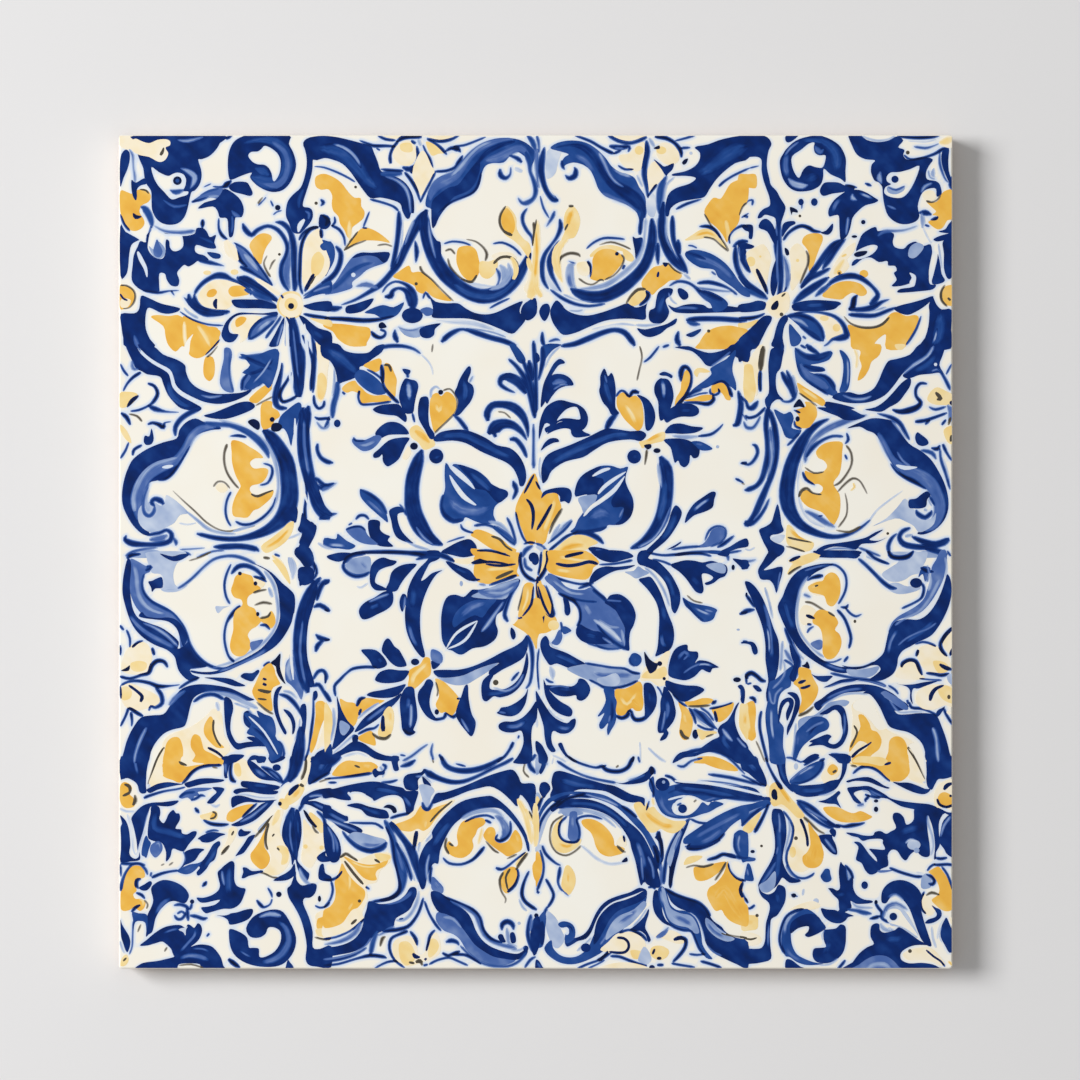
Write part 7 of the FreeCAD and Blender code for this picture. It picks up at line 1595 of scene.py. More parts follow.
# %% Bottom edge left of the middle: bracket and bud
painting.append("""
yf 38.4 34.8, 39 36, 40 37, 41.4 37.5, 43.4 37.2, 45.4 37.2, 46.6 36.4, 46 35.6, 44.6 35.2, 42.8 34.8,
40.6 34.6
ew 43.8 36.6 1, 45.4 36.4 1.2
os 42.4 36.6 .3, 43.4 36.2
ks 37 34.2 .3, 40 34.4 .4, 43 34.8 .5, 45.6 35.2
ns 36.8 35.4 .9, 38.2 36.8, 40 38.2
ks 37.7 33.5 .4, 39.2 33.5
ls 47 36.4 .8, 47.6 35.4 .6, 47.4 34.4 .5
nf 45.6 35.6, 46.2 36.1, 46.6 35.6, 47.4 35.6, 47.8 36, 47.8 35, 46.8 34.8, 46.2 34.4, 45.8 34.8
ns 47.4 36.8 .7, 48 36.4 .6, 47.8 35.6 .4
ks 47.2 33.6 .3, 48.8 33.6 .5, 50.2 34 .3
nf 49 38.2, 50.4 38.2, 50.2 37, 50.4 35.8, 49.6 35.6, 49.2 36.6
ns 50.6 36.4 .5, 52.2 36.8 .8, 53.4 37.6 .5
ls 51 37 .3, 52.4 37.6
ns 46.5 38 .4, 49 37.9 .6
nf 36.8 32.3, 38.6 32.4, 40.6 32.9, 43 33.4, 45.2 33.7, 47 33.6, 49 33, 51 32.6, 51.8 32, 53.8 32,
53.6 30.6, 53.2 29.4, 53 28.4, 52.6 27.8, 51.8 27.9, 51.6 28.6, 51.4 29.6, 51 30.6, 50 31.2, 48.6 31.2,
47.2 30.8, 46 30.2, 45.6 30.6, 44.6 31.2, 43.4 31.7, 42 31.6, 41.2 31.8, 41.8 30.4, 40 30.4, 38.4 30.8,
36.8 30.7
bw 46 32.4 1, 48.6 32, 50.6 31.4 .8
mw 51 31.2 .5, 52 30 .9, 52.6 28.8 .7
ws 41.2 31.7 .4, 42 31, 42.6 30.4 .3
ws 41.8 31.7 .3, 43.6 31.5 .4, 44.8 30.7, 45.4 30
nf 51.2 33.4, 51.3 34.4, 52 35, 53.2 35.2, 54.4 35.4, 54.9 36, 55.4 35.6, 54.4 34.6, 53.8 33.8,
53.8 32.2, 51.8 32.2
ns 55 35.8 .9, 55.8 35.1 1.2, 57.4 34.3 .9, 59.8 33.6 .8, 62 33.7 .7, 64.4 34.6 .6, 67 35.9, 69.4 37,
71 37.9
nf 56.4 29.7, 57 31.5, 58.8 31.8, 62.4 33, 66.1 34.6, 69.2 35.6, 70.9 35.8, 71.9 34.6, 72.5 33.4,
74.3 33.4, 75 32.6, 75 29, 74.6 27.6, 73.6 29.8, 72.2 31.3, 71.7 29.2, 70.4 30.4, 68.7 31.9, 66.8 32.8,
64.9 32.5, 62.7 31.9, 60.3 30.9, 58.1 30.2
ls 53.4 34.6 .4, 55 34.5, 56.2 33.4 .3
nf 54.6 34.6, 55.4 34, 56.2 33, 55.4 32.8, 54.8 33.4
ns 58 38.2 .9, 58.8 36.6, 60.4 35.8, 62.6 35.6 1, 65 36, 67.4 37 .8, 69 38.1 .5
ks 60.6 36.9 .3, 62.4 36.4 .4
os 56.4 38 .3, 56.6 37
ns 73.6 38 .6, 74 36.4 .8, 75 35.2
os 73.2 37.4 .3, 72.8 35.6, 73.8 34.4 .4
nf 41 29.4, 42.4 29.8, 43.6 29.7, 45 29.2, 46.8 28.8, 48.2 28.4, 48.6 27.2, 47.4 27, 46 27.2, 44.6 27.6,
43.6 28.6, 42.2 29
bw 43.4 29.2 .7, 45.4 28.4 .9, 47.2 27.8
kf 47.6 29, 48.2 29.5, 49 29.5, 49.8 29, 50 28.2, 49.4 28, 49 28.6, 48.4 28.9
ks 48.8 27.1 .5, 50.4 27.6, 52.4 28
cf 49 26.6, 52 27.6, 54 29.4, 54.6 28.8, 56.4 29, 58 29.9, 60.4 30.5, 59.8 29.4, 57.6 27.2, 55.6 24.2,
53.4 22, 51.6 24, 50 25.4
yf 49.8 26, 51.4 26.6, 53 27.4, 53.8 28.6, 54.4 29.4, 55 28.6, 56 28.6, 57.4 29.2, 59.6 29.8, 58.2 28.4,
57 27, 56 25.6, 54.8 24.8, 53.8 25.2, 52.6 24.7, 51.2 24.8, 50.2 25.2
ew 57.4 28.8 .7, 58.8 29.4 .5
ew 55 25.2 .7, 55.4 26.8 .6
os 56 26.4 .3, 57.6 28.2, 60 30.2
ks 53.6 24.8 .7, 53.3 23 .6, 53 21 .5
ls 54.2 22.8 .5, 53.8 21 .4
gf 54 33, 55 33.2, 56.2 32.8, 56.8 32, 56.2 31, 55.8 29.6, 55.4 28.8, 54.8 29, 54.6 30.4, 54.2 31.8
ns 54.6 30 .5, 54.9 29 .6, 55.6 28.7, 56.2 29.5 .5, 56.8 30.8 .4
nf 36.8 29.4, 38 29, 39.4 28.2, 40.6 27.6, 41.2 27.4, 41.2 26.6, 40.4 26.4, 42 26, 43.6 25.2, 43.8 24.6,
43 24.2, 42.2 24, 41 24.6, 39.6 25.4, 38.2 26.6, 36.8 27.4
mw 37.6 28.2 .7, 39.6 27 .8, 41.6 26 .6
ls 37.4 27 .4, 39.4 26.2 .5, 41.4 25.4 .4, 42.8 24.8 .3
nf 36.8 26.8, 37.4 26.2, 38.6 24.8, 39.6 23.2, 40 21.4, 39.8 20, 39.2 19.2, 38.2 19.2, 37.4 20.4, 37 22,
36.8 24
mw 38.2 24.8 .7, 39.2 22.6 .8, 39.3 20.6 .6
ls 37.6 25.6 .4, 38.5 23.6, 38.7 21
lf 41 23.6, 42.2 24.6, 44 24.4, 46 23.8, 47.6 23.4, 48.2 22.8, 47.6 22, 46.2 21.6, 44.6 21.6, 43 22.2,
41.8 22.8
mw 43.6 22.4 .8, 46 22.2, 47.6 22.6 .6
ns 40.2 24.8 .4, 41.4 23.2 .6, 43.2 21.8 .8, 45.4 21.2 .9, 47.4 21.8 1, 48.2 22.8 .7
ks 41.4 26.3 .3, 44 26.2 .4, 46.2 26.1, 47.6 25.2 .5
cf 39.8 20.2, 41 20.4, 43.4 19.8, 46 20.8, 48.8 20.8, 48.8 19.2, 47 17.6, 46.4 15.6, 44.6 15, 44.8 12.4,
43.8 10.2, 44 8.6, 41.6 7, 38.8 6, 36.8 5.8, 36.8 8, 40 12, 39 16, 40 18.4
yf 40.4 20.2, 41.6 19.8, 42.8 19.2, 44.4 18.8, 46 18.8, 47.8 19.4, 48.4 20, 48.4 19.2, 47.8 18.4,
46.6 17.8, 46.2 17, 46.4 16, 45.2 15.9, 44 16.4, 43 17.4, 42 18.6
ew 41.6 19.4 .5, 44 18.4 .4, 46.6 18.4
ef 46 20.6, 47 20.8, 48.8 20.4, 48.6 19.6, 47.2 19.3, 46.4 19.8
yf 40.2 19, 41 17.6, 41.8 16.4, 43 15.2, 44.2 14.2, 44.3 13, 43.8 12, 43 11, 42 10.6, 41.2 9.6,
40.4 8.4, 39.4 7.8, 38 7.4, 36.8 7.6, 36.8 10.4, 38 11.2, 38.8 12.4, 39 14, 38.8 15.6, 39.4 16.8,
39.8 18
ew 41.4 17.2 .5, 41.6 15.6 .6, 41.4 14 .3
ew 42.2 12 .5, 41.2 10.4 .6
os 39.8 20 .4, 40.8 20.7 .5, 41.8 20.2 .4, 43 19.4 .3
os 40.6 19.4 .4, 42.4 17, 44 15.2
ks 44.4 14.8 .5, 45.1 14.3 .4
os 46 19.7 .4, 47 19.1 .3
od 43.3 12.2 .3
ks 36.8 16.2 .5, 38.2 16, 39.4 16.6 .4, 40.2 17.6 .3
ks 36.9 11 .4, 38 12.4, 38.5 14.2, 38.2 15.8
ks 36.8 5.4 .3, 39 5.7 .35, 41.6 6.8, 43.6 8.4 .4, 44.4 9.2
os 41.8 8 .4, 42.8 8.9
bs 47.8 26.8 .8, 49 24.4 1, 49.6 22 1.4, 50.2 19.6 1.8, 51 17.4, 51 15.4 1.4, 50.4 13.8 1, 48.6 12.6 .6,
46.8 12.3 .4
mw 49.8 22.4 .5, 50.6 19.6 .8, 51.3 17.2 .7
ks 48 25.6 .4, 49.2 23, 49.6 20, 50.2 17, 50.6 15 .5, 50.2 13.6 .6, 48.6 12.6, 45.2 12 .5
ns 48.8 26.4 1, 50.2 24.6, 51.6 22.8 1.1, 52.8 20.8 1.6, 53.4 18.8 1.4, 53.8 17 .8, 54.2 15.4 .5
ns 49.8 22.8 .5, 51 20.6 .6, 52 18.4 .7, 52.5 16.6 .6, 52.6 15.8 .3
ls 50.5 22.7 .3, 51.6 20.6 .4, 52.6 17.8, 53.2 15.8 .3
nf 54.4 14.4, 53.9 16, 53.9 18.6, 54.2 20.4, 55.2 22.4, 56.4 23.6, 56.3 24.6, 57.6 26.6, 60 29,
62.4 30.4, 66.1 31.1, 67.5 30.9, 69.2 29.7, 70.9 28, 72.6 25.6, 73.6 23.4, 73.9 21.4, 73.5 21.3,
72.9 23.5, 71.4 26, 69.6 28, 68.3 28.9, 66.1 28.9, 63.7 28.3, 61.5 27, 60 25.6, 58.8 23.6, 57.8 21.2,
57.5 19, 56.8 19, 56.2 18.4, 55.6 17, 55.2 15, 54.9 14.4
bw 56.6 22 1.4, 58 24.4, 59.6 26.4 1
ls 55.9 20.6 .4, 55.4 18.6 .5, 55.5 16.4, 55.9 15.2 .3
ks 56.2 18.6 .6, 56 16.6 .5, 56.2 15.2 .4
ls 56.4 24.3 .4, 55.2 22.9
mf 56.4 16.6, 57.6 15.6, 58.4 14.6, 58.2 13.6, 57 13.8, 56.2 14.6
lw 56.8 15.8 .6, 57.6 14.6 .8
ls 61.6 27 .6, 63.6 28 .8, 66 28.5 .9, 68 28.2 .8, 69.2 27
yf 62 26.6, 63.4 27, 65.2 27.2, 66 26.6, 65.6 25.8, 64.6 25.2, 64.2 24.2, 63.6 23.2, 63.8 22, 63.2 20.8,
62 20, 60.8 20, 59.8 20.4, 59.2 21, 58.9 22, 59.4 23, 60.4 22, 61 22.4, 60.8 24, 61.2 25.6
es 65.4 25.4 .5, 65 23.6 .6, 64.6 22.4 .4
os 59 23.6 .4, 58.7 22, 59.4 20.6
os 59.4 22.6 .4, 60.2 22.1
ks 58.3 20 .3, 59.4 19 .45, 61.6 18.8, 63.6 19.6 .5, 65 21 .6, 65.8 22 .5
ks 62.2 26.4 .3, 64 27.3 .4, 66.2 27.6, 67.6 27
ks 65.9 26.8 .5, 67 26.2
ms 67.6 27.6 .5, 68.8 26.8 1, 69.6 25.4 1.4, 69.4 24, 68.6 23.4 .8
lw 69 26.4 .5, 69.4 24.8 .7
ks 70.4 26.6 .4, 70.5 24.8, 69.8 23.6 .5, 68.6 23 .6, 67.8 23.4 .5, 68.2 24.2 .3
yf 65.6 24.2, 66.4 25.4, 67.4 25.4, 67.8 24.4, 67.6 23.2, 68.6 22.6, 70 23, 70.8 24.4, 71.4 25, 72.2 24,
72.6 22.6, 72.4 21.4, 71.4 20.8, 70 20.2, 69 20.8, 67.8 21.6, 66.6 22.6, 65.8 23.4
ew 71.4 24.4 .8, 72 22.8 .7
ew 67 25 .6, 66.4 24.2
os 66 23 .3, 67.4 21.4 .4, 68.4 20.8 .3
os 69.8 19.8 .3, 71.6 20.6 .4
es 73.4 21 .6, 72.4 19.8 .8, 71.4 18.6
yf 71.6 18, 70.6 18.4, 69.2 17.6, 68.6 16.4, 68.7 15, 69.3 13.8, 70 13.6, 70.8 14.4, 71.6 15.6, 71.8 17
ew 69 16.6 .6, 69.1 15 .5
os 69.2 17.4 .4, 68.5 16, 68.8 14 .35, 69.6 12.6 .3, 69.4 11.8 .2
ks 71.6 18.2 .3, 71.9 16.8 .4, 71.2 15 .5, 69.9 13.8
os 70.4 18 .4, 69.6 16.4 .3, 70 14.2
ks 67.8 18.2 .6, 68.6 17.9 .5, 69.6 18.2 .4, 71.6 19.8 .35, 73.2 21 .3
os 71.4 17.8 .4, 72.6 19.6 .5, 73.6 20.8 .4
es 73.2 28.8 .5, 74 27.4 .6, 75 25.8
os 73.8 28.4 .3, 74.6 27 .4, 75.2 25.6
yf 74.4 18.6, 75.2 19.4, 75.2 15.8, 74.6 16.6
ks 73.8 17.6 .4, 72.9 15.6 .5, 72.5 13.6 .6, 73 12.2, 74.2 11.2, 75.2 10.6
ls 72 12.6 .4, 72.6 11.2 .5, 73.4 10.4 .4
ps 74.6 9 .8, 74.4 6.6, 74.8 4.6 .6
ns 74.2 9.8 .6, 73.7 8, 73.6 6 .7, 74.2 4, 75 2.6
ns 73 .2 .4, 74 1.6 .5, 75 2.2 .4
ls 69.8 7.4 .5, 70 6 .8, 70.2 4.6 .6, 71.6 4 .4
ns 68.9 6.9 .5, 69 8 .8, 69.9 8.5 .9, 70.8 8 .8, 71 7 .5
nf 68.2 5.6, 68.4 6.2, 69 6.2, 69.4 5.4, 69.6 4.8, 68.8 4.8
nf 70.4 6.4, 71 6.6, 71.4 5.8, 71.4 4.8, 70.7 4.6, 70.4 5.4
gd 72 8.2 .3
nf 45 12.2, 46.8 11.7, 48.6 11.8, 50.4 12.4, 51.6 13.4, 52.4 14.6, 53.4 14.6, 53.6 13.4, 53 12,
52.4 10.8, 51.4 10, 50 9.2, 49.6 8.4, 49.4 7.6, 48 7, 46.6 6.4, 45.6 5.6, 44.8 4.4, 43.6 3.6, 42 3,
40 2.6, 36.8 2.2, 36.8 3.8, 38.8 4, 41 4.6, 42.6 5.6, 43.6 7, 44 8.4, 44.2 9.6, 44.6 10.8
mw 47.6 11.6 .6, 50 12 .7, 51.8 13 1, 53 14.2 .8
ms 37 4.4 .4, 40 5 .7, 42.4 6.4 1, 43.6 8.4 .8
bs 46.6 6.8 .6, 45.8 5 .9, 45.4 3.2 .8, 45.2 2.4 .5
ms 49.6 7.6 .7, 48 6.7 .6, 46.6 6 .4
ns 36.8 1.4 .7, 39.6 1.8, 42.4 2.6 .6, 44.6 3.8 .4
ls 45.4 5.6 .3, 44.2 3.9 .4, 41.6 2.6, 38.6 1.9, 36.8 1.7 .3
ks 36.8 .6 .4, 39.6 .9, 42.6 1.8, 45.2 2.4 .6, 47.4 2.2, 48.2 1.9 .4
ls 49.8 8.8 .5, 51.2 8.8 .6, 52.6 10, 53.6 12, 54 14 .4
ks 50.4 8.9 .3, 51.2 9.1
ks 47.4 6.8 .5, 49.8 7 .7, 52 7.6 .6, 53.4 9.2 .5, 54.2 10.8, 54.8 12.8 .4
os 47 4 .4, 47.4 5.4 .6, 48 5.8 .5
ks 46 .1 .3, 48.2 1.2 .4, 50 1.4, 51.4 1.2 .3
cf 50 5.4, 52 6, 53.4 5, 53.8 3, 54.4 2.6, 55 3, 55.6 5, 57 6.6, 57.8 5, 57.8 3, 56.4 1.8, 54 1,
51.6 .4, 49.6 2, 49.2 4
ef 50.4 4.4, 51.6 5, 52.6 4.4, 53.2 3.2, 53.4 2, 52.6 1, 51.6 .6, 50.6 1.8
ef 56.2 5.4, 57.2 5.2, 57.6 4, 57 2.8, 56 2, 55.6 2.6, 55.8 4
ks 52 6.8 .8, 50.4 6.2 .5, 49 5.4, 48.7 3.6, 49.6 1.6 .4, 51.4 .2
ks 52.4 6.8 .5, 53.4 5.4 .6, 53.7 4.2 .4
ks 56.9 7 .4, 56 6 .5, 55.6 4.4 .4, 55.3 3.2 .3
ks 52.9 2.8 .6, 53.4 2.2, 54.2 2.1 .4
ks 55 1.6 .6, 55.4 1.9 .4
os 53.4 1.2 .6, 54.2 1.4, 54.6 .6 .5
ks 54.8 .6 .6, 55.6 .8 .5
os 52.2 1.2 .4, 53.2 1
mf 57.4 10.2, 59.4 9.9, 60.8 8.8, 62 7.2, 63.2 5.6, 64.8 4, 66.6 2.6, 69 1.9, 71.4 1.6, 70 .8, 68 .5,
66 1, 64 2, 62.4 3.6, 61.4 5.2, 60.2 6.2, 58.6 6.8, 57.6 7.8, 57 9
nf 56.2 13.9, 57.4 13.9, 58.6 13.2, 60 12.2, 61.4 11.2, 62.8 10, 63.6 8.6, 64.2 7, 65.2 5.4, 66.6 4.2,
68.4 3.4, 70.6 2.8, 72 2.8, 73.2 3.6, 73.6 3.2, 73 2.2, 71.4 1.6, 69.4 1.8, 67.4 2.2, 65.6 3.2, 64 4.4,
62.8 6, 61.6 7.6, 60.4 9, 59 9.8, 57.6 10.2, 56.8 11.2, 56.2 12.6
ls 58.4 9.3 .4, 60.2 9 .5, 61.6 7.4 .3
ms 59.6 12.3 .5, 62.4 11 .8, 64.2 9.8 .9, 64.9 8 .8, 65.8 6.2 .9, 67.6 4.8 .8, 70 4 .7, 71.6 3.6 .5
ks 58.4 13 .4, 61.2 11.9, 63.6 10.7 .5, 65 9.2, 65.6 7, 67 5.4, 69 4.7 .4
ks 55 12.2 .4, 55.8 10, 57 8 .5, 58 6.8 .4
nd 73.2 3.7 .5
ls 70.6 3.3 .4, 72.2 3.4, 73 4 .3
bs 61.4 4.2 .4, 63 2.6 .5, 65 1.2, 67.4 .5, 70 .5, 72 1.4, 73.4 3
ns 58.8 4.8 .6, 59.8 5.1 .8, 60.8 4.8 .6, 61.2 4.2 .4
ks 58.2 2.9 .6, 59.2 2.4 .5, 60.4 2.8 .6, 61.4 3.2 .5
ks 60 2.6 .6, 61.4 2.6 .5, 62.6 2.4, 64.4 1.4 .4, 65.2 .8 .3
ks 55.8 .8 .4, 57.4 1.6, 59.4 2, 61 1.4, 62.8 .6
""")

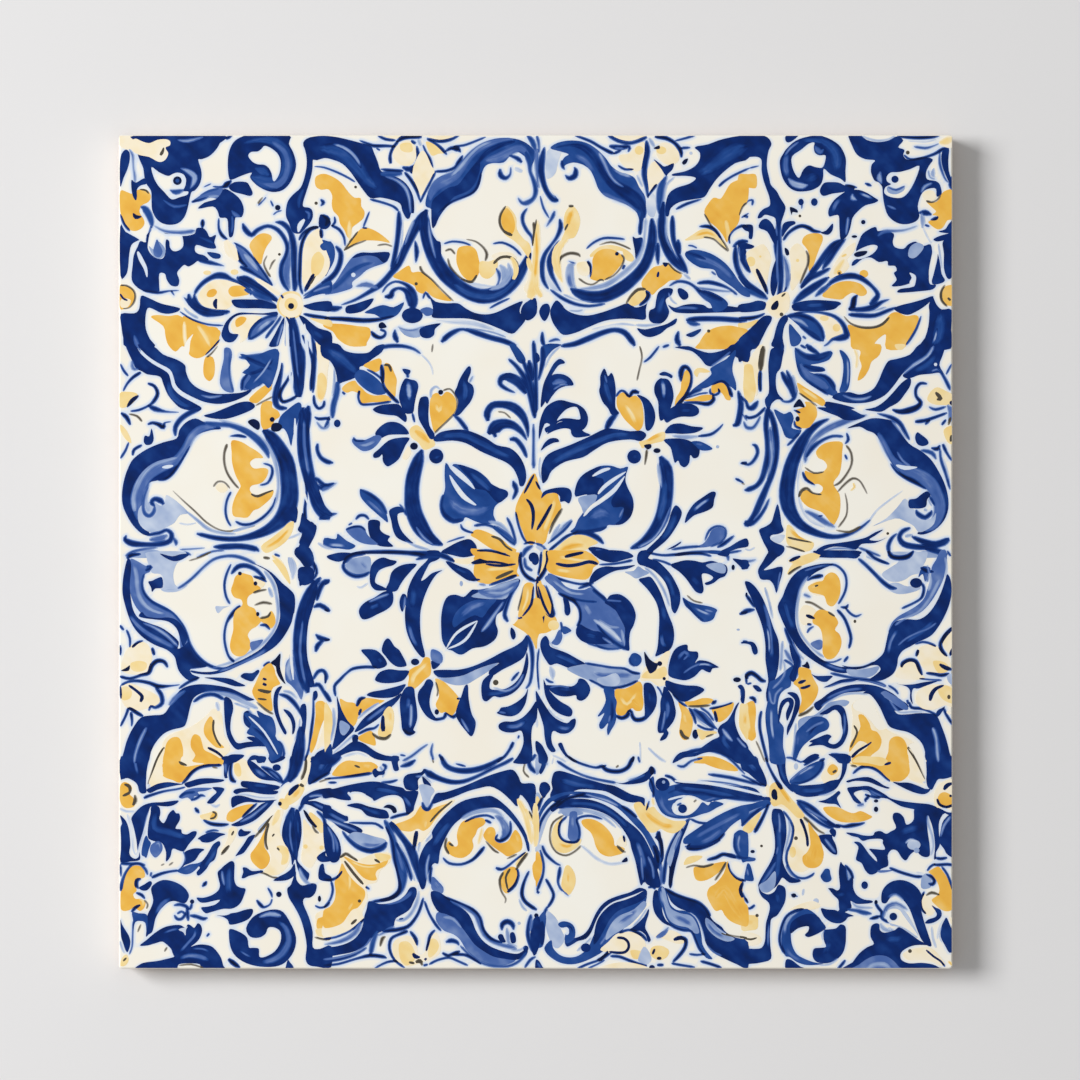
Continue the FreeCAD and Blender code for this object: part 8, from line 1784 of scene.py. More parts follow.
# %% Left edge below the middle: bracket and yellow lobes
painting.append("""
gf 5.4 75, 12 75, 11 73.6, 10.2 72.4, 9.8 70.6, 10.4 68.8, 12.4 69, 10.4 67.8, 8 67.9, 7.6 68.6, 8 70.2,
7.4 71, 6 71.2, 5.4 72.6, 5 74
mf 2 73.6, 3.2 73.4, 4.6 72.6, 5.6 72.2, 5.6 71.4, 4.8 71, 4.4 70, 4.4 68.6, 4.8 67.4, 5.6 66.6, 7 65.8,
8.6 65, 10 64, 11.2 62.6, 12 61.2, 12.6 59.6, 13 58, 13.8 56.6, 15 55.2, 16 54.4, 14 54, 12.6 54,
12 55.4, 11.2 57, 11 58.6, 10.8 60.4, 10 61.8, 8.6 62.6, 6.6 62.8, 5 63.2, 3.6 64.4, 2.6 66, 2 68,
1.8 70.4
lw 2.8 72.8 .8, 3.2 70.4 1, 3.4 68, 4.4 65.8, 6.2 64.4 .8, 8.4 63.8 .6
nf 1.6 73.8, 1 71.6, .7 69.4, .7 67.4, 1.2 65.2, 2 62.8, 3 61, 4.6 59.4, 6.6 58.2, 8.6 57.4, 10 56.2,
10.4 54.8, 10.8 53.6, 11.8 52.4, 12.8 51.8, 13.8 52, 14.6 52.4, 13.2 53, 13 54, 15.8 54.4, 14.4 55.6,
13.2 57.2, 12.6 58.8, 11.6 58, 10.6 57.6, 10.8 58.8, 9.4 60.2, 7.6 61.4, 5.4 62.2, 3.6 63, 2.6 64.6,
2.2 66.6, 2 69, 2.2 71.4, 2.2 73.2
nf 3.6 63.4, 5 63, 7 62.8, 9 62.4, 10.4 61.2, 11 59.6, 11.6 58, 12.4 59.6, 11.8 61, 10.6 62.6, 9 63.2,
7 63.1, 5 63.4, 4.2 64.2
mw 1.8 63.8 .7, 3.4 61.8 1, 5.4 60.2 1.2, 8 58.8, 10.2 57.6 .9
ls 4.4 62.2 .3, 6.4 61.4 .5, 8.6 60 .6, 10.6 58 .5
ns 4.6 71 .4, 4.2 69.4, 4.6 67.6 .5, 6 66, 8 64.9, 9.8 63.9 .4, 11.4 62, 12.2 60.4, 12.8 58.4 .5,
14 56.4 .6, 15.8 54.8, 18 54 .5, 20 54.2 .4
ks 1.4 73.8 .6, 2.4 74.4, 4 74.6 .4
ns 5 72.4 .7, 5.8 72.2 .6, 4.8 71.6
nf 7.4 74.7, 8.6 73.8, 10 73.3, 11.4 73.6, 12.8 74.6, 11.2 74.6, 9.6 74.2
nf 5.3 69.6, 6 69.8, 6.8 70.2, 7.8 70.4, 7.9 68.6, 6.6 68.4, 6 67.8, 5.8 68.6
gs 8 68 .6, 10.6 68.2 .5
bs 10.6 68.4 .4, 12.2 69.4 .5, 13.6 70.6, 15.2 72.2, 17 73.6, 19 74.2, 21 74.2 .6, 23 73.6, 24.6 72.8 .5
os 12.6 73.4 .3, 14.6 74, 16.6 75
nf 23.4 73.2, 25.6 72.4, 27.6 71.2, 29.4 69.4, 30.6 68.4, 31.6 67.2, 31.7 65, 31.2 62.6, 30 60.2,
28.4 58.2, 26.4 56.8, 24 55.6, 21.4 54.4, 19 53.4, 16.4 52.9, 13.4 53.2, 13 53.7, 15 53.4, 17.6 53.6,
20.4 54.8, 23 56, 25.6 57.6, 27.2 59.4, 28.4 61.2, 29 63.2, 28.9 65.2, 28.8 67, 28.4 69, 27.4 70.8,
26 72
ls 26.2 71.6 .6, 27.4 70, 28.2 68, 28.6 65.6, 28.6 63, 27.6 60.4, 25.8 58.4, 23.4 56.8 .5, 20.4 55.2,
17 54.2 .4
mw 26.8 57.6 .8, 24 55.8 .9, 20.8 54.4 .8, 17.6 53.4 .5
ks 20.2 72.8 .3, 19.4 71 .4, 19 69, 19.3 67, 20 65.6
ns 20.2 71 .5, 21.4 72.3 .8, 23 72.5, 24.8 71.7 .7, 26.4 70 .5
ks 21.9 65.3 .7, 20.4 63.8, 19.4 62.2 .4, 19 60, 19.2 58, 19.8 56.2, 20.8 55.2 .7
gf 17.4 65.2, 18.4 65.2, 19.8 65.2, 18.8 64.8, 18 64, 17.6 64.2
cf 24.2 70.4, 25.4 70, 26.4 69.4, 25.6 68.4, 24.4 68.4
yf 20.6 69.4, 21 70.6, 22 71.2, 23 71, 24 70.6, 24.4 69.4, 25.6 68.4, 24.2 67.6, 23.2 66.8, 23.2 65.4,
24.4 64.8, 25 63.6, 25.6 62.6, 24.8 61.6, 23.8 61, 23.2 60, 23.6 59, 23.6 57.6, 22.6 56.4, 21.4 56.2,
20.4 56.8, 20 58, 20.2 59.4, 20.6 61, 20.6 63, 21 64.4, 22.2 65.4, 22 66.4, 20.8 66.8, 20.2 68
yf 25.2 62.8, 26 63.2, 26.8 63.6, 27.4 64.4, 28 63.6, 28.2 62.2, 27.4 61.2, 26.6 61.8
ks 24.2 70.6 .4, 25.6 70.2 .5, 26.6 69.6 .4
kd 24.6 69.3 .35 .4
kd 21.8 71.1 .35
os 24.2 67.6 .4, 25.4 68, 26.6 68.2 .3
os 24.4 65.4 .3, 26 65.9 .5, 27.6 65.6 .4
kd 25 63.8 .3 .4
os 25.4 63.1 .4, 26.8 63.4, 27.3 64.2 .3
ks 25.4 61.8 .4, 26.4 61.8 .5, 27.2 61 .4
ls 27 68.6 .6, 27.6 66.8 .8
mf 23.6 58.6, 24.6 59, 26 59.2, 25.2 58, 24 57.2
es 27.6 74.4 .6, 29 73 .8, 30 71.4 .6, 30.6 69.6 .4
os 29.2 72.6 .3, 30.2 70.6, 30.8 69.2 .2
os 26 74 .6, 27.2 73.8 .5
ks 28 74.6 .5, 29 74.2 .4
gf 30.4 74, 31.6 73.4, 32 72, 31.4 70.6, 30.8 71.6
nf 32 75.2, 34.6 75.2, 35 73.8, 35.4 72.6, 35.2 71.2, 34.8 70.6, 33.6 69.8, 32.6 68.8, 32.4 70.2,
32.2 71.6, 32.8 72.3, 34 72.4, 33.2 73.4
ls 34.6 72.6 .5, 35 71 .4
ks 35.2 73 .5, 35.6 71.2, 34.8 69.9 .4
nf 35 70, 34 68, 33.2 65.6, 32.4 63, 31.7 60.4, 31.5 58.2, 31.8 56, 32.4 54, 33.4 51.8, 34.4 50.6,
35.2 51.2, 34.6 53.4, 34 55.6, 33.8 58, 33.9 60.4, 34.2 62.6, 34.8 64.6, 35.4 66.6, 35.8 68.6
mw 34.4 68 1, 33.4 64.4 1.2, 32.8 60.6, 33 56.4 1
ns 38 69.9 .8, 36.8 69.4 .9, 36 68, 35.6 66.2 .6
ns 35 65 .6, 36.2 65.4 .8, 38 64.3
ns 35.4 60.2 .5, 36.4 59.4 .9, 38 59.2 .5
ns 36.8 59 .7, 35.8 58.2 .8, 35.4 57 .7
ns 34.9 52 .5, 35.8 53.4 .6, 36.8 53.6, 37.4 52.6, 37.2 51.7 .4
ns 34.8 50.8 .7, 36 51.1, 37 49.6 .6, 38 48
nf 35 49.8, 35.6 50, 35.8 49, 35.2 48.2, 35 49
mf 30 54.6, 30.6 55.8, 31.4 56, 31.8 54, 32.4 52.4, 33.2 51, 33.2 49.6, 32.8 48.4, 32 49.8, 31 51, 30 52
ls 31.2 57.4 .5, 30.9 55 .9, 30.4 53.6 .7, 31 51.8 .5
kf 29.1 56.7, 28.2 55.8, 27.3 55, 28.2 54.4, 28.4 53.4, 29 52.2, 30 51.2, 29.4 52.8, 29 54.4
ks 26 54.4 .6, 27.2 55.2
yf 27.2 55, 28 54, 28.2 53, 28.8 51.8, 29 51.2, 27.8 50.6, 27.4 49.4, 27.6 47.8, 27.6 46.4, 26.6 46.6,
25.4 47.6, 24.4 48.8, 24 50, 24.6 51.4, 25.2 52.8, 25.8 54
ks 25.9 52.2 .5, 26.6 52 .4
ks 25.9 51.3 .6, 26.6 51 .5
os 25 50.2 .4, 26.8 49.8 .5, 27.4 50 .3
os 25 48.6 .3, 26.6 48.4
os 24.8 48 .3, 26.4 46.6 .4, 27.8 45.8
nf 21.9 52.6, 22.6 53.2, 24 53.2, 25 53.8, 25.3 53.4, 24.6 52.4, 24 51.7, 22.8 52
nf 15.4 52.4, 18 52.4, 20 52.2, 21.4 51.6, 22.8 50.9, 21 50.8, 19 51.4, 17 52
nf 9 47, 9.6 48, 10.4 49.4, 11.4 50.4, 13 51, 15 51.2, 17.4 51, 20 50.5, 22 49.6, 23.6 48.8, 24.4 48.4,
23 48.2, 21.2 49, 19 49.6, 17 49.8, 15 49.6, 13.6 48.8, 13 47.6, 12.6 46, 12.2 44.4, 11.6 43.5, 9.6 43,
8 42.2, 6.6 40.6, 5.8 39, 5.2 37, 3 37, .6 37, 1 39.4, 1.6 41.4, 2.6 43.4, 4 45.2, 6 45.6, 8 45.8
ms 9 47.4 .9, 10.4 49 .8, 12 50 .5
ls 5 43.4 .5, 3.8 41 .6, 3 38.6 .5, 2.8 37 .4
ls 14 48.6 .4, 15.6 49.6 .5, 18 49.6 .7, 20.6 49 1, 23 47.8 .9, 25 46.8 .6
ns 13.4 48 .5, 15.2 49.1 .6, 17.2 49.3, 19 48.4
ks 10.8 50.4 .4, 12.6 51.6 .5, 14.4 52.3
cf 1.2 57, 2.6 58.4, 4.4 58.8, 5.6 57.8, 6 56, 5.6 54, 5 53, 2 53, .4 54
ef 2.2 55, 3.6 55.4, 5 55, 4.8 53.8, 3.2 53.4, 2.2 54
cf .3 50.6, 2 51.4, 4 50.6, 6.6 49.4, 7.4 48.4, 6.8 47.4, 5 46.8, 2.4 46.4, .6 48
ef .4 50.4, 1.6 50.8, 2.4 49.8, 2 48.6, .6 48.4
ks .2 61.8 .5, .9 60.9
ks 1.4 61 .4, 2 59.4, 2 57.8 .3
ks .2 58.2 .6, .3 56.4 .4
ks 2.4 57.8 .4, 3.4 58.7, 4.4 59 .3
ks 6 57.8 .6, 6.4 56.4
kf .4 53.6, 1.4 54.2, 2 54.6, 1.8 53.6
ks .2 52.6 .5, 2 52.2, 4 52.8, 5.4 53.2 .6, 6 54.6 .7, 7 55.4, 8.2 55.2 .6, 8.8 54.2 .5
ks .4 51 .4, 1.6 51.6, 3.4 51.8 .5, 5.6 51.4 .6, 7.2 50.8 .7, 9.4 50.9 .3, 11 51.1 .2
ks 1.8 51 .4, 3.2 50, 4.2 49 .5, 3.9 48 .6
ns 6.6 50.6 .6, 7.6 49.4 .7, 7.8 47.8, 6.6 47 .5, 5.8 47.2 .4, 5.4 46.4
ks 1.8 47 .5, 1.2 45.4 .4, .3 43.6
ks 1.8 47 .5, 3 46.2 .6, 4.4 45.4
ks 2.2 46.2 .6, 2.4 44.6 .4, 2.3 43.6 .3
ks .3 51 .3, .4 48.6 .4
cf 12.6 43.4, 14.6 44.6, 16 45.8, 17 46.8, 18.4 46, 18.8 44, 19 42, 20 40, 19.2 38.4, 15 37, 9 37,
6.4 37, 7.6 40, 9 42
yf 8 37, 8.2 38.8, 8.6 40.6, 9.6 41.6, 10.8 41.6, 11.4 40.4, 11.6 38.8, 11 37
yf 13 41.2, 13.6 42.2, 14.6 41.8, 15 40.6, 15.4 39.4, 16.6 38.8, 18 38, 19 37, 13.4 37, 13.8 38.4,
13 39.8
yf 16.4 45.4, 17 44.8, 16.9 43.4, 17.2 42, 18 40.8, 19 39.8, 17.6 39.8, 16.4 40.8, 15.4 42.2, 15.4 43.8
ks 16 39.8 .4, 17.6 39, 18.8 38 .3
os 17.1 44.8 .35, 17 43 .3, 17.6 41.2, 18.4 40
os 8.2 39.8 .4, 7.4 38.6, 6.6 37.2 .3
gs 17.6 48 .8, 18 46.4 .6
nf 19 48.8, 20.2 48.4, 20.6 46.8, 20.2 45, 20.1 43, 20.6 41.6, 21.4 40.6, 23 40.8, 24.8 40.9, 26.6 40.6,
26.8 40, 25 40, 23 39.8, 21.4 39.4, 20.4 40.2, 19.6 41.6, 19.2 43.4, 19 45.6
nf 22.4 45, 22.6 46.2, 23.6 46.4, 24.2 45.4, 25 44, 26 42.6, 26.8 41.6, 25.6 41.8, 24.2 42.8, 22.8 43.8
nf 23 41.6, 24 41.8, 25.6 41.4, 26.8 41.2, 26 40.8, 24.4 40.8
bf 24.8 46.4, 26.2 45.8, 27.6 45.2, 28.2 43.6, 28.2 42, 27.4 40.8, 26.6 42.2, 25.8 44
ls 20.8 47.8 .4, 22.4 47.2, 23.6 46.8
ls 23.2 46.8 .4, 24.8 44.8, 26.4 42.6, 27.4 41 .3
bf 27.2 41, 28.4 41.2, 29.4 40.4, 29.4 38.6, 28.8 37.8, 27.4 37.4, 27 38.4, 27.4 39.6
ns 28.8 41 .4, 29.5 40, 29.6 38.2 .5, 28 37.6 .4
nf 18.8 37, 19.8 38.4, 21.4 38.6, 22.6 38.4, 21.8 37.6, 20.6 37
nf 23.2 37.4, 24 38.4, 25.4 38.2, 26 37.2, 25 37, 24.6 37.6
nf 28 49.6, 28.6 50.6, 29.4 50.8, 28.8 49.6, 28.6 48, 28.8 46, 29.4 44.2, 30.2 42.6, 29.8 42.2, 28.8 44,
28 46.2, 27.8 48
ns 28.8 49.4 .5, 30.2 49 .7, 31.4 48 .8, 32.4 46.6 .6, 33 45.4 .5
nf 32.8 47.4, 33.6 47.6, 33.8 46, 33.7 44, 33.4 42, 33 40, 32.6 38, 32.4 37, 31 37, 31.2 39, 31.8 41,
32.6 42.8, 33 44.4, 32.6 46
nf 29.6 46.6, 30.6 46.4, 31.4 45.4, 31.8 44, 31.6 42.6, 31.2 42.2, 31.2 43.6, 30.8 45
ls 29.6 50 .6, 31 49.6 .5, 32 48.6 .4
ls 32.6 45 .4, 32.4 43, 31.6 41
ks 35 49.4 .3, 35 46 .4, 34.6 42.6 .5, 34.2 39.6 .4, 33.4 37.4
cf 37.4 47.2, 38.2 46, 38.2 41, 36.4 40, 35.6 39.6, 36.4 42.4, 37 44.6
yf 35.4 47.8, 36.6 48.2, 37.4 47.4, 37.8 46, 36.8 44.6, 36 42.4, 35.4 40.2, 34.6 38.8, 34.4 40, 35 42.8,
35.4 45.6
nf 38.2 40.4, 37 39.6, 35.8 39, 35 38, 34.6 37, 38.2 37
""")

# %% Below left of the centre: flower stem and big leaf
painting.append("""
nf 37.4 74.2, 38.4 74.6, 40 74.9, 42 74.7, 41 73.8, 39.6 73.2, 38 73.6
ks 40.4 72.8 .5, 41 74, 43 74.8 .4, 47 74.9, 51 74.9, 54 74.6 .5, 55.4 74.2 .4
lf 40.8 72.6, 41.6 73.6, 43 74, 45 74.2, 45.4 73, 45.2 71.6, 44.2 70.8, 42.8 70.8, 41.4 71.6
mw 43.6 73.2 .9, 44.6 72 1.1
ns 40.6 73.2 .6, 40.4 72.2, 41.2 71.2 .7, 42.6 70.6, 44.2 70.8 .6, 45.2 71.4 .5
ns 40.6 73 .6, 42 74.2 .5, 44.4 74.6 .4
nf 45.2 71.6, 45.6 72.8, 46.4 73.6, 47.6 74, 48.8 73.6, 50 73.3, 49.4 72.6, 48 72.2, 46.8 71.6,
46.2 70.4, 46.2 69.4, 47.4 68.8, 48.4 68.2, 47.2 68, 46 68.2, 45.2 69.4
nf 48 68.2, 48.6 69.6, 49 71.2, 50 72.2, 51.6 72.8, 53.6 72.8, 52.6 71.6, 51.4 70.2, 50.6 69, 50 68,
48.8 67.8
nf 43.2 64, 43.4 65, 44.4 66, 46 66.8, 47.6 67.8, 49 68, 49.4 67, 49.2 65.6, 48.2 64.6, 46.6 63.8,
45 63, 43.8 62.9
mw 45 64.8 .8, 47 65.6 1
ls 45 66 .4, 46.8 66.8 .5, 48.6 67.4 .4
gs 42.8 68.8 .4, 43.6 68.6, 44.8 69.4 .3
ns 37 69.2 .6, 37.9 69.6 .5
ks 37 64.6 .4, 37.8 64.3
ks 37 59.1 .4, 38 59.2 .3
nf 37 53.6, 37.4 52.6, 37.4 51.6, 37 51.4
ns 37 50 .6, 38.2 48
nf 57.6 75.2, 57.8 74, 57 73.4, 56 73, 55.4 72, 54.8 70.8, 54.4 69.8, 55.2 70.2, 56.4 71.2, 58.2 71.7,
57.2 71, 56.2 69.6, 55.4 68, 54.8 66.4, 54.3 64.4, 54.2 62.4, 54.3 60.4, 54.6 58.6, 55.1 56.4, 54.6 56,
53.6 57, 52.6 58.6, 51.8 60.6, 51.5 62.6, 51.5 64.6, 51.8 66.4, 52 68.2, 52.8 70.2, 54 72, 55.2 73.2,
56 74.4, 55.4 75.2
mw 52.2 62 .8, 52.8 59.6 1, 53.8 57.8 .8
bw 53 68.4 1.2, 52.8 65 1.4
nf 51.7 67.2, 51.8 66, 51.4 65, 51 64.2, 50.6 65, 50.5 66.2, 51 67.4
ls 51.5 67 .3, 51.4 65.6 .4, 51.2 64.6 .3
nf 58.2 59, 58 61, 58 63.4, 58.4 65.6, 59.2 67, 60.6 67.3, 62 66.9, 62.9 67.6, 63.6 68.2, 64.8 68.2,
66 68.4, 67 68.6, 68.4 69.2, 70.4 69.8, 71.8 70.2, 72.2 69.6, 71 68, 70 66.6, 69.4 65.2, 69 64.4,
68 63.6, 67.8 62.2, 68.2 60.8, 67.8 59.4, 66.6 58.4, 65.4 57.9, 63.6 57.6, 62 56.6, 61 56.6, 60 57.2,
59 57.6
bf 60 62.4, 60.6 64, 62 65.4, 64 66.3, 66 66.4, 68 66.5, 66.6 64.8, 65.4 63.2, 64 63.6, 62 62.6,
60.4 61.4
mw 61.4 63.4 1, 63.6 65 1.4, 66 65.8 1
lf 63.4 67, 65.4 68, 68 69, 70.6 69.8, 72 70, 71 68.2, 69.6 66.6, 67.6 66.5, 65.4 66.6
pw 65 67.2 .6, 67.6 67.8 1, 69.6 68.2 .8
ws 58.9 57.6 .2, 60.4 60 .35, 62.2 61.4 .4, 64.5 62.6 .2
ws 59.2 57.6 .2, 61.2 58.4 .35, 62.8 59.7 .4, 64.5 62.5 .2
ls 69.2 66 .4, 67.8 64 .6, 66.4 62 .7, 65.2 60.6 .4
ns 72 69.6 .5, 70.6 67.4 .6, 69.8 65.4 .7, 69.4 63.6, 70 62.4
nf 70.6 61.4, 71.2 60.8, 71.4 59.8, 71 59.2, 70.6 59.6, 70.4 60.6
gd 61.6 69.3 .3 .5
cf 59.6 73.8, 62 73.8, 64 74, 64 73, 62.4 72.8, 60.6 73
yf 64 74.2, 66.4 74.6, 69 74.6, 72 74.9, 72 73, 71.6 71.4, 72 70.6, 70 70.4, 68 69.6, 66.4 69.2,
64.6 69.6, 64 70.4, 63.8 71.6, 64 73
ew 65 74 .8, 68 74, 71 74.2
ew 66 71.8 .8, 69 72 .9, 71 72
ks 63.4 73 .3, 65.4 73.4 .8, 67 73.6 .3
ks 66 72.8 .3, 68.6 72.5 .4, 71.4 72.8 .3
os 67.8 70.2 .4, 69.6 71 .5, 71 71.6 .3
ks 66.6 69 .4, 69 69.8 .5, 71.6 70.8 .6
nf 58.8 73.2, 59.6 73.2, 61.4 72.4, 63 71.8, 63.9 70.8, 64.4 69.9, 63 69.8, 61.6 70.6, 60 71.8
bw 60.4 72.2 .7, 62.8 71 .8
ks 63.4 69.9 .5, 65 70 .3
nf 58 75, 60 74.4, 62 74, 64 74.4, 65 75
ks 65 74.7 .5, 67.6 74.6, 70 74.4 .4
ms 64.8 69.2 .5, 66 69
ks 72.4 75 .5, 72.2 73.4 .6, 72.6 71.6, 73.6 70.4 .7, 75 69.7
bs 73 74 .6, 73.2 72.4, 74.4 71.6 .7
nd 74.6 74 .9
yf 75.2 69, 74 69.2, 73 70, 72.9 68.4, 72.4 66.4, 71.8 64.4, 71.6 63.2, 72.4 63.2, 73.6 64.2, 74.4 66,
74.2 64, 75.2 64, 75.2 57.6, 74.4 59, 73.2 60.4, 72 61.2, 70.8 62, 71.6 62.6
ew 73 68 .7, 72.8 65.4 .8
ks 74 69 .4, 74.2 67 .5, 73.8 65.2, 72.8 63.6, 71.8 63 .4
os 73 69 .4, 72.4 66.6, 71.8 64.4
yf 52.2 52.4, 52 53.4, 53 54.2, 54.2 54.8, 55 56, 55.9 55.9, 56.1 55, 56.2 54, 56 52.8, 55 52, 54 51,
52.8 50.2, 52 50.8
ew 52.8 51 .8, 53.2 52.8 1, 55.6 55 .8
nf 43.6 57.2, 44.4 57.5, 46 57.4, 47 56.8, 48 55.6, 48.2 54.6, 47 54, 45.8 54.2, 45 55.6
lw 46.6 56 .8, 47.4 55 1
nf 48.2 59.4, 48.8 59.2, 49.6 58, 50.4 57.4, 51 56.4, 51.7 55, 51.6 54.4, 50.2 54.3, 49 55, 48 56.2,
47.3 57.2, 47.6 58.6
nf 46.2 52.4, 47 53.4, 48.6 53.9, 50.4 53.7, 52.2 53.6, 51.8 52.6, 51 51.8, 49.2 51.4, 47.4 51.4,
46.2 51.8
kd 53.3 55.2 .75 .6
ks 46.4 54.2 .5, 44.4 54.3, 42.2 54, 41 53.2 .4, 39.8 52 .5, 38.8 50.8, 39 49 .4
nf 44.6 49.2, 45.4 49.8, 47.6 50.2, 50 50.8, 51.6 51.2, 51 50, 49.8 49, 48 48.7, 46 48.8
nf 51.6 50.6, 53 50.6, 53.3 49, 53.6 47, 53.7 45.2, 53.4 44, 53 43, 53.4 42.6, 52.8 42.1, 51.8 42.2,
51 43, 50.8 44.6, 50.6 46.6, 50.6 48.6
mw 52.2 49 .9, 52 46.6 1
ls 52.6 47.6 .5, 52.6 45.6 .6, 52.4 43.4 .5
ks 51.2 43.2 .6, 52 42.3, 53 42.4
nf 56.2 52, 56.6 51.2, 56.2 49.8, 55.9 48, 56.2 46.4, 57 45.2, 57.8 44.8, 56.6 44.7, 55.4 45.4,
54.4 46.8, 53.8 48.4, 53.9 49.8, 54.8 51, 55.4 52
ks 56.6 44.8 .5, 58.4 45.1, 59 46 .6, 60.2 45.3, 60.8 46 .4
yf 56.9 52.2, 58.4 51.7, 59.8 50.4, 61 49, 61.2 48, 60.8 46.8, 60 45.6, 58.8 46.2, 58 46, 57.4 46.6,
57 47.6, 57.6 49, 57.4 50.4
os 57 51.6 .3, 57.4 50, 57.2 49
kd 57.2 46.2 .4 .5
nf 62.2 50.8, 62.8 51, 62.9 49, 63.2 47, 63.6 45.6, 64.2 44.4, 64 42.8, 63.4 41.8, 62.4 42.8, 61.2 44.4,
60.6 45.8, 61 47.6, 61.6 49
ls 61.6 45 .3, 62.4 43.6 .4, 63 42.6 .3
ks 60.8 48.6 .4, 61.6 48.6
mf 56.2 57.4, 57.4 57.2, 58.2 56.4, 58.2 55.2, 57.4 54.8, 56.2 55.6
nf 56.2 55.4, 57.2 55, 57.8 54.8, 57 54, 56.4 54
lf 57.2 52.6, 59.4 52.6, 62 53, 64.4 53.8, 67 54.9, 68.4 55.2, 66.6 53.6, 64.4 52.2, 62.6 51.2, 60.6 51,
58.6 51.6
nf 56.6 53.6, 58.6 53.8, 61 53.8, 63.6 54.4, 66.4 55.6, 69 57, 71.2 58, 72.6 59, 73.4 60, 73.6 58,
72.8 56, 71 54.8, 69 53.8, 67 52.6, 66.6 53.6, 68.4 55, 66.4 54.6, 64 53.7, 62 52.8, 59.6 52.4,
57.4 52.5
nf 65.2 50.6, 65.6 52, 66.8 53, 67.4 52.8, 66.8 51.6, 66.8 50.4, 68 50.2, 69.6 50.4, 71.2 51.4, 72.4 53,
73 55, 73.4 57, 73.7 55, 73.2 52.6, 72.2 50.8, 70.6 49.4, 68.6 48.8, 67.4 49, 66.2 48.1, 65.4 48.6
bw 66 49.4 .9, 68.6 49.6 .8, 71 50.4
ls 67.4 50.6 .4, 69.6 50 .5, 71.6 51 .4, 72.8 53
od 67.8 51.5 .5
ks 70.6 51.8 .5, 72 53.4 .4
ns 73.4 60 .9, 74.2 57.8 .8, 74.4 54.8 .6, 74 51.6 .5, 73.2 50.4 .4
nf 73.6 50.4, 73 49.2, 71.6 48, 70 47.2, 68.8 47, 68.4 46.4, 68 46, 69 45.6, 70.6 45.4, 72 46, 73 47.4,
73.4 48.8
ls 68.4 46.2 .3, 69.6 46
nf 75.2 48.2, 74 46.6, 72.6 45.2, 71 44.5, 69.4 44.5, 68.4 44, 68.4 43.2, 69.4 42.6, 71 42.5, 72.4 42.8,
72.8 41, 72.4 39.4, 71.6 38, 71 37, 74 37, 74.4 39, 74.2 41.4, 74.4 43.6, 75.2 45
mw 69.4 43.6 1, 71.6 43.6, 73.2 44.6
ks 71 40.8 .8, 70.4 39.6 .5, 69.4 38.2, 68 37.2
ks 72 42 .5, 71.8 41.4 .3
ef 37 47.6, 38 46.8, 38.6 45.2, 38.6 43, 38.2 41, 37.4 39.6, 37 39.6
ls 38.6 47 .5, 38.8 44, 38.2 41 .4
yf 39.8 48.6, 41 48, 42.4 47.8, 43.2 46.6, 43 45, 42.2 43.6, 41 44.6, 40.2 46, 39.9 47.4
yf 43 47, 43.6 48.6, 45.2 48.7, 47 48.4, 47.8 48.2, 46 47.2, 44.4 46.2, 43.6 46
ks 42.8 47.2 .6, 43.4 48.5, 44.4 48.8 .4
ks 43.6 46.8 .4, 43.2 45.6 .5
nf 39.2 49, 39.6 48, 40.2 46.4, 41.2 44.6, 42.4 43.2, 41.2 41.8, 40 40.6, 38.4 39.4, 38.8 41.6,
39.2 43.8, 39.4 46
lf 39.8 44.6, 41 44.2, 41.6 43.4, 40.6 42, 39.8 42.6
nf 50.8 49.6, 49.6 48.8, 47.8 47.8, 46 46.6, 44.4 45.4, 43.2 44, 42.4 42.6, 43.4 42.9, 44.8 43.8,
46.4 44.8, 48 46.2, 49.6 47.6, 50.6 48.8
mw 48.4 47.4 .7, 46.2 45.8 .9, 44.4 44.4 .7
ls 43 45 .4, 44.6 46.4, 46.8 47.8
ef 47.8 46.4, 48.8 47.2, 49.5 46, 49.4 43.6, 48.8 42, 47.6 41.4, 46.6 42.2, 47 44
yw 48.9 46.4 .8, 48.9 44.4 .7
yf 43 41.6, 44.2 42.4, 45.4 42.8, 46 41.8, 46.2 40.2, 45 40.4, 43.6 40.9
ks 47.5 45.6 .5, 47.5 43.8 .6, 47.6 42.7 .9
ks 43 42.2 .4, 44.6 43 .5, 46 43.3 .4, 46.8 44 .3
os 45.6 42.4 .4, 46.6 41.6 .5, 48 41.4, 49 42.2 .4
nf 37 37.2, 38.2 38.4, 40 39.4, 41.6 40.6, 42.6 41, 44 40.6, 45.2 39.8, 46.4 39, 48 38.4, 50 38.1,
50.4 37.4, 48 37.4, 46 37.8, 44.4 38.8, 42.8 39.2, 41 38.8, 39.4 38, 38.6 37.2
nf 42 42, 43 42, 43 41, 42.2 40.4
ls 38.4 38.6 .4, 40.4 40.4, 42.4 42.2
ps 40.4 38.2 .5, 43 38.8, 45 38 .4
bs 51 37.4 .4, 52.6 38.2 .5, 54.4 39.6 .4, 55.6 40.4 .3
ks 50.6 38.5 .4, 51.6 38.3 .3
bs 56.5 40.6 .3, 56.2 39 .5, 56.6 37.6
ks 57.6 38.6 .6, 58.4 37.4
ns 75 38.6 .8, 74.2 37.4 .6
""")

# %% [markdown]
# ### Lower right quarter
# The last quarter. The eye of its mask sits in a white drop, and pale arcs of wash lie below it at
# the tile's edge.

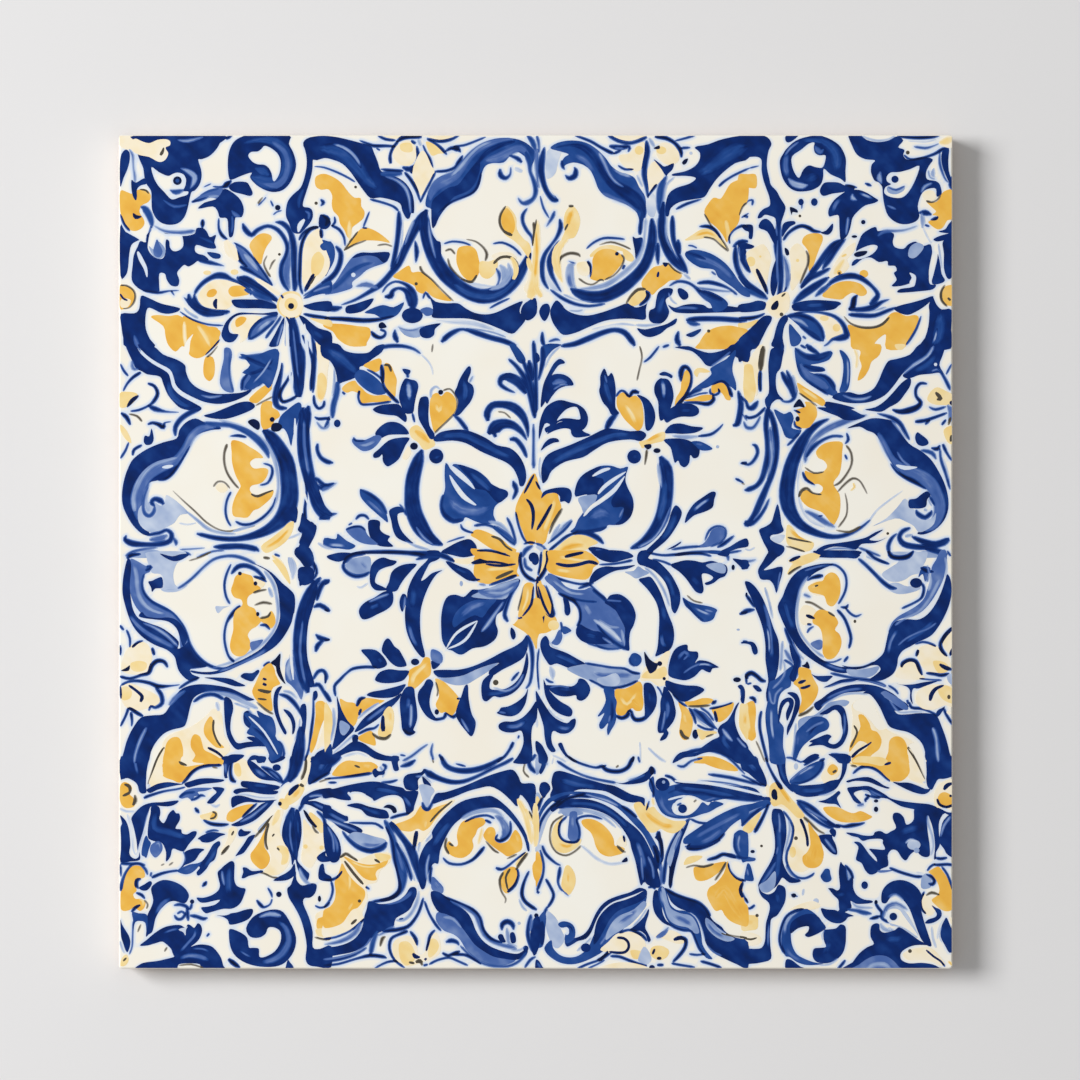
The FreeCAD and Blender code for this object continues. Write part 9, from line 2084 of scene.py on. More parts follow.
# %% Lower right corner: rosette, scroll and leaf mask
painting.append("""
cf 116.4 33.4, 118 31.6, 119.6 30.4, 121.6 29, 123.4 26.6, 124.6 24.8, 125.2 22, 124.8 19, 123 17.4,
121 18, 120.2 20, 121 22.4, 121.4 25, 120.8 27.4, 119.4 29, 117.8 29.4, 116.6 31
ef 117.2 33, 118.6 33.6, 119.8 32.2, 121 30.6, 122.4 29, 123.4 27.4, 122 27.2, 120.6 28.6, 119.2 29.6,
117.8 29.2, 117 30.6
yw 118.4 33.4 .7, 119.6 31.6 .9, 121 29.6 .8
nf 112 38.2, 114.6 38.2, 115.2 36.8, 116 35.2, 116.5 33.8, 116.4 32.8, 114.8 33.8, 113.2 35.2, 112 36
bw 113 37.4 1, 114.6 35.6 1.2
ks 112 34.9 .3, 113.6 34.1 .4, 115.2 33.3 .5, 116.4 32.9
nf 112 32.8, 114 32.6, 115 32, 115.8 31, 117 30.9, 117.2 30.2, 116 30.3, 114.6 30.6, 112 30.7
bf 112 28.9, 113.6 29.6, 115.2 30.1, 116.8 30.4, 117.3 29.6, 116 28.8, 114.4 27.6, 112.6 26.2, 112 25.8
ls 112.4 27.6 .4, 114.2 28.6 .5, 116 29.6 .3
ns 112 25.7 .6, 113.6 27.3 .5, 115.4 28.9
ks 116.9 29.7 .5, 116.2 28, 115.4 26.4 .6, 114.3 24.5 .7
ef 112.2 25.2, 113.2 26.4, 114.8 27.8, 115.6 28.2, 114.8 26.2, 113.8 24.6, 112.8 24.4
bf 112 24.2, 112.7 24, 112.9 22.6, 112.5 21.2, 112.7 20.4, 113.6 20.1, 114.5 19.9, 114.3 19.4,
112.9 19.3, 112 19.5
bf 112.5 16.2, 112.8 18, 113.1 19, 113.6 18.6, 114 17.2, 114.2 15.9, 113.2 15.8
ls 113 18 .3, 113.2 16.8 .4
ks 112 16 .4, 112.5 15.9
ks 112 13.9 .4, 112.6 12.7, 113.2 11.8 .5
ks 112 12 .4, 112.8 11, 113.6 10.9, 114.4 11.5 .6
kd 117.9 31.4 .55 .95
kd 118.2 30.9 .3 .6
ks 116.3 38 .4, 117 36.2, 118 34.3 .5, 119.3 32.3 .7
nf 118 38.2, 119.8 38.2, 119.9 36.4, 120.1 34.8, 120.7 33.3, 121.8 32.4, 121.2 31.8, 120 32.8, 119 34.2,
118.5 36
bw 118.9 37.6 .7, 119.2 35.4 .8, 120.2 33.4 .7
cf 126.3 34.8, 127.2 36.2, 128 37.2, 129.2 36.6, 129.9 36, 129.4 34.6, 128 33.6, 126.8 33.4
yf 127.4 35.6, 127.9 36.6, 128.6 36.8, 129.3 36.2, 129.2 35.4, 128.2 34.8
os 128.4 35.3 .5, 129.1 35.7
ks 123.2 36.6 .5, 124.6 37.4, 126 38.1
gd 121.8 36.4 .4 .6
ks 121.4 37.8 .3, 122.6 37.2, 123.4 37.5
bf 120.6 33.8, 121.6 34.9, 123 36, 124.8 37, 126.7 37.5, 126.4 36, 125.6 34.8, 124.2 33.8, 122.6 33.2,
121.2 33
lw 121.8 34.6 .5, 123.6 35.8 .7, 125.4 36.6 .6
ns 121 33.4 .4, 123.2 33.6, 125.2 34.6 .5, 126.5 36.2, 126.7 37.6 .4
ls 120.8 33.9 .3, 122.4 35.3, 124 36.3 .4
nf 120.8 33.2, 122.6 33, 124.6 33.1, 126.6 33.3, 127.8 33.8, 128.8 34, 129.6 34.2, 130 35.4, 130.1 37,
130 38.2, 131 38.2, 131 36.6, 130.6 35, 129.8 33.6, 129 32.4, 127.6 31.6, 125.8 31.1, 123.8 30.9,
122.4 31.2, 121.4 31.8
bw 122.6 32.2 1, 124.8 32, 127.2 32.4
ls 125.8 31.2 .3, 127.4 31.4 .4, 128.9 32
nf 125.8 30.1, 127 30.4, 128.4 31.2, 129.4 32, 129.8 31.6, 129.2 30.8, 129.4 30, 129.9 28.9, 129 29.6,
127.6 29.7
bw 127 30.2 .5, 128.6 30.5 .7
bf 121.8 30.4, 123.2 29.8, 125 28.8, 126.6 27.6, 128.2 26.4, 129.8 25.4, 128.2 25.5, 126.6 26.4,
124.8 27.8, 123 29
ns 122 30.3 .6, 123.8 29.6, 125.2 28.6 .7, 126.4 27.4, 128 26.1, 129.8 25.4 .4
ls 123.4 29 .3, 125.2 27.9 .4, 127.4 26.6 .3
ns 122 30 .5, 123.4 28.4 .6, 125.2 26.9, 127 25.8, 128.6 25.2 .5
yf 126.7 29, 128.2 29.2, 129.6 29, 131 28.3, 132.2 28, 133.4 28.4, 134.8 27.8, 135.5 27.3, 134.4 26.7,
133 26.4, 131.2 26.3, 129.6 26.5, 128.2 27.2, 127.2 28
ew 131.4 27.2 .8, 132.4 26.8
yw 133.2 27.5 1, 134.6 27.4 .8
ks 129 26 .3, 130.4 25.6 .5, 131.8 25.8 .7, 133.2 26 .5, 134.2 26.3 .3
nf 127.8 24.7, 128.2 25.2, 128.9 25, 129 24.2, 128.6 23.7
nf 125.8 23.9, 127 24.2, 128.2 24.1, 128.4 23.4, 129 22.2, 129.2 20.6, 128.2 20.8, 127 22, 126.2 23
ls 127 23.4 .4, 127.9 22.2 .5, 128.9 20.9 .4
ks 122.6 27 .5, 123.3 25.4 .4, 123.8 23.6, 123.9 22
os 123.2 27.3 .6, 124.4 26.2 .5, 125.8 24.9 .4, 127 24.3 .3
yf 124 26.4, 125 25, 125.9 23.8, 126.5 22, 126.8 20.6, 126.4 19, 125.4 18.2, 124 18.2, 123.1 19,
123 20.2, 123.8 21, 124.4 22.4, 124.2 24.4
yw 125.4 22 1, 125 19.6 1.4
ew 123.6 19.4 .7, 123.5 20.2
ed 121.2 21 .6 1
ks 119.5 28.4 .4, 120.8 26.6, 121.3 25, 120.9 22.8, 120.2 21, 120.1 19.4, 120.8 17.6, 122 16.5,
123.4 16.3, 124.6 16.8, 125.1 17.3 .3
od 121.8 23.5 .35
od 115.6 22.1 .25
kd 114 21.1 .4 .3
nf 117.6 28.6, 118.4 28.8, 119.3 28.5, 119.9 27, 120.1 25, 120 23.2, 119.6 21.4, 119.4 19.6, 119.9 18,
120.9 16.6, 122.2 16.2, 122.7 15.8, 122 15.5, 120.6 15.5, 119.4 16.4, 118.8 15.6, 118 14.6, 116.4 13.8,
115.4 14.3, 115 15.2, 115.9 17, 117.1 19, 117.9 21, 118 23.2, 117.7 25.4, 117.4 27
bw 118.7 25.6 1, 118.8 22 1.2, 118.6 18.4, 118 16
ls 118.7 28 .3, 118.9 26 .4, 118.8 24.4
ls 120.5 27 .5, 120.7 25, 120.2 22.8, 119.7 20.8 .4
ls 118.6 22 .4, 118.3 20.6 .3
lf 115.2 15.1, 116.6 16, 118 17.6, 118.2 16, 117.8 14.5, 116.6 13.7, 115.4 14.1
ms 115.6 15.4 .4, 117 17.2 .5, 118.2 19.2 .4
ms 120 18.6 .5, 121 17, 122.2 16.1 .4
nf 115.2 13.8, 115.1 14.8, 115.6 13.9, 116.8 13.4, 117.9 13.9, 118.5 15, 119 15.1, 119.8 14.6, 120 13.4,
119.8 12, 119.2 10.8, 118.4 9.6, 117.4 9, 117.2 8, 117.1 6, 117.2 4, 117.3 1.8, 115.4 1.1, 113.6 .9,
112 .9, 112 3.5, 114.2 3.6, 115.6 3.8, 116.2 5, 116.3 6.6, 116.4 8.2, 116.8 9.6, 117.1 11, 116.8 12,
115.8 12.8
mw 117 8.4 .5, 116.8 6, 116.8 3.8
bw 118.4 13.6 .9, 118.6 11.8
ef 112 9.8, 113.4 9.7, 114.8 9.5, 115 8.4, 114.8 7.2, 113.4 6.9, 112 7
yw 112.6 8.4 1.4, 114.4 8.3
cf 112 6.6, 114.8 6.2, 115.6 5, 114.2 4.2, 112 4.4
os 112.2 5.6 .2, 113.6 5.3 .3, 114.8 5.6 .2
od 114.8 9.6 .3
bf 126.2 16.6, 126.6 17.4, 127.1 18, 127.8 17.9, 128 17, 128.2 16.1, 127.6 15.6, 126.8 15.7
nd 134.15 15.05 .6 .7
kd 121.4 13.2 .45 .4
ks 120.9 13.4 .3, 122.1 13
gs 123.2 14.4 .4, 123 13.2
gs 123.1 11.6 .5, 123.5 10.9
gd 125.4 12.2 .5
nf 129.8 19.2, 130.2 18.8, 131 18, 131.8 17.2, 132.1 16, 132.1 14.6, 132.7 13.3, 134 12.5, 135.4 12.3,
135.5 11.9, 134.2 11.7, 132.6 11.7, 131.6 12.2, 131.8 11, 130.6 10.2, 129.8 10.2, 129.5 11.2,
129.4 12.4, 128.6 13.2, 127.8 14.2, 127.6 14.5, 128.4 14.5, 129.2 14.1, 129.7 14.6, 129.6 16, 129.5 17.6
ls 130.9 18.2 .3, 131.4 17 .9, 131.2 15.9 .5
ks 130.6 18.7 .4, 131.6 17.5 .5, 132.1 16.2
bw 129 13.4 .7, 130 13.4 .8, 130.8 13.6
ls 131.8 12.1 .3, 132.8 11.2 .6, 134.4 11 .5, 135.6 11 .3
bs 131 10.7 .5, 132.6 10.5 .6, 134 10.1 .8, 135.4 9.9 .5
nf 126.3 10.9, 127.4 10.7, 128.8 10.6, 129.4 10.4, 129.8 11, 130.4 10.3, 131.6 9.8, 132.2 9.5,
131.2 9.3, 130.7 8.7, 129.8 8.2, 128.4 8.3, 127.2 9, 126.6 9.8
cf 120.6 10.6, 122.4 11.6, 125 12.2, 126.2 11.2, 124.4 10.6, 122.4 10.7
bf 123.8 10.8, 122 10.4, 120.6 9.4, 119.6 7.6, 119.2 5.4, 119.4 3.6, 119.9 2.3, 120.7 2.1, 122 1.2,
123.6 .7, 125.4 .7, 126.8 .9, 125 1.2, 123.4 1.8, 122 2.6, 121.2 4, 120.9 5.6, 121 7.4, 121.6 8.6,
122.8 9.6, 124.4 9.9, 125.6 9.6
lw 119.8 6 .8, 119.9 7.8, 121 9.6, 122.6 10.5 .6
mw 120 3.8 .7, 121 2.4, 122.8 1.4
ks 119.8 2.7 .5, 119 4.4, 118.9 6, 119.4 8, 120.2 9.5, 121.6 10.4, 123.2 10.8 .3
nf 120.7 6.8, 120.9 8.2, 122 9.2, 123.4 9.8, 124.8 9.9, 125.8 9.4, 126.4 8.6, 127.2 7.4, 126.2 6.6,
125 6, 124 5.7, 123.4 6.1, 124 6.8, 124.1 7.6, 123.2 7.6, 122 7.2, 121 6.4
nf 126.8 6.9, 127.6 7.1, 129 7.3, 129.8 8, 130.7 7.6, 130.8 6, 130.7 4.4, 130.2 2.8, 129 1.6, 127.4 1,
125.6 1.2, 124.8 2.2, 125 3.6, 126.2 3.8, 127.2 4, 126.8 5.2
bw 128 5 1.4, 127 2.8 1.4
ls 127 7 .3, 126.5 6.2, 126.6 5.2
nf 120 1.6, 121 1.6, 122.6 .4, 124 -.2, 120.2 -.2
ks 129.2 -.2 .5, 130 .7, 130.7 1.6
ls 126 .6 .3, 128 .9 .4, 129.4 1.9
nf 132.5 33.8, 131.2 33.5, 130.9 33.8, 132.6 34.3, 134.8 34.5, 136.4 33.8, 137.6 33, 138.6 32.6,
138.2 32.4, 136.6 32.9, 134.8 33.6
nf 131 32.4, 131.6 32.7, 133 32.8, 134.8 32.9, 136.4 32.2, 137.8 31.4, 138.8 30.7, 140.2 30.3, 142 30,
144 29.8, 145.8 29.6, 147.4 29, 149 28.2, 150.2 28, 150.2 26.8, 148.6 28, 147.6 26.6, 147.5 24.6,
147.7 22.4, 147 21, 147 19.9, 146.6 19.8, 146.8 22, 146.5 24.8, 145.9 26.8, 145.2 28, 143.4 28.6,
142 28.9, 140.8 29.2, 139.6 29.8, 138.2 30.6, 136.6 30.8, 135.4 31.2, 134.8 32, 133.4 32.1, 132.2 31.6,
132.8 30.7, 133.6 29.8, 133 29.7, 132.2 30.2, 131.6 31.2
mw 134.6 32.4 .5, 136 31.6 .6, 137.6 30.9
ls 133.6 32.2 .3, 135.2 31.6, 136.8 30.6
ms 134 29.6 .9, 132.8 29.4 .7
ks 134.2 31.4 .5, 134.8 31, 134.3 30.4, 134.4 30
ks 134.6 31.2 .3, 136 30.9 .5, 137 30.8
kd 136.2 30.2 .4 .3
kd 136.2 28.7 .4 .5
ef 131.4 38.2, 142 38.2, 142.4 36.6, 142 35.2, 140.6 34.2, 139 33.6, 138 34.6, 136.6 35.8, 135 36.4,
133 36.4, 131.6 36.8
yw 133 37.6 1.6, 136.4 37.4 2, 139.8 36.6 2, 139.8 35 1.6
ks 132 35.1 .4, 133.4 36.2 .5, 135 36.3, 136.6 35.6, 138 34.4, 138.7 33.7 .3
os 137.6 36.8 .4, 138.9 37.1
os 131.6 36.6 .4, 132.8 36.3
cf 142 35.8, 143.4 36.4, 143.8 34.6, 144.6 33.4, 143.4 33.6, 142 34.4
gs 143 38 .4, 143.6 36.8, 144.2 35.2, 145 33.4 .5
nf 139.2 33.6, 140.4 33.5, 142 33.5, 143.6 33, 145 32.4, 146 32.3, 145.4 31.6, 144.4 31.4, 142.8 31.8,
141 32.6
nf 145.4 38.2, 150.2 38.2, 150.2 35, 148.6 34.2, 147.4 34.1, 146.8 33.2, 146.2 32.2, 145.4 32.9,
145.2 34.6, 145.2 36.4
cf 146.6 30, 146.8 32, 147.8 33.4, 150.2 34, 150.2 28.8, 148.6 29, 147.2 29
yf 147.2 30.2, 147.6 31.4, 148.6 31.8, 149.8 31.2, 150.2 30.8, 150.2 29.2, 148.8 29.1, 147.6 29.4
ks 148.4 32.2 .6, 149 33, 150 33.4 .4
ks 147.2 30.6 .4, 147.6 29.6, 148.8 29.1, 150.1 29.5
kd 149.6 31.1 .25
nf 139.2 27, 139.4 28, 140.4 28, 141.2 27.2, 141.6 26, 142.4 26.2, 143 27, 143.1 28.8, 144.6 28.4,
145.6 28.2, 145.4 26.6, 145.5 24.6, 145.8 22.6, 145.9 20.6, 145.4 20.1, 144.6 20.2, 144 20.6,
143.4 21.2, 142.4 20.6, 141.6 19.5, 140.8 20, 140 21.2, 139 21.4, 138.3 20.4, 138.4 18.6, 137.2 18,
136 17.1, 135 17, 134.2 17.8, 133.6 19, 132.6 19.6, 132.8 20.8, 133 22, 132.2 22.8, 133.2 22.8, 134 22,
135 20.6, 136.3 19.3, 136.2 20, 135.4 21, 135 21.6, 136.4 21.5, 137.8 21.5, 137.4 22.6, 137.4 23.2,
136.6 23.4, 135 23.3, 133.8 23, 133 23.6, 131.8 23.9, 130.8 24.5, 132.4 24.4, 134 24, 135.6 24,
136 24.6, 137 24.8, 138 24.3, 138.8 24.7, 139.8 25.4
gd 143 22.3 1.2 .9
ld 143.5 21.3 .5
ps 141.5 22.6 .5, 142.4 23.2, 143.6 22.9
ls 145.5 27.6 .5, 145.6 26, 146.3 24, 146.5 22, 146 20.4 .3
nf 148.4 26.8, 150.2 27.6, 150.2 20.6, 149 20.6, 148.4 21.6, 147.6 22.8, 147.8 24.8
ls 149.6 27.4 .5, 148.4 25.8, 147.8 23.8 .4
ks 146.8 20 .5, 147.8 19.8, 149 20
ks 146.2 18.8 .3, 147.4 18.7 .5, 149 18.8, 150.2 18.6
gs 145 17.4 .3, 145.6 18.2, 146.6 18.8
bw 140.6 24.4 1.4, 142 25, 143.8 25.4
mf 139 17.8, 136.6 17.7, 136.8 17.3, 138.2 17.4, 139.6 17.8
ks 138.6 18.2 .5, 140 17.6, 141.8 17, 143.4 16.6, 144.6 16.6 .6
gs 143.4 17.4 .3, 144.6 17.2
lf 144.3 14.6, 144.4 16.4, 145.2 17.2, 146 16.4, 146.2 15, 145.4 14.4
ks 145.2 17 .3, 146.2 16.6 .6, 146.7 15.8, 146.3 15.2, 145.6 15.4 .4
ks 145.4 17.6 .4, 146 18.4, 146.9 18.9
cf 144.6 13.6, 145.6 13, 147 12.8, 148 12, 147 10.6, 146 9.6, 144.8 10, 144.2 11.6
yf 145.6 17.4, 146.4 18, 147.4 18.4, 148.2 17.6, 149 16.4, 149.8 14.6, 150.2 13.2, 150.2 11.2,
149.4 10.4, 148.2 10.5, 147 11.4, 146.2 12.4, 147.2 13.2, 147.6 14.2, 147.2 15.6, 146.4 16.8
ks 148 18.4 .4, 149 17, 149.8 15, 150.2 13.8
ew 147.6 12.4 .8, 146.8 12
os 145.2 13.2 .3, 146.2 13.7 .5, 147.6 13.3 .3
ks 144.9 13.9 .4, 144.2 12.4, 144.4 10.8, 145.2 9.9 .3
nf 146.2 11.4, 147 11, 147.8 10.6, 148 9.6, 147.4 8.8, 146.2 8.2, 145 8.2, 145.6 8.9, 146.8 9.3,
147.1 10
nf 137.2 12, 137.2 13.6, 137.8 14.8, 139 15.7, 140.6 16, 142.2 15.6, 143.6 14.6, 144.4 13.2, 144.2 11.6,
144.5 9.8, 145 8, 145.6 6.2, 146.2 4.2, 145.4 4.2, 144.4 5.2, 143.6 7, 142.9 9, 142.2 10.8, 141.4 12,
140.4 13, 139.4 13.2, 138.6 12.6, 138 11.8
lw 138.2 12.8 .7, 139.6 13.4 .6, 140.8 12.6
ls 138.6 12.8 .5, 139.8 13.3, 141.2 12.2 .4
gf 138 11.4, 139.4 11.6, 140.8 11, 142 9.6, 143 7.8, 143.8 6, 143.2 5.6, 141.6 6.8, 140 7.6, 138.8 7.8,
138.4 9
kd 139.35 9.35 .75 .7
ws 138.2 9.9 .4, 138.8 10.5, 140 10.5, 140.9 9.7
gs 140.4 11 .3, 141.6 9.6, 142.8 7.8, 143.6 6.2
ls 138 10.4 .3, 138.6 11.2, 139.8 11.4
ks 136 12 .5, 136.6 11, 137.2 10.2, 137.2 9.2, 138 8.6, 138.6 8.3
ls 137 8.2 .8, 137.6 7.2, 139.2 6.7 .6, 138.4 7.4
ks 135 9 .4, 136 9.2 .6, 137 9.5
kd 136.2 12 .3 .4
nf 135.3 7.6, 136.1 8.2, 136.8 8, 136.9 7, 137.8 6.5, 139.6 7, 140.4 7.5, 142.2 6.4, 144 5.1, 145.6 4.3,
144 4.3, 142.6 4.1, 141.2 3.4, 140.6 2.6, 140.8 1.6, 142.2 1, 144.4 1.1, 146.4 .8, 147.6 .2, 147.8 -.2,
131.2 -.2, 132 1.2, 133.2 2.8, 134.6 3.9, 135.8 4.5, 135.2 5.8
mf 132.2 -.2, 133.2 .8, 134.6 1.8, 136.2 2.4, 138 2.3, 139.4 1.4, 140.4 .3, 141.2 -.2
ls 134.4 -.2 .7, 135.8 .7, 137.6 .8, 138.8 .1 .5
bw 138 5.4 1.6, 141 5.4
cf 141 2.6, 142.2 3.4, 144 3.8, 146 3.8, 147.6 2.4, 148.6 .8, 147.6 .6, 146 1.4, 144 1.6, 142 1.6
od 142.3 3.2 .35
ks 145.2 3.4 .3, 146.6 2.2, 147.8 1.4, 148.6 .4
nf 149.4 2.9, 148.6 4.2, 147.8 5.8, 147.9 7.4, 148.4 8.6, 148.9 9.2, 149.6 7.6, 150.2 6.4, 150.2 3.6
ls 148 7.6 .3, 147.6 6.2, 148 4.8
gs 146.2 7.6 .4, 146.4 5.6, 147 3.8
gs 148.2 8.8 .3, 147.4 7, 147.2 5.4
cs 149.4 9.4 .6, 150 7.8
ys 149.2 1.4 .5, 150 .6
nf 147.8 .2, 149 -.2, 147.4 -.2
""")

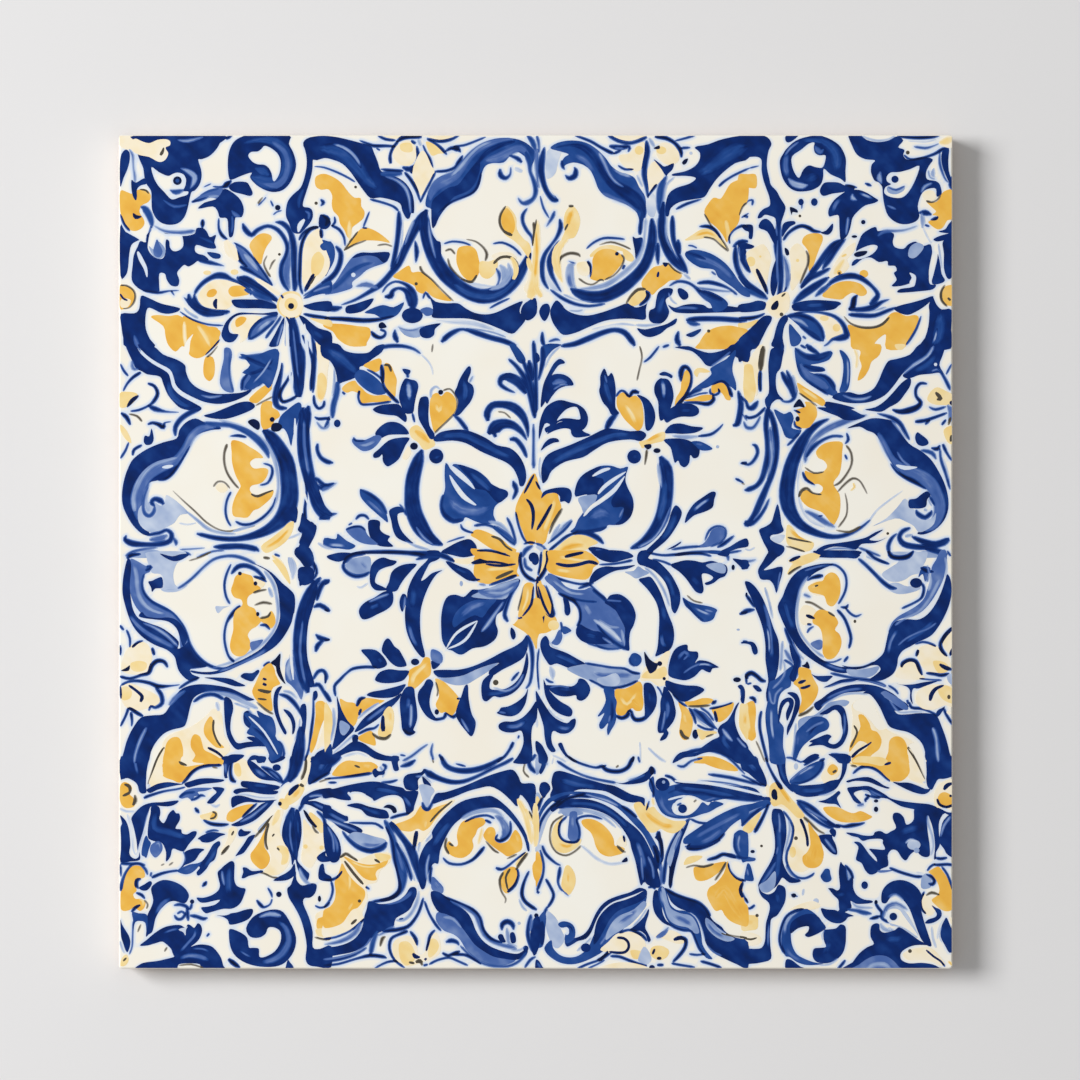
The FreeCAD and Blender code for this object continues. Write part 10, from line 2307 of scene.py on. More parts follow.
# %% Bottom edge right of the middle: bracket and bud
painting.append("""
lf 75 38, 76.2 37.2, 76.1 35.8, 75.4 35, 75 35.2
nf 76.2 38.2, 76.9 38.2, 76.9 36.8, 76.4 35.6, 75.9 35, 75.6 35.5, 76 36.6
ms 76.8 37.8 .5, 77 36.6
gs 78.2 38 .3, 77.9 36.8
ns 78.8 37.4 .5, 80.6 36.2, 82.8 35.1 .4, 85.2 34.3, 87.6 33.8, 89.4 33.5
ls 80.2 38.2 .3, 82 37.4, 84.6 36.6 .4
ks 80.8 38.2 .4, 82.2 37.3, 84 36.6, 85.8 36.2, 86.9 36.4 .6, 87.7 35.8 .7, 89 35.5, 90.4 35.6,
91.6 36.3, 92.2 37.4, 92.7 38.2 .5
ks 86.9 36.4 .3, 87.7 36.6 .4
os 89.4 36.2 .4, 89.9 36.6 .5
ks 93.4 38.2 .4, 93.7 37.1
nf 96 36.4, 95.4 36.2, 95.1 35.6, 93.8 34.8, 92.2 34, 90.6 33.4, 89.2 33.6, 90.6 33.2, 92.4 33.2,
94.2 33.5, 95.2 34, 96 35, 96.3 35.8
ms 91.6 33.9 .4, 93.4 34.4, 94.6 34.9
kd 95.9 35.5 .4 .6
ks 95.6 36.4 .5, 96.2 35.8, 96.4 35
nf 78.2 35.2, 79 35.6, 80 35.5, 81.6 35, 83.4 34.4, 85.2 33.9, 87.2 33.3, 89.2 32.9, 91 32, 92.2 31.4,
93.8 31, 94.6 30.6, 94.6 29.4, 95.1 28.6, 94.8 28.5, 94.2 29.4, 93.8 30, 92.4 29.9, 91 30.2, 89.4 31,
87.6 31.9, 85.4 32.2, 83.4 32.3, 82 32, 80.8 31, 79.8 30.4, 78.9 29.9, 77.8 30.4, 77.6 31.4, 78 32.4,
77.8 33.6
bw 79.4 34 1.4, 82.4 33.2 1.2, 86 32.6 1.1
ls 82.4 34.8 .3, 85 34, 87.6 33.5, 89.6 33.2
nf 75.6 32.2, 75.9 33.4, 76.8 33.6, 77.5 33, 77.6 32.2, 77 31.4, 76.5 30.7, 76 31.2
gf 75 31.4, 75.6 31.6, 76 30.4, 75.6 29.2, 75 28.6
ef 75 27.6, 75.4 28.8, 75.8 30, 75.4 31, 75 30.6
os 75 28.8 .3, 75.6 29.8, 76.2 31
ks 75.4 28.4 .5, 75.8 29.8, 76.4 30.9 .3
bf 75.2 25, 75.6 26.6, 76.4 28.4, 77.8 30, 79.6 31, 81.4 31.4, 83.4 31, 85.4 30.7, 87.6 30, 89.6 29,
91.2 27.6, 92.8 25.9, 94.2 24.4, 95.2 22.6, 96.2 20.4, 96.8 18.6, 97.4 17.6, 97.7 19.4, 97.2 21.2,
96.2 23.2, 94.8 25.4, 93.2 27.2, 91.4 28.8, 89.4 30.2, 87.2 31.3, 84.4 31.8, 81.8 31.9, 79.4 31.6,
77.2 30.6, 75.8 28.6, 75 26.4
gf 75.1 23, 75.2 24.6, 75.8 26.4, 77 28, 78.4 28.8, 77.2 27, 76.6 25.4, 76 23.6, 75.5 22.2, 75 22
nf 77.6 29.2, 79.6 30.2, 81.8 30.6, 84.2 30.4, 86.2 29.9, 88.2 29, 90 27.6, 91.6 26, 93 24.2, 94 22.2,
94.5 20.2, 95.2 18.2, 95.6 16.6, 95.8 15, 94.8 15.4, 94.2 17, 93.7 18.8, 92.7 20.8, 92.4 23, 91.6 24.8,
90.4 26.4, 88.8 27.8, 87 28.7, 84.8 29.2, 82.4 29.5, 80.6 29.3, 79 28.8, 78 28.2
bw 80.6 29.9 .7, 83.6 29.9, 86.4 29.3, 88.8 28.1, 90.8 26.4 .6
ls 79.2 28.6 .5, 80.4 28.9, 81.8 28.8 .4, 84 28.7, 86.4 28.1, 88.6 27, 90.4 25.2 .3
ks 75.3 24.2 .5, 75.9 26.4, 77 28.2, 78.4 29.6, 80 30.6, 82 31.1, 84 31.5 .4
gs 84 31.4 .3, 86 30.8, 88 30.2 .4, 89.8 29.3
ks 90.4 29.3 .6, 91.8 28.4, 93.2 27.2 .5
mw 93.6 23 .7, 94.4 20.6 .8, 95 18
ls 94 21 .3, 94.5 19.2 .5, 94.8 17.4, 94.5 15.4 .3
ls 95.6 20.4 .3, 96.2 18.4, 96.3 16.4
bf 95 20, 96 18.6, 96.4 17, 96.1 15.4, 95.4 15, 95 16.2, 94.7 18
nf 96.4 22.3, 97 21.8, 97.3 20, 97.2 18.6, 96.7 17.6, 96.4 18.6, 96.2 20.4
ks 96.1 22.2 .5, 96.7 20.8 .6, 97 19
nf 96.7 24, 96.4 23.6, 97 23, 97.4 22, 97.6 20.2, 97.4 18.8, 98 19.8, 98 21.8, 97.6 23.6, 97.3 24.8
ks 97 24.8 .6, 97 23.8 .7, 97.4 23, 97.6 21.4 .6, 97.5 20 .4
ms 97.6 18.8 .6, 97.6 16.4 .8, 97.3 14.6 .6
ns 98 15.2 .5, 98.2 17.6 .6, 98.6 20.2, 99.4 22.4, 100.8 24.8, 102 26.4 .5, 102.8 27
nf 99 18, 98.7 19.8, 99.2 21.6, 100.2 22.8, 101.4 25, 102.6 26.8, 102.2 25.4, 101.2 23, 100.8 21,
100.3 19.2, 99.9 17.4, 99.5 15.4, 99.2 14.4, 98.9 15.4
lf 98.6 19.4, 99.2 21.6, 100 23.4, 101.2 25.2, 100.4 23, 100 21.2, 99.6 19.6, 99.2 18.4
mw 99.8 21 .6, 100.6 23, 101.4 25.2
ks 99.2 14.6 .6, 99.3 16.6, 99.6 18.4, 100.4 20.4 .4
ks 95.2 14.6 .5, 96 14.8, 96.5 14.3
ef 92.6 29.6, 93.8 30, 94.6 29.2, 95 30, 95.4 29, 96.2 29.2, 97 28.2, 98.4 27.2, 100 26.6, 102 26.6,
101.4 25.4, 100 24.4, 98.6 24.6, 97.4 25.2, 96.6 24.6, 95.4 24.6, 94.4 26, 93.2 27.8
yw 94.6 28.4 1, 96 27 1.2, 98 25.8 1.2, 100 25.6 1
es 96 30.8 .5, 96.2 29.4 .7
ks 94.9 28.5 .3, 95.4 30.2
bf 95.3 33.2, 95.6 34.2, 96.2 34.6, 96.4 33.2, 97 32.2, 98.2 32.6, 99.8 33.1, 101.6 33.4, 104 33.6,
106.4 33.5, 109 33.2, 111.4 32.8, 113.2 32.5, 113.2 31, 111.4 30.8, 109.4 30.6, 108 30.4, 106.4 30,
105.2 30.2, 103.6 31, 102 31.2, 101.2 30.6, 100.4 30.3, 99.7 29.4, 99.6 28.4, 100.4 27.7, 102.2 27.6,
103.4 28.2, 104.2 29, 105 30, 106 29.4, 106.8 30.2, 108.8 29.7, 107.6 29, 106.2 28.2, 104.8 27.8,
103 27.2, 100.8 27, 98.8 27.4, 97.6 28.2, 96.9 29.4, 96.3 31, 95.7 32
nw 102 32.8 .8, 106 32.9 .9, 110 32.4, 113 31.8
mw 97.4 31 .9, 97.8 29.4 .8, 99 28, 101 27.4 .5
mw 104.4 29.8 .6, 106 30.4, 108 31 .5
ns 98.8 31.6 .3, 100.6 32.4, 102.8 33.4, 106 33.7, 110 33.3, 113 32.5 .4
ws 98.8 30.4 .3, 100.6 30.9, 102 31.1
ws 105 32.1 .3, 106.6 31.4, 108.2 31.6
nd 97.8 33.2 1.3 1.2
ks 98.2 34.8 .5, 99.4 34.4, 100.4 33.6, 101.8 33.4 .3
ks 95.4 34.4 .4, 95.9 33.4, 96.2 32.2, 96.1 30.8
ld 98 33.6 .3
nd 101.4 28.8 .8 .8
ws 100 29.8 .4, 99.7 28.9, 100.2 28.2
ks 100.4 29.4 .4, 101.2 29.8
os 103.4 30 .4, 103.9 30.4
ks 102.8 27 .4, 104.4 26.3, 106.6 26.2, 108.8 26.7, 110.8 27.6, 113 28.7
bf 102.8 22.6, 103.4 23.4, 104.8 23.6, 106.4 24.6, 108 26, 109.8 27.4, 111.8 28.6, 113.2 29.2,
113.2 27.6, 111.6 26.8, 110 25.6, 108.6 24, 107 22.6, 105.2 21.7, 103.2 21.4, 102 21.6
nw 111 28.2 .7, 109 26.6, 107 25 .5
mw 104.4 22.6 1, 106.6 23.6 1.1, 108.6 25.2 1
ks 102.2 21.6 .5, 104 21.5, 106 22.1, 107.8 23.2, 109 24.4
ks 102.2 21.8 .4, 102.8 22.8, 103.4 23.6
ls 104 24.4 .3, 106 25.2, 107.4 26.1
bf 110.6 24, 111 24.6, 111.8 25, 112.8 24.6, 113.2 24, 113.2 20, 112.2 19.9, 111.2 20.6, 110.6 22
ns 110.8 23.8 .4, 110.7 22, 111.4 20.4, 112.4 19.9, 113.2 20
ls 111.7 24 .4, 111.4 22.4, 111.7 21 .3
ef 101.6 18.8, 102.2 20, 103.8 20.4, 105 20.2, 104 19.4, 102.4 18.8
yf 103.4 18.2, 104.6 18.4, 106.4 18.8, 108.2 19.2, 109.2 19.2, 108.4 17.8, 107.2 16.8, 105.8 16,
104.4 15.8, 103.6 16.4
os 102 18.2 .3, 103.4 18.6, 105.2 18.4 .4, 107 18.9
os 107.2 15.9 .4, 108.4 17.6, 109.3 19.2
yf 109.5 19.4, 110 17.6, 111 16.4, 112.2 15.8, 112.2 13.8, 112.6 12, 113.2 11, 113.2 7.8, 111.6 7.9,
110 8.6, 109 9.6, 108.4 10.6, 107.4 10.4, 106.6 11.4, 105.8 13.2, 106.2 14.6, 107.4 15.4, 108.8 17.2
yw 107.4 12.8 1.4, 109 14.4 1.6, 110.6 11.6 1.6, 112 9.4 1.6
ks 105.8 19.6 .5, 107.4 20 .6, 108.6 20.6, 109.8 20.4, 111 20
ns 109.3 20.6 .6, 110.6 20.3, 112 19.7 .4
ks 109.6 19 .3, 110 17.6, 111.2 16.3 .4, 112.8 15.8 .5
ks 112.3 15.6 .5, 111.8 14.2, 112.2 12.8
ks 112.7 12.8 .3, 113.1 12
gf 75 22, 75.7 22.4, 76.2 22, 76 21.2, 75 21
ys 75.2 20.8 .4, 75.4 18.6 .6
ks 76.2 22.2 .5, 76.6 21, 77.4 20, 78.6 19 .4, 79.5 18.6 .3
yf 75 20.8, 75.8 20.6, 76.2 19, 76 17, 75.4 15.6, 75 15
ks 75.8 21.4 .4, 76.4 19, 76.3 17, 75.7 15.3 .5, 75.2 14
ks 75.2 14 .7, 75.6 13.6
ns 79.4 18.4 .6, 79.2 17, 79 15.6 .4, 79.5 14.4, 80.2 13.9
ef 79.9 17, 80.3 18.4, 81 18.6, 81.9 17.4, 82.2 16, 81.9 14.6, 81 13.3, 80.2 13.9, 79.6 14.8, 79.7 16
yw 80.8 17.2 .6, 80.8 15.4 .5
bs 80 13.9 .3, 80.9 13.1 .2
ks 76.8 16.2 .5, 77.6 14.8, 78.2 13.4, 77.9 12.2, 77.1 11
ns 77.1 11.2 .6, 76.6 10, 76.2 8.4 .7
gf 77 10.4, 78.6 9.2, 79.4 7.4, 80.2 5.4, 79.2 3.8, 78.2 4, 77.2 6, 76.8 8
bf 75.6 9.4, 76.6 10.4, 76.9 9, 76.7 7.2, 76.6 5.4, 76.2 4, 75.2 3.8, 75 4.8, 75 8
nf 75.6 8, 76.3 8.6, 76.6 7, 76.5 5, 76 4.3, 75.6 5.4, 75.4 6.8
ls 75.2 6.4 .3, 75.4 4.8, 75 3.4
kd 75.1 9.6 .4
bf 76.6 4, 77.8 5.2, 78.1 3.8, 79.2 2.6, 80.6 2.1, 82.2 2.2, 83.6 3, 84.6 4.2, 85.2 5.6, 86 7.2,
87.2 9.2, 89 10.6, 91.2 11.4, 93.4 12.6, 94.9 14, 94.8 12, 93.8 10.2, 92.2 8.6, 90.8 7.2, 89.8 6,
88.6 4.6, 87.2 3.2, 85.4 2.1, 83.4 1.2, 81.4 .8, 79.4 1.1, 77.8 2, 76.8 3
nf 94.9 14.2, 94.2 14, 92.8 13.4, 90.8 12.7, 88.8 12, 87.2 10.8, 86 9, 85 6.6, 84 5.4, 82.6 5, 81.6 4.4,
80.6 4, 80.2 5, 81 5.4, 82.2 5.6, 83.6 6.2, 84.6 7.4, 85.6 9.6, 86.6 11.2, 88 12.4, 90 13.2, 92 13.8,
93.6 14.6
nf 85.6 7, 86.2 9, 87.4 10.6, 89 11.8, 91 12.4, 93 13.2, 94.8 14.2, 94.9 13, 93.6 12, 91.6 11.2,
89.8 10.4, 88.4 9, 87.4 7.2, 86.4 5.4, 85.4 4.4
lf 92.8 10.8, 94.4 12.2, 94.9 11.4, 93.6 9.6, 92 8, 90.4 7, 88.8 6, 87.6 5.2, 87.8 6.6, 88.8 8.4,
90.2 9.6, 91.6 10.2
mw 89.8 8.2 .9, 91.8 9.4 1, 93.4 10.8 .8
ls 92.4 10 .3, 90 9.4, 88.6 7.8, 87.6 5.8, 86.6 4.4 .4
ls 92.5 7.5 .5, 93.8 9, 95 10.8 .4
ls 82.4 3.2 .4, 84 4.6, 85 5.6
nd 84 3.8 .9 .8
bf 79 8, 79.6 8.5, 80.6 8.5, 81.6 8, 82.1 7, 82 5.6, 81.2 4.8, 80.4 4.6, 80.2 5.4, 80.4 6.4, 81 6.9,
80.6 7.5, 79.6 7.4
nw 80.2 8 .5, 81.4 7.4, 81.6 6.2
wd 80.6 6.6 .4 .5
ks 82.2 5.3 .5, 83.6 5.6, 84.9 6.8 .4
ks 86.3 1.4 .5, 87.6 2.4 .6, 88.8 3.2 .4
cf 86.6 3.4, 88 4.8, 89.4 6.2, 91 6.6, 93.2 6.6, 94.4 5.4, 94.8 4, 94.2 2.4, 92.4 1.8, 90.6 2.4,
88.8 2.8
ef 92 3.2, 93 3.4, 94.2 3, 94 2, 92.6 1.8
ks 89.6 5.6 .4, 90.8 5.5, 91.6 4.8, 91.7 3.8, 91 3, 89.6 2.9, 88.2 3.1 .3
ks 88 3.2 .4, 87.2 2.2, 86 1.6
ks 88.4 2.3 .5, 90 2.2, 91.6 1.6, 93.4 .9, 95 .5 .6
nf 91.8 7, 93 7.9, 94.4 9.3, 95.3 10.8, 95.3 9.8, 94.9 8.6, 94.7 7.4, 95.2 6.4, 95.7 5.2, 95.2 4.8,
94.8 6, 93.8 6.8, 92.8 6.8
ks 90 6.5 .5, 91.6 7 .4, 93 6.7 .5, 94.2 6, 95 5
nf 96 12.2, 96.3 14, 97 14, 97.6 12, 97.8 10.2, 98.4 8.8, 99.4 7.7, 98 8.2, 96.8 9.4, 96.2 10.6
bf 97 14.4, 97.9 14.8, 98.6 13.6, 99.2 11.6, 100.4 10.6, 102 10.4, 103.6 9.4, 104.4 7.8, 104.8 6,
105 4.4, 105.8 3, 106.8 1.8, 105.6 2, 104.4 3.8, 103.6 5.4, 103 6.8, 101.6 7, 100 7.4, 98.6 8.8,
97.9 10.6, 97.2 12.6
lf 97.6 14.4, 98.2 14.2, 98.8 12, 99.4 10.8, 101 10, 102.8 9.6, 103.8 8.4, 104.4 6.6, 103.6 6.4,
102.4 7.4, 100.6 7.8, 99.2 8.6, 98.4 10.2
mw 99.8 9.6 1, 101.6 8.8 1.2, 103.2 7.6 .9
ls 97.5 14 .5, 97.9 12.4 .6, 98.8 10.8 .4
ks 98.6 8.4 .4, 100 7.4, 101.6 6.9, 103 6.7, 103.8 5, 104.4 3.6, 105.4 2.4 .4
nf 98.2 14.6, 99.2 14, 101 13.2, 103.2 12.4, 105 11.4, 106 10, 107 8.6, 108.4 7.6, 109.2 6.6, 111 5.6,
113.2 4.8, 113.2 .2, 111.2 .8, 108.8 1.9, 106.8 3, 105.6 4.6, 105.2 6.2, 104.6 8, 103.6 9.6, 102 10.4,
100.6 11, 99.4 12, 98.8 13.2
lf 105.6 9.2, 106.8 8.4, 108 7.2, 109.4 6.2, 110.8 5.4, 109.6 4.9, 108 5.4, 106.6 6.4, 105.6 7.8
mw 105.8 8.4 .7, 107 6.8 .8, 109 5.6
ls 102.8 10.2 .3, 104.2 8.8, 104.9 7, 105.4 5.2
ls 105.8 4.2 .3, 107 3, 108.4 2.4
ks 98.4 14.4 .5, 100 13.4 .6, 102 12.7 .5, 104.2 12, 105.6 10.8, 106.4 9.4
os 108.4 6.4 .3, 110.6 5.9, 113 5.6
gs 107.6 7.4 .3, 109.2 6.3
cf 96.4 5.8, 98 5.4, 100 4.6, 101.6 4.6, 101.8 5.4, 100.4 6.6, 98.8 7, 97.4 6.6
ef 95.8 3.8, 97 4.2, 98.4 3.8, 98.8 2.4, 97.6 1.6, 96.4 1.8, 95.6 2.6
ed 98.2 3 .8
ks 99.8 5.2 .6, 101 5.6, 102 5.2, 101.8 3.8, 100.8 2.4, 99.6 1.2 .4
ms 98.9 7.5 .5, 98 6.4 .7, 96.7 5.6
ks 96.4 3.6 .4, 96 2.6 .4
ks 94.6 3.4 .6, 94.2 2
gf 94.4 4, 95.4 3, 95.8 1.6, 95 .8, 93.8 1.2, 93.4 1.8
kd 97.2 1.9 .45 .3
ks 96.8 .7 .6, 98 .7
ks 99.4 1 .4, 101 .7, 103.6 .3
ks 102.6 2.7 .4, 104 2.5, 105.6 2.7 .3
ks 104.6 1.4 .5, 106.4 .9, 108.4 .2
nf 75 1.6, 75.6 1.4, 76.2 .4, 76.4 -.2, 75 -.2
ms 75.3 1.1 .4, 75.9 .2
ks 82.4 0 .4, 84.4 .9, 86.2 1.5, 87.2 2 .5
ks 84.4 .1 .3, 86 .8, 87.4 1.6
cf 86.4 -.2, 88 .8, 91 1.2, 93.6 .8, 95.6 -.2
kd 95.9 .3 .5 .4
""")

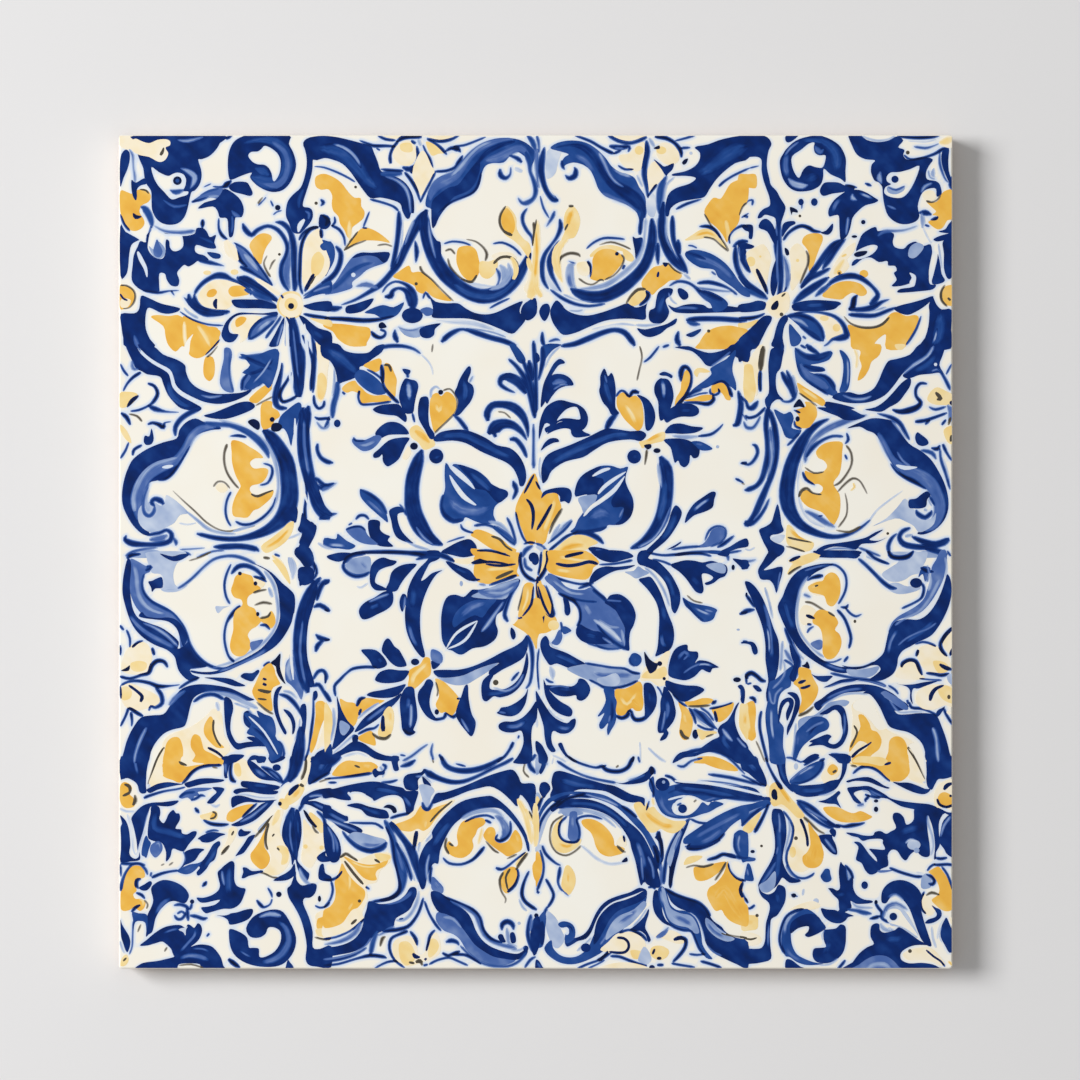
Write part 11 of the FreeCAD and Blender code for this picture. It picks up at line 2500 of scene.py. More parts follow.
# %% Right edge below the middle: bracket and yellow lobes
painting.append("""
gf 139 75, 143.6 75, 145.4 75, 145.2 73.6, 144.6 72.4, 144 71.2, 142.6 70.8, 141.4 70, 140 69.6,
138.4 69.8, 137.2 71, 138.8 72.2, 140.2 73.2, 139.8 74.2
gf 138.2 68.6, 139.4 67.6, 141 67.4, 143 67.8, 144.2 68.4, 143.6 69, 141.8 68.8, 140.2 69.4, 139 69.4
nf 112 73, 112.8 73.2, 113.5 72.6, 112.8 71.9, 112 71.9
ms 112 73.4 .5, 113.4 73.3, 114.6 73.6 .3
nf 117.2 75.2, 119.6 75.2, 118.4 74, 117 72.6, 116 71.7, 117.6 72, 118.6 72.3, 119.4 72.2, 119.3 71,
118.9 69.6, 118.3 67.6, 117.8 69, 117 69.9, 115.6 70, 115.1 70.8, 115 71.8, 115.8 73.2
ls 119 71.4 .3, 118.7 69.8, 118.6 68.2
nf 112.6 69.6, 113.4 69.6, 114.4 68.8, 115.4 67.4, 116.2 65.8, 117 63.6, 117.8 61.2, 118.6 59.2,
118.8 57, 118.7 54.8, 118.3 52.8, 117.6 51, 117 49.4, 116.6 48, 116.4 49.6, 116.8 51.6, 116.6 53.6,
116.3 55.6, 116.3 58, 116 60.4, 115.4 62.6, 114.6 64.6, 113.8 66.6, 113 68.2
mw 116 66 .8, 116.8 63 1, 117.2 59.6 1.1, 117.4 56 1
lw 116.6 61.6 .5, 117 59 .6, 117 56.6
ls 116.2 68.6 .4, 117 65.8, 117.6 63
ks 112.8 67.3 .6, 113.6 66.2, 114.4 65 .5
ns 112 64 .8, 113 64.4, 114.4 64.6 .5
ls 119.4 59 .5, 119.2 56 .6, 118.9 53.6
nf 112 58.8, 113.2 58.9, 114.2 58.7, 114.8 57.8, 114.9 56.8, 114.3 56.5, 113.9 57.2, 113.6 58.2,
112.6 58.5, 112 58.5
ks 113 52.1 .8, 113 52.8, 113.8 53.2, 114.8 52.6 .7, 115.6 51.9, 116.4 51.7
ks 113 51.2 .4, 113.8 51.4
nf 114 50.9, 114.8 51, 115.5 50.4, 115.6 49.9, 114.8 49.9
ks 112 50.6 .5, 112.2 48.6
ks 113.4 48.8 .6, 114.2 48.6, 114.5 47.8
yf 112 47, 113 47.8, 114 48.2, 114.5 47.4, 114.6 45.6, 114.4 43.6, 114.6 41.8, 113.8 41, 112.8 41.8,
112.2 43.4, 112 45
ew 113 46.6 .8, 113.2 44.4 1, 113.4 42.4 .8
nf 112 40.6, 113 39.8, 114 38.6, 114.8 37, 112 37
ks 115.6 46.4 .5, 115.3 45, 115.3 43.2, 115.7 41.2, 116.2 39.2, 116.7 37.2
os 114.6 41 .3, 115.4 39.2, 116.2 37.2
bf 117 51.4, 118 52, 119.2 53, 120.6 54.2, 121.6 54.6, 121.4 53.4, 121 52, 120.8 50.8, 119.8 50.2,
119 49.4, 118.6 48, 118.5 46.4, 118.8 44.6, 119.6 43.4, 119.5 41.6, 119.5 39.8, 119.9 37, 117.3 37,
117 39, 116.8 41.2, 116.4 43.6, 116.3 46, 116.7 48.2
lw 117.4 47 .7, 117.4 44, 117.8 41 .6
ls 117 50 .4, 117.3 48.2, 117.9 47.8, 118.2 49.4, 119.4 50.6
ls 119.6 55.6 .4, 119.8 53.4, 119 51.8, 117.6 50.4
nf 118.6 44, 118.6 46, 119 47.8, 119.8 48.6, 120.8 48.8, 121.4 48.2, 121.3 47, 120.8 45.8, 120.2 44.6,
120 46, 120.6 47.6, 120.2 48, 119.4 47, 119 45.4
nf 120.2 49.6, 121 49.8, 122 49.4, 122.5 48.2, 122.4 46.8, 121.8 45.4, 121.2 44, 120.6 42.8, 120.2 42,
120.2 43.4, 120.9 45, 121.4 46.8, 121.6 48.2, 121 49
ns 119.7 55.6 .5, 120.9 54.8 .4, 121.8 54
ms 119.8 57.4 .7, 120.6 56, 121.4 54.8 .5
nf 120.6 58.4, 121.6 57, 122.2 55.6, 122.4 54.4, 121.9 53, 121.8 52, 121.2 51.6, 120.6 52.6, 121.4 54.6,
120.9 56.4
ns 119.8 61.4 .5, 120.6 59.4 .7, 121.6 57.2, 122.3 55.2 .8, 121.8 53.2, 121.2 51.9
ls 121.2 58.8 .4, 122.2 56.8, 123.2 55.6
kf 122.8 54.5, 123.4 54.8, 123.8 55.3, 124.2 54.6, 124.2 54, 123.4 54.2
nf 124.6 53, 125.4 52.7, 126.8 52.7, 128.4 52.7, 127.8 52, 127.2 51.6, 126.2 51.7, 125.4 52.2
yf 122.4 54.2, 123.2 54.2, 124.4 53.8, 124.6 53, 125.2 51.8, 125.8 50.6, 125.6 49.2, 124.8 47.8,
123.8 46.8, 122.4 45.8, 122.4 46.8, 122.8 48.2, 122.6 49.6, 122.2 50.6, 121.3 51.4, 122.2 52.4,
122.2 53.4
ew 122.8 52.6 .6, 123.4 50.8 .7
ks 122.2 51.4 .5, 122.8 51.6, 123.6 51.9 .3
ks 122.6 50.5 .4, 123.4 50.6, 124.4 51
os 122.2 45.5 .5, 123.8 46.2, 125 47.2 .4
es 120.4 73.4 .6, 122 73.4 1.4, 124 73.8 1.4, 126 74 .8
ef 120.2 71, 121 72.6, 122.6 74, 124.6 74.8, 126.2 74.4, 124.6 73.2, 122.6 72.4, 121.2 71.4
os 120.4 70.9 .4, 121.6 71.8, 122.8 72.4 .3
ks 120.6 73.3 .5, 121.6 73.8, 122.6 74.2 .4
nf 125 75.2, 126.6 74.3, 129 74, 131 73.9, 132.6 73.8, 133.2 74.4, 133 75.2
ns 133 73.8 .6, 134.4 72.6, 136 71, 137.4 69.6 .7, 138.8 68.6, 140 68.4 .4
ls 134.4 74.2 .5, 136 73.6, 138 73
ks 134.4 75.2 .5, 135.8 74, 137.2 73.3, 138.6 72.8 .4
ks 138.4 75.2 .7, 139 74.2 .8, 140.4 73.9, 142 74.2, 143 75.2 .5
nf 118.5 65.2, 119.4 67, 120 68.6, 121 70.4, 122.6 71.8, 124.6 72.5, 126.8 72.9, 128.6 72.8, 127 72.1,
125.2 71.2, 123.6 69.8, 122.6 68.2, 122 66.4, 121.7 64.2, 121.8 62, 122.4 60.2, 123.4 58.6, 124.8 57,
126.4 55.7, 128 54.9, 130 54.3, 131.8 54.1, 131 53.2, 128.8 53.4, 126.6 54.4, 124.4 55.8, 122.4 57.4,
121 59.4, 119.8 61.6, 119 63.4
bw 119.8 66 .9, 120.4 63.6, 121.4 61
mw 127 54.9 .6, 129 54.1, 131 53.7
ls 124 70.6 .5, 122.8 68.8, 122.2 66.6, 121.9 64, 122.2 61.4, 123.2 59.4, 125 57.4, 126.8 56
ls 123.4 71.6 .3, 125.6 72.3, 128 72.6
ks 125.4 71.6 .3, 126.8 72.4, 128.4 72.7 .4, 129.6 72.2, 130.6 71, 130.9 69.4, 130.6 67.8, 129.9 66.4,
129.4 65.6
ks 123.8 69.8 .3, 124.6 70.3 .5, 125.8 70.6 .7, 126.7 70.7
cf 123.8 68.4, 125 69.6, 127 69.8, 127 67.4, 125.2 67.2
yf 127 70.6, 128 71.3, 129 71, 129.7 69.8, 129.8 68, 129.4 66.4, 128.4 65.2, 127.4 65.6, 126.9 67,
125.8 67.4, 124.4 67.8, 124 68.8, 125.6 69.6, 126.6 69.8
ew 124.4 68.6 .7, 126 68.8 .8
os 125.2 68.8 .4, 125.8 69 .3
ms 123.2 67.4 .8, 124.4 66.8 .6
mw 125.6 57.8 1, 126.6 57.6
mf 124.4 58.4, 125.2 59, 126.2 59.2, 126.7 58.6, 126.4 57.6, 125.6 57.4
ns 123.8 60.4 .4, 124.2 61.1, 125 61.6 .3
os 123.4 66 .4, 124.6 65.8, 126 65, 127.2 64.2 .3
cf 122.4 64, 123.2 65.4, 124.8 65, 125.6 63.8, 125 62.4, 123.4 61.8, 122.6 62.4
yf 125 63.6, 126 64.6, 127.6 64.3, 128.8 63.4, 129.4 62.2, 128.8 61, 129.6 60.2, 130 58.8, 129.6 57.2,
128.6 55.9, 127.4 55.7, 126.6 56.8, 126.6 58.8, 126.4 60.6, 125.8 61.6, 124.8 62.2
ks 123.6 63.6 .5, 124.4 63.3, 125.2 63 .3
ks 123.8 62 .5, 124.6 61.9
os 127.6 64.2 .4, 128.8 63.4 .3
ks 129.2 64.6 .5, 130.4 63.2, 131.2 61.4, 131.7 59.4, 131.3 57.6 .4
ks 125.8 55.6 .3, 127 55.2, 128.6 55.2, 130 55.8 .3
ks 130.4 55.2 .5, 131.2 56.2
ks 129.8 65.1 .4, 130.8 65 .5, 131.2 65.6 .3
ks 130.7 64.9 .4, 131.6 63.9, 132.6 63.4, 133.6 63.8 .2
od 132.4 62.5 .25 .3
nf 130 54.6, 131.8 54.3, 133.8 54.4, 135.4 55, 136.8 56, 137.6 57, 138 58.6, 138.4 60.4, 139 61.8,
140 62.6, 141.8 62.9, 143.6 62.8, 145 63.4, 146.2 64.6, 147.2 66.2, 148 68, 148.6 69.8, 149 71,
149.6 70, 149.8 67.8, 149.4 65.6, 148.6 63.6, 147.6 61.8, 146.4 60.2, 145.2 59.4, 143.8 58.8, 142.4 58,
141 57.2, 140.2 56, 140 54.6, 139.4 53.2, 138.2 52.3, 136.8 51.8, 135 52, 136 52.8, 137 53.8,
136.4 54.6, 134.6 54.4, 132.4 53.8
mf 138.4 60.6, 139 62.2, 140.2 63.4, 142 64.4, 143.6 65.4, 144.8 66.6, 145.4 68.2, 146 70.2, 146.2 72.2,
147 73.6, 147.8 75.2, 148.8 75.2, 148.9 73, 148.4 70.4, 147.4 68.2, 146.2 66.2, 144.6 64.4, 142.8 63.4,
140.8 63, 139.4 62.2
ls 139.6 61.8 .4, 141.2 62.9, 143.4 63.9, 145 65.4 .5, 146.4 67.6, 147.6 70
mw 138.4 56.6 .7, 138.8 58.8 .8, 140 61
bw 141.4 58.8 .8, 144 60.4 1, 146.6 62.4
ls 140.2 58.2 .3, 141.6 59.4, 143.6 60.4, 145.6 61.2, 147 62.2
lf 131 54, 132.8 53.8, 135 54.1, 136.8 54.4, 136 53, 134.6 52.4, 133 52.4, 131.2 53
bf 143.8 70.4, 144.4 72.2, 145.2 72.4, 146 72, 145.6 70.8, 145 69.6, 144.6 71
nd 143.4 69.4 1.1 .9
ks 144.2 69.6 .5, 144.8 68.6, 144.6 67.2, 144 66.4 .4, 142.6 65.6, 140.8 64.8
ms 145.2 71.2 .9, 145.4 69.6 .8
ks 144.2 72.2 .5, 145.2 71.6 .6, 146.6 71.4 .4
ls 145.6 68 .5, 146 70, 145.4 72.6 .4
ls 148.6 70.4 .4, 148.9 72.2, 148.6 74
ks 149 75.2 .4, 149.6 74.2
ks 130 54.2 .4, 132 54.1, 134 54.3, 136 55.2 .4
ns 128 53.2 .5, 130.6 52.6, 132.8 52.2, 135 51.9 .6, 136.6 51.4, 138 50.8
nf 126.8 50.6, 128 51.2, 129.8 52, 131.6 52.2, 133.4 52.2, 131.8 51.6, 130 51.4, 128.4 50.8
nf 125 47.6, 126.4 48.6, 128 49.8, 129.8 50.6, 131.8 51.1, 134 51.2, 136.2 50.9, 138 50.2, 139.4 49.4,
140.6 48.4, 141.6 47.8, 142 47, 140.4 46.4, 139.2 46.6, 138.4 47.6, 137.4 48.8, 136.2 49.6, 134.6 49.9,
132.6 49.8, 130.6 49.6, 128.8 48.8, 127 47.6, 125.8 46.4
mw 127 48.4 .6, 129 49.4 .7, 131.6 50.2, 134 50.4
ls 126.4 47.2 .4, 128.2 48.4, 130.2 49.3, 132.6 49.6, 134.6 49.4 .3
ls 127.4 50.6 .3, 130 51.3, 132.6 51.7, 135.2 51.6, 137.4 51, 139.2 50
ks 138.4 51 .4, 139.6 50.2, 140.2 49.4
mf 137 49.4, 138.4 48.4, 139.8 47.4, 141.2 46.6, 142 46.7, 141.6 47.6, 140.4 48.6, 139 49.4, 137.8 50
nf 133.8 49.6, 135 49.4, 136 48.4, 137 46.8, 137.8 45, 138.6 43.6, 140 43, 141.8 42.6, 143.2 41.8,
144.4 40.6, 145 39, 145.3 37, 149.6 37, 149.4 39, 148.8 41.4, 148 43.6, 147.2 45.4, 146 45.9, 144 46,
142 45.8, 140.2 45.8, 139.4 46.6, 138.2 48.2, 137 49.6, 135.4 50.2
bw 146.6 43.4 1.2, 147.2 40.8, 147.6 38.4
ls 146.4 43.4 .7, 147 41.4 .6, 147.2 39, 147.4 37.2 .4
ls 138.6 48.4 .3, 139.6 46.9 .4, 140.6 46.1, 142.6 46.2, 144.8 46.2 .3
ks 142.2 48 .5, 142.6 47, 144.4 46.8, 146 46.2 .4, 147.4 45.4 .6
ks 141.8 48.4 .6, 142 47.6 .5
cf 139.6 52.6, 140.6 54.6, 141.6 55.4, 143 55.4, 143.8 54.4, 144.4 53, 145 52.2, 142.6 52
cf 143.4 57, 144.4 58, 145.8 58.4, 147.2 58, 148.6 56.8, 149.4 55.6, 149.6 54, 148 53.2, 146 53.2,
144.6 54.2, 143.8 55.6
ef 146.4 55.2, 147.6 55.4, 149 54.8, 149.2 53.6, 147.4 53.2
cf 148 59.6, 149 60.8, 150.2 61.4, 150.2 56.4, 149 57, 148.2 58.2
ks 140.8 54.2 .5, 141 55 .6, 142.2 55.6, 143.4 55.3, 144 54, 144.5 52.8 .4
ks 143.4 56.2 .6, 143.8 57.4
ks 143.2 58.4 .3, 144.6 58.8 .4, 146 58.5, 147 58
ks 150 61.4 .6, 148.8 60.2, 147.8 58.6, 148 57.4, 149 56.2 .4
ks 149.5 56.3 .5, 150 57.6 .6
ks 147.6 54.8 .5, 148.6 54.2 .6, 149.8 53.8 .7
ks 145.2 53.2 .5, 146.6 53, 148 52.8 .6, 149.4 53.1 .5
ks 144 52.2 .3, 146 52, 148 51.9 .4
nf 139.8 51.3, 141 51.1, 143 51.2, 145 51.6, 147.4 51.8, 145.4 51, 143.8 50.4, 142.9 50.4, 142.6 49.2,
142.8 47.6, 142.3 48.6, 142.3 50, 141.6 50.8
gf 149 52.8, 150.2 53, 150.2 51, 149.2 51.6
cf 143.6 49.8, 145 50.8, 147 51.2, 149 51, 150.2 50.4, 150.2 47.2, 148.6 47.4, 146.6 46.6, 144.6 46.8,
143.4 48
ef 147.4 50.6, 148.8 51, 150.2 50, 150.2 47.8, 148.6 48.2, 147.6 49.2
ks 145.9 48.2 .6, 146.2 49.4, 147 50.4 .5, 148.4 51 .3
od 149.3 48.9 .3 .4
nf 148.6 47.2, 148.2 46.4, 147.4 45.4, 147 46, 147.4 46.6, 148 46.9
ks 148.3 47 .5, 148.8 45.8, 149.4 44.8, 150.1 43.8
cs 149 46.4 .8, 149.6 45.8
lf 122.2 44.6, 123.6 45.4, 125 45.6, 126.4 46.6, 127.6 47.8, 129 48.2, 130.4 48.4, 131.4 48, 130.6 47.2,
129.2 47.4, 127.4 46.4, 126.4 45.2, 125 44, 123.4 43, 122.4 42.8
nf 126 45.8, 127.2 46.6, 128.6 47.4, 129.8 47.4, 130.6 46.6, 131 45, 131.2 43.4, 131 42, 130.2 40.4,
129 39.6, 127.8 39.7, 126.6 40.2, 125.4 40.2, 124 40, 125.2 40.9, 126.6 41.1, 128 41.7, 127.6 40.8,
128.6 40.4, 129.6 41, 130.2 42.4, 130 44, 129.8 45.6, 128.8 46.6, 127.4 45.8
mw 130.4 46.4 .6, 130.6 44, 130.2 41.8
bf 122 42.8, 123.2 44, 124.6 45.2, 126 45.4, 127.2 45, 127.8 44, 127.4 43, 126 42.4, 124.6 41.4,
123.2 40.2, 122.4 39, 121.8 37.6, 121.2 38, 121.4 40, 121.6 41.6
nw 126.4 44.6 .8, 125 43.4, 123.8 41.8
ls 123.6 42.6 .3, 125.2 43.8 .4, 126.8 44.4
mw 122.2 42 .7, 122 40 .6
ls 121.8 44.2 .4, 121.6 42, 121.4 40, 121 38
nf 124.2 40.9, 125.8 41.6, 127.4 42.2, 128.2 41.7, 126.8 41, 125.4 40.6
nf 127.6 38.6, 129 38.6, 130.6 38.7, 131.8 38, 131.4 37, 129.6 37, 128.8 37.8
nf 123 37.2, 124 38.2, 125.2 38.7, 126 38.4, 125 37.6, 124 37
ks 126 37.4 .5, 127 37.8
ns 120 38 .4, 121 37.9, 121.8 37.4
cf 131.8 47.4, 133.2 48.6, 134.8 48.4, 136 47, 137 45, 138 43.2, 139.8 42.2, 142 41.4, 143.6 40,
144.4 38.2, 144.6 37, 131.8 37, 131.6 39.4, 131.8 42.6, 132 45.4
wf 132 47.6, 133.2 48.6, 134.8 48.4, 136 47, 137 45, 138 43.4, 136.6 43, 135.2 44.6, 133.8 46,
132.4 46.6
yf 133 45.6, 134 45.6, 135 44.2, 135.4 43, 136.4 42.6, 137.2 41.2, 136.8 39.6, 135.6 38.6, 134.4 37.4,
133.6 37, 132 37, 132 38, 133.6 39, 134.8 40.2, 133.4 41, 132.4 40.2, 131.4 39, 131.6 40.6, 132.6 42,
133.4 43.6
ew 134.6 41 .6, 133.2 39.6
ks 131.8 38 .5, 133 39.2 .4, 134.6 40.2 .3, 135.4 40.8 .2
os 132.2 43.8 .3, 132.8 42.6, 132.2 41, 131.6 39.8
yf 138.6 41, 139.6 41.8, 140.8 41.6, 141.6 40.6, 142 38.8, 142.2 37, 138 37, 138.4 39
os 142 40 .4, 142.8 38.6, 143.6 37.2
ks 138 37.1 .4, 138.8 37.3
""")

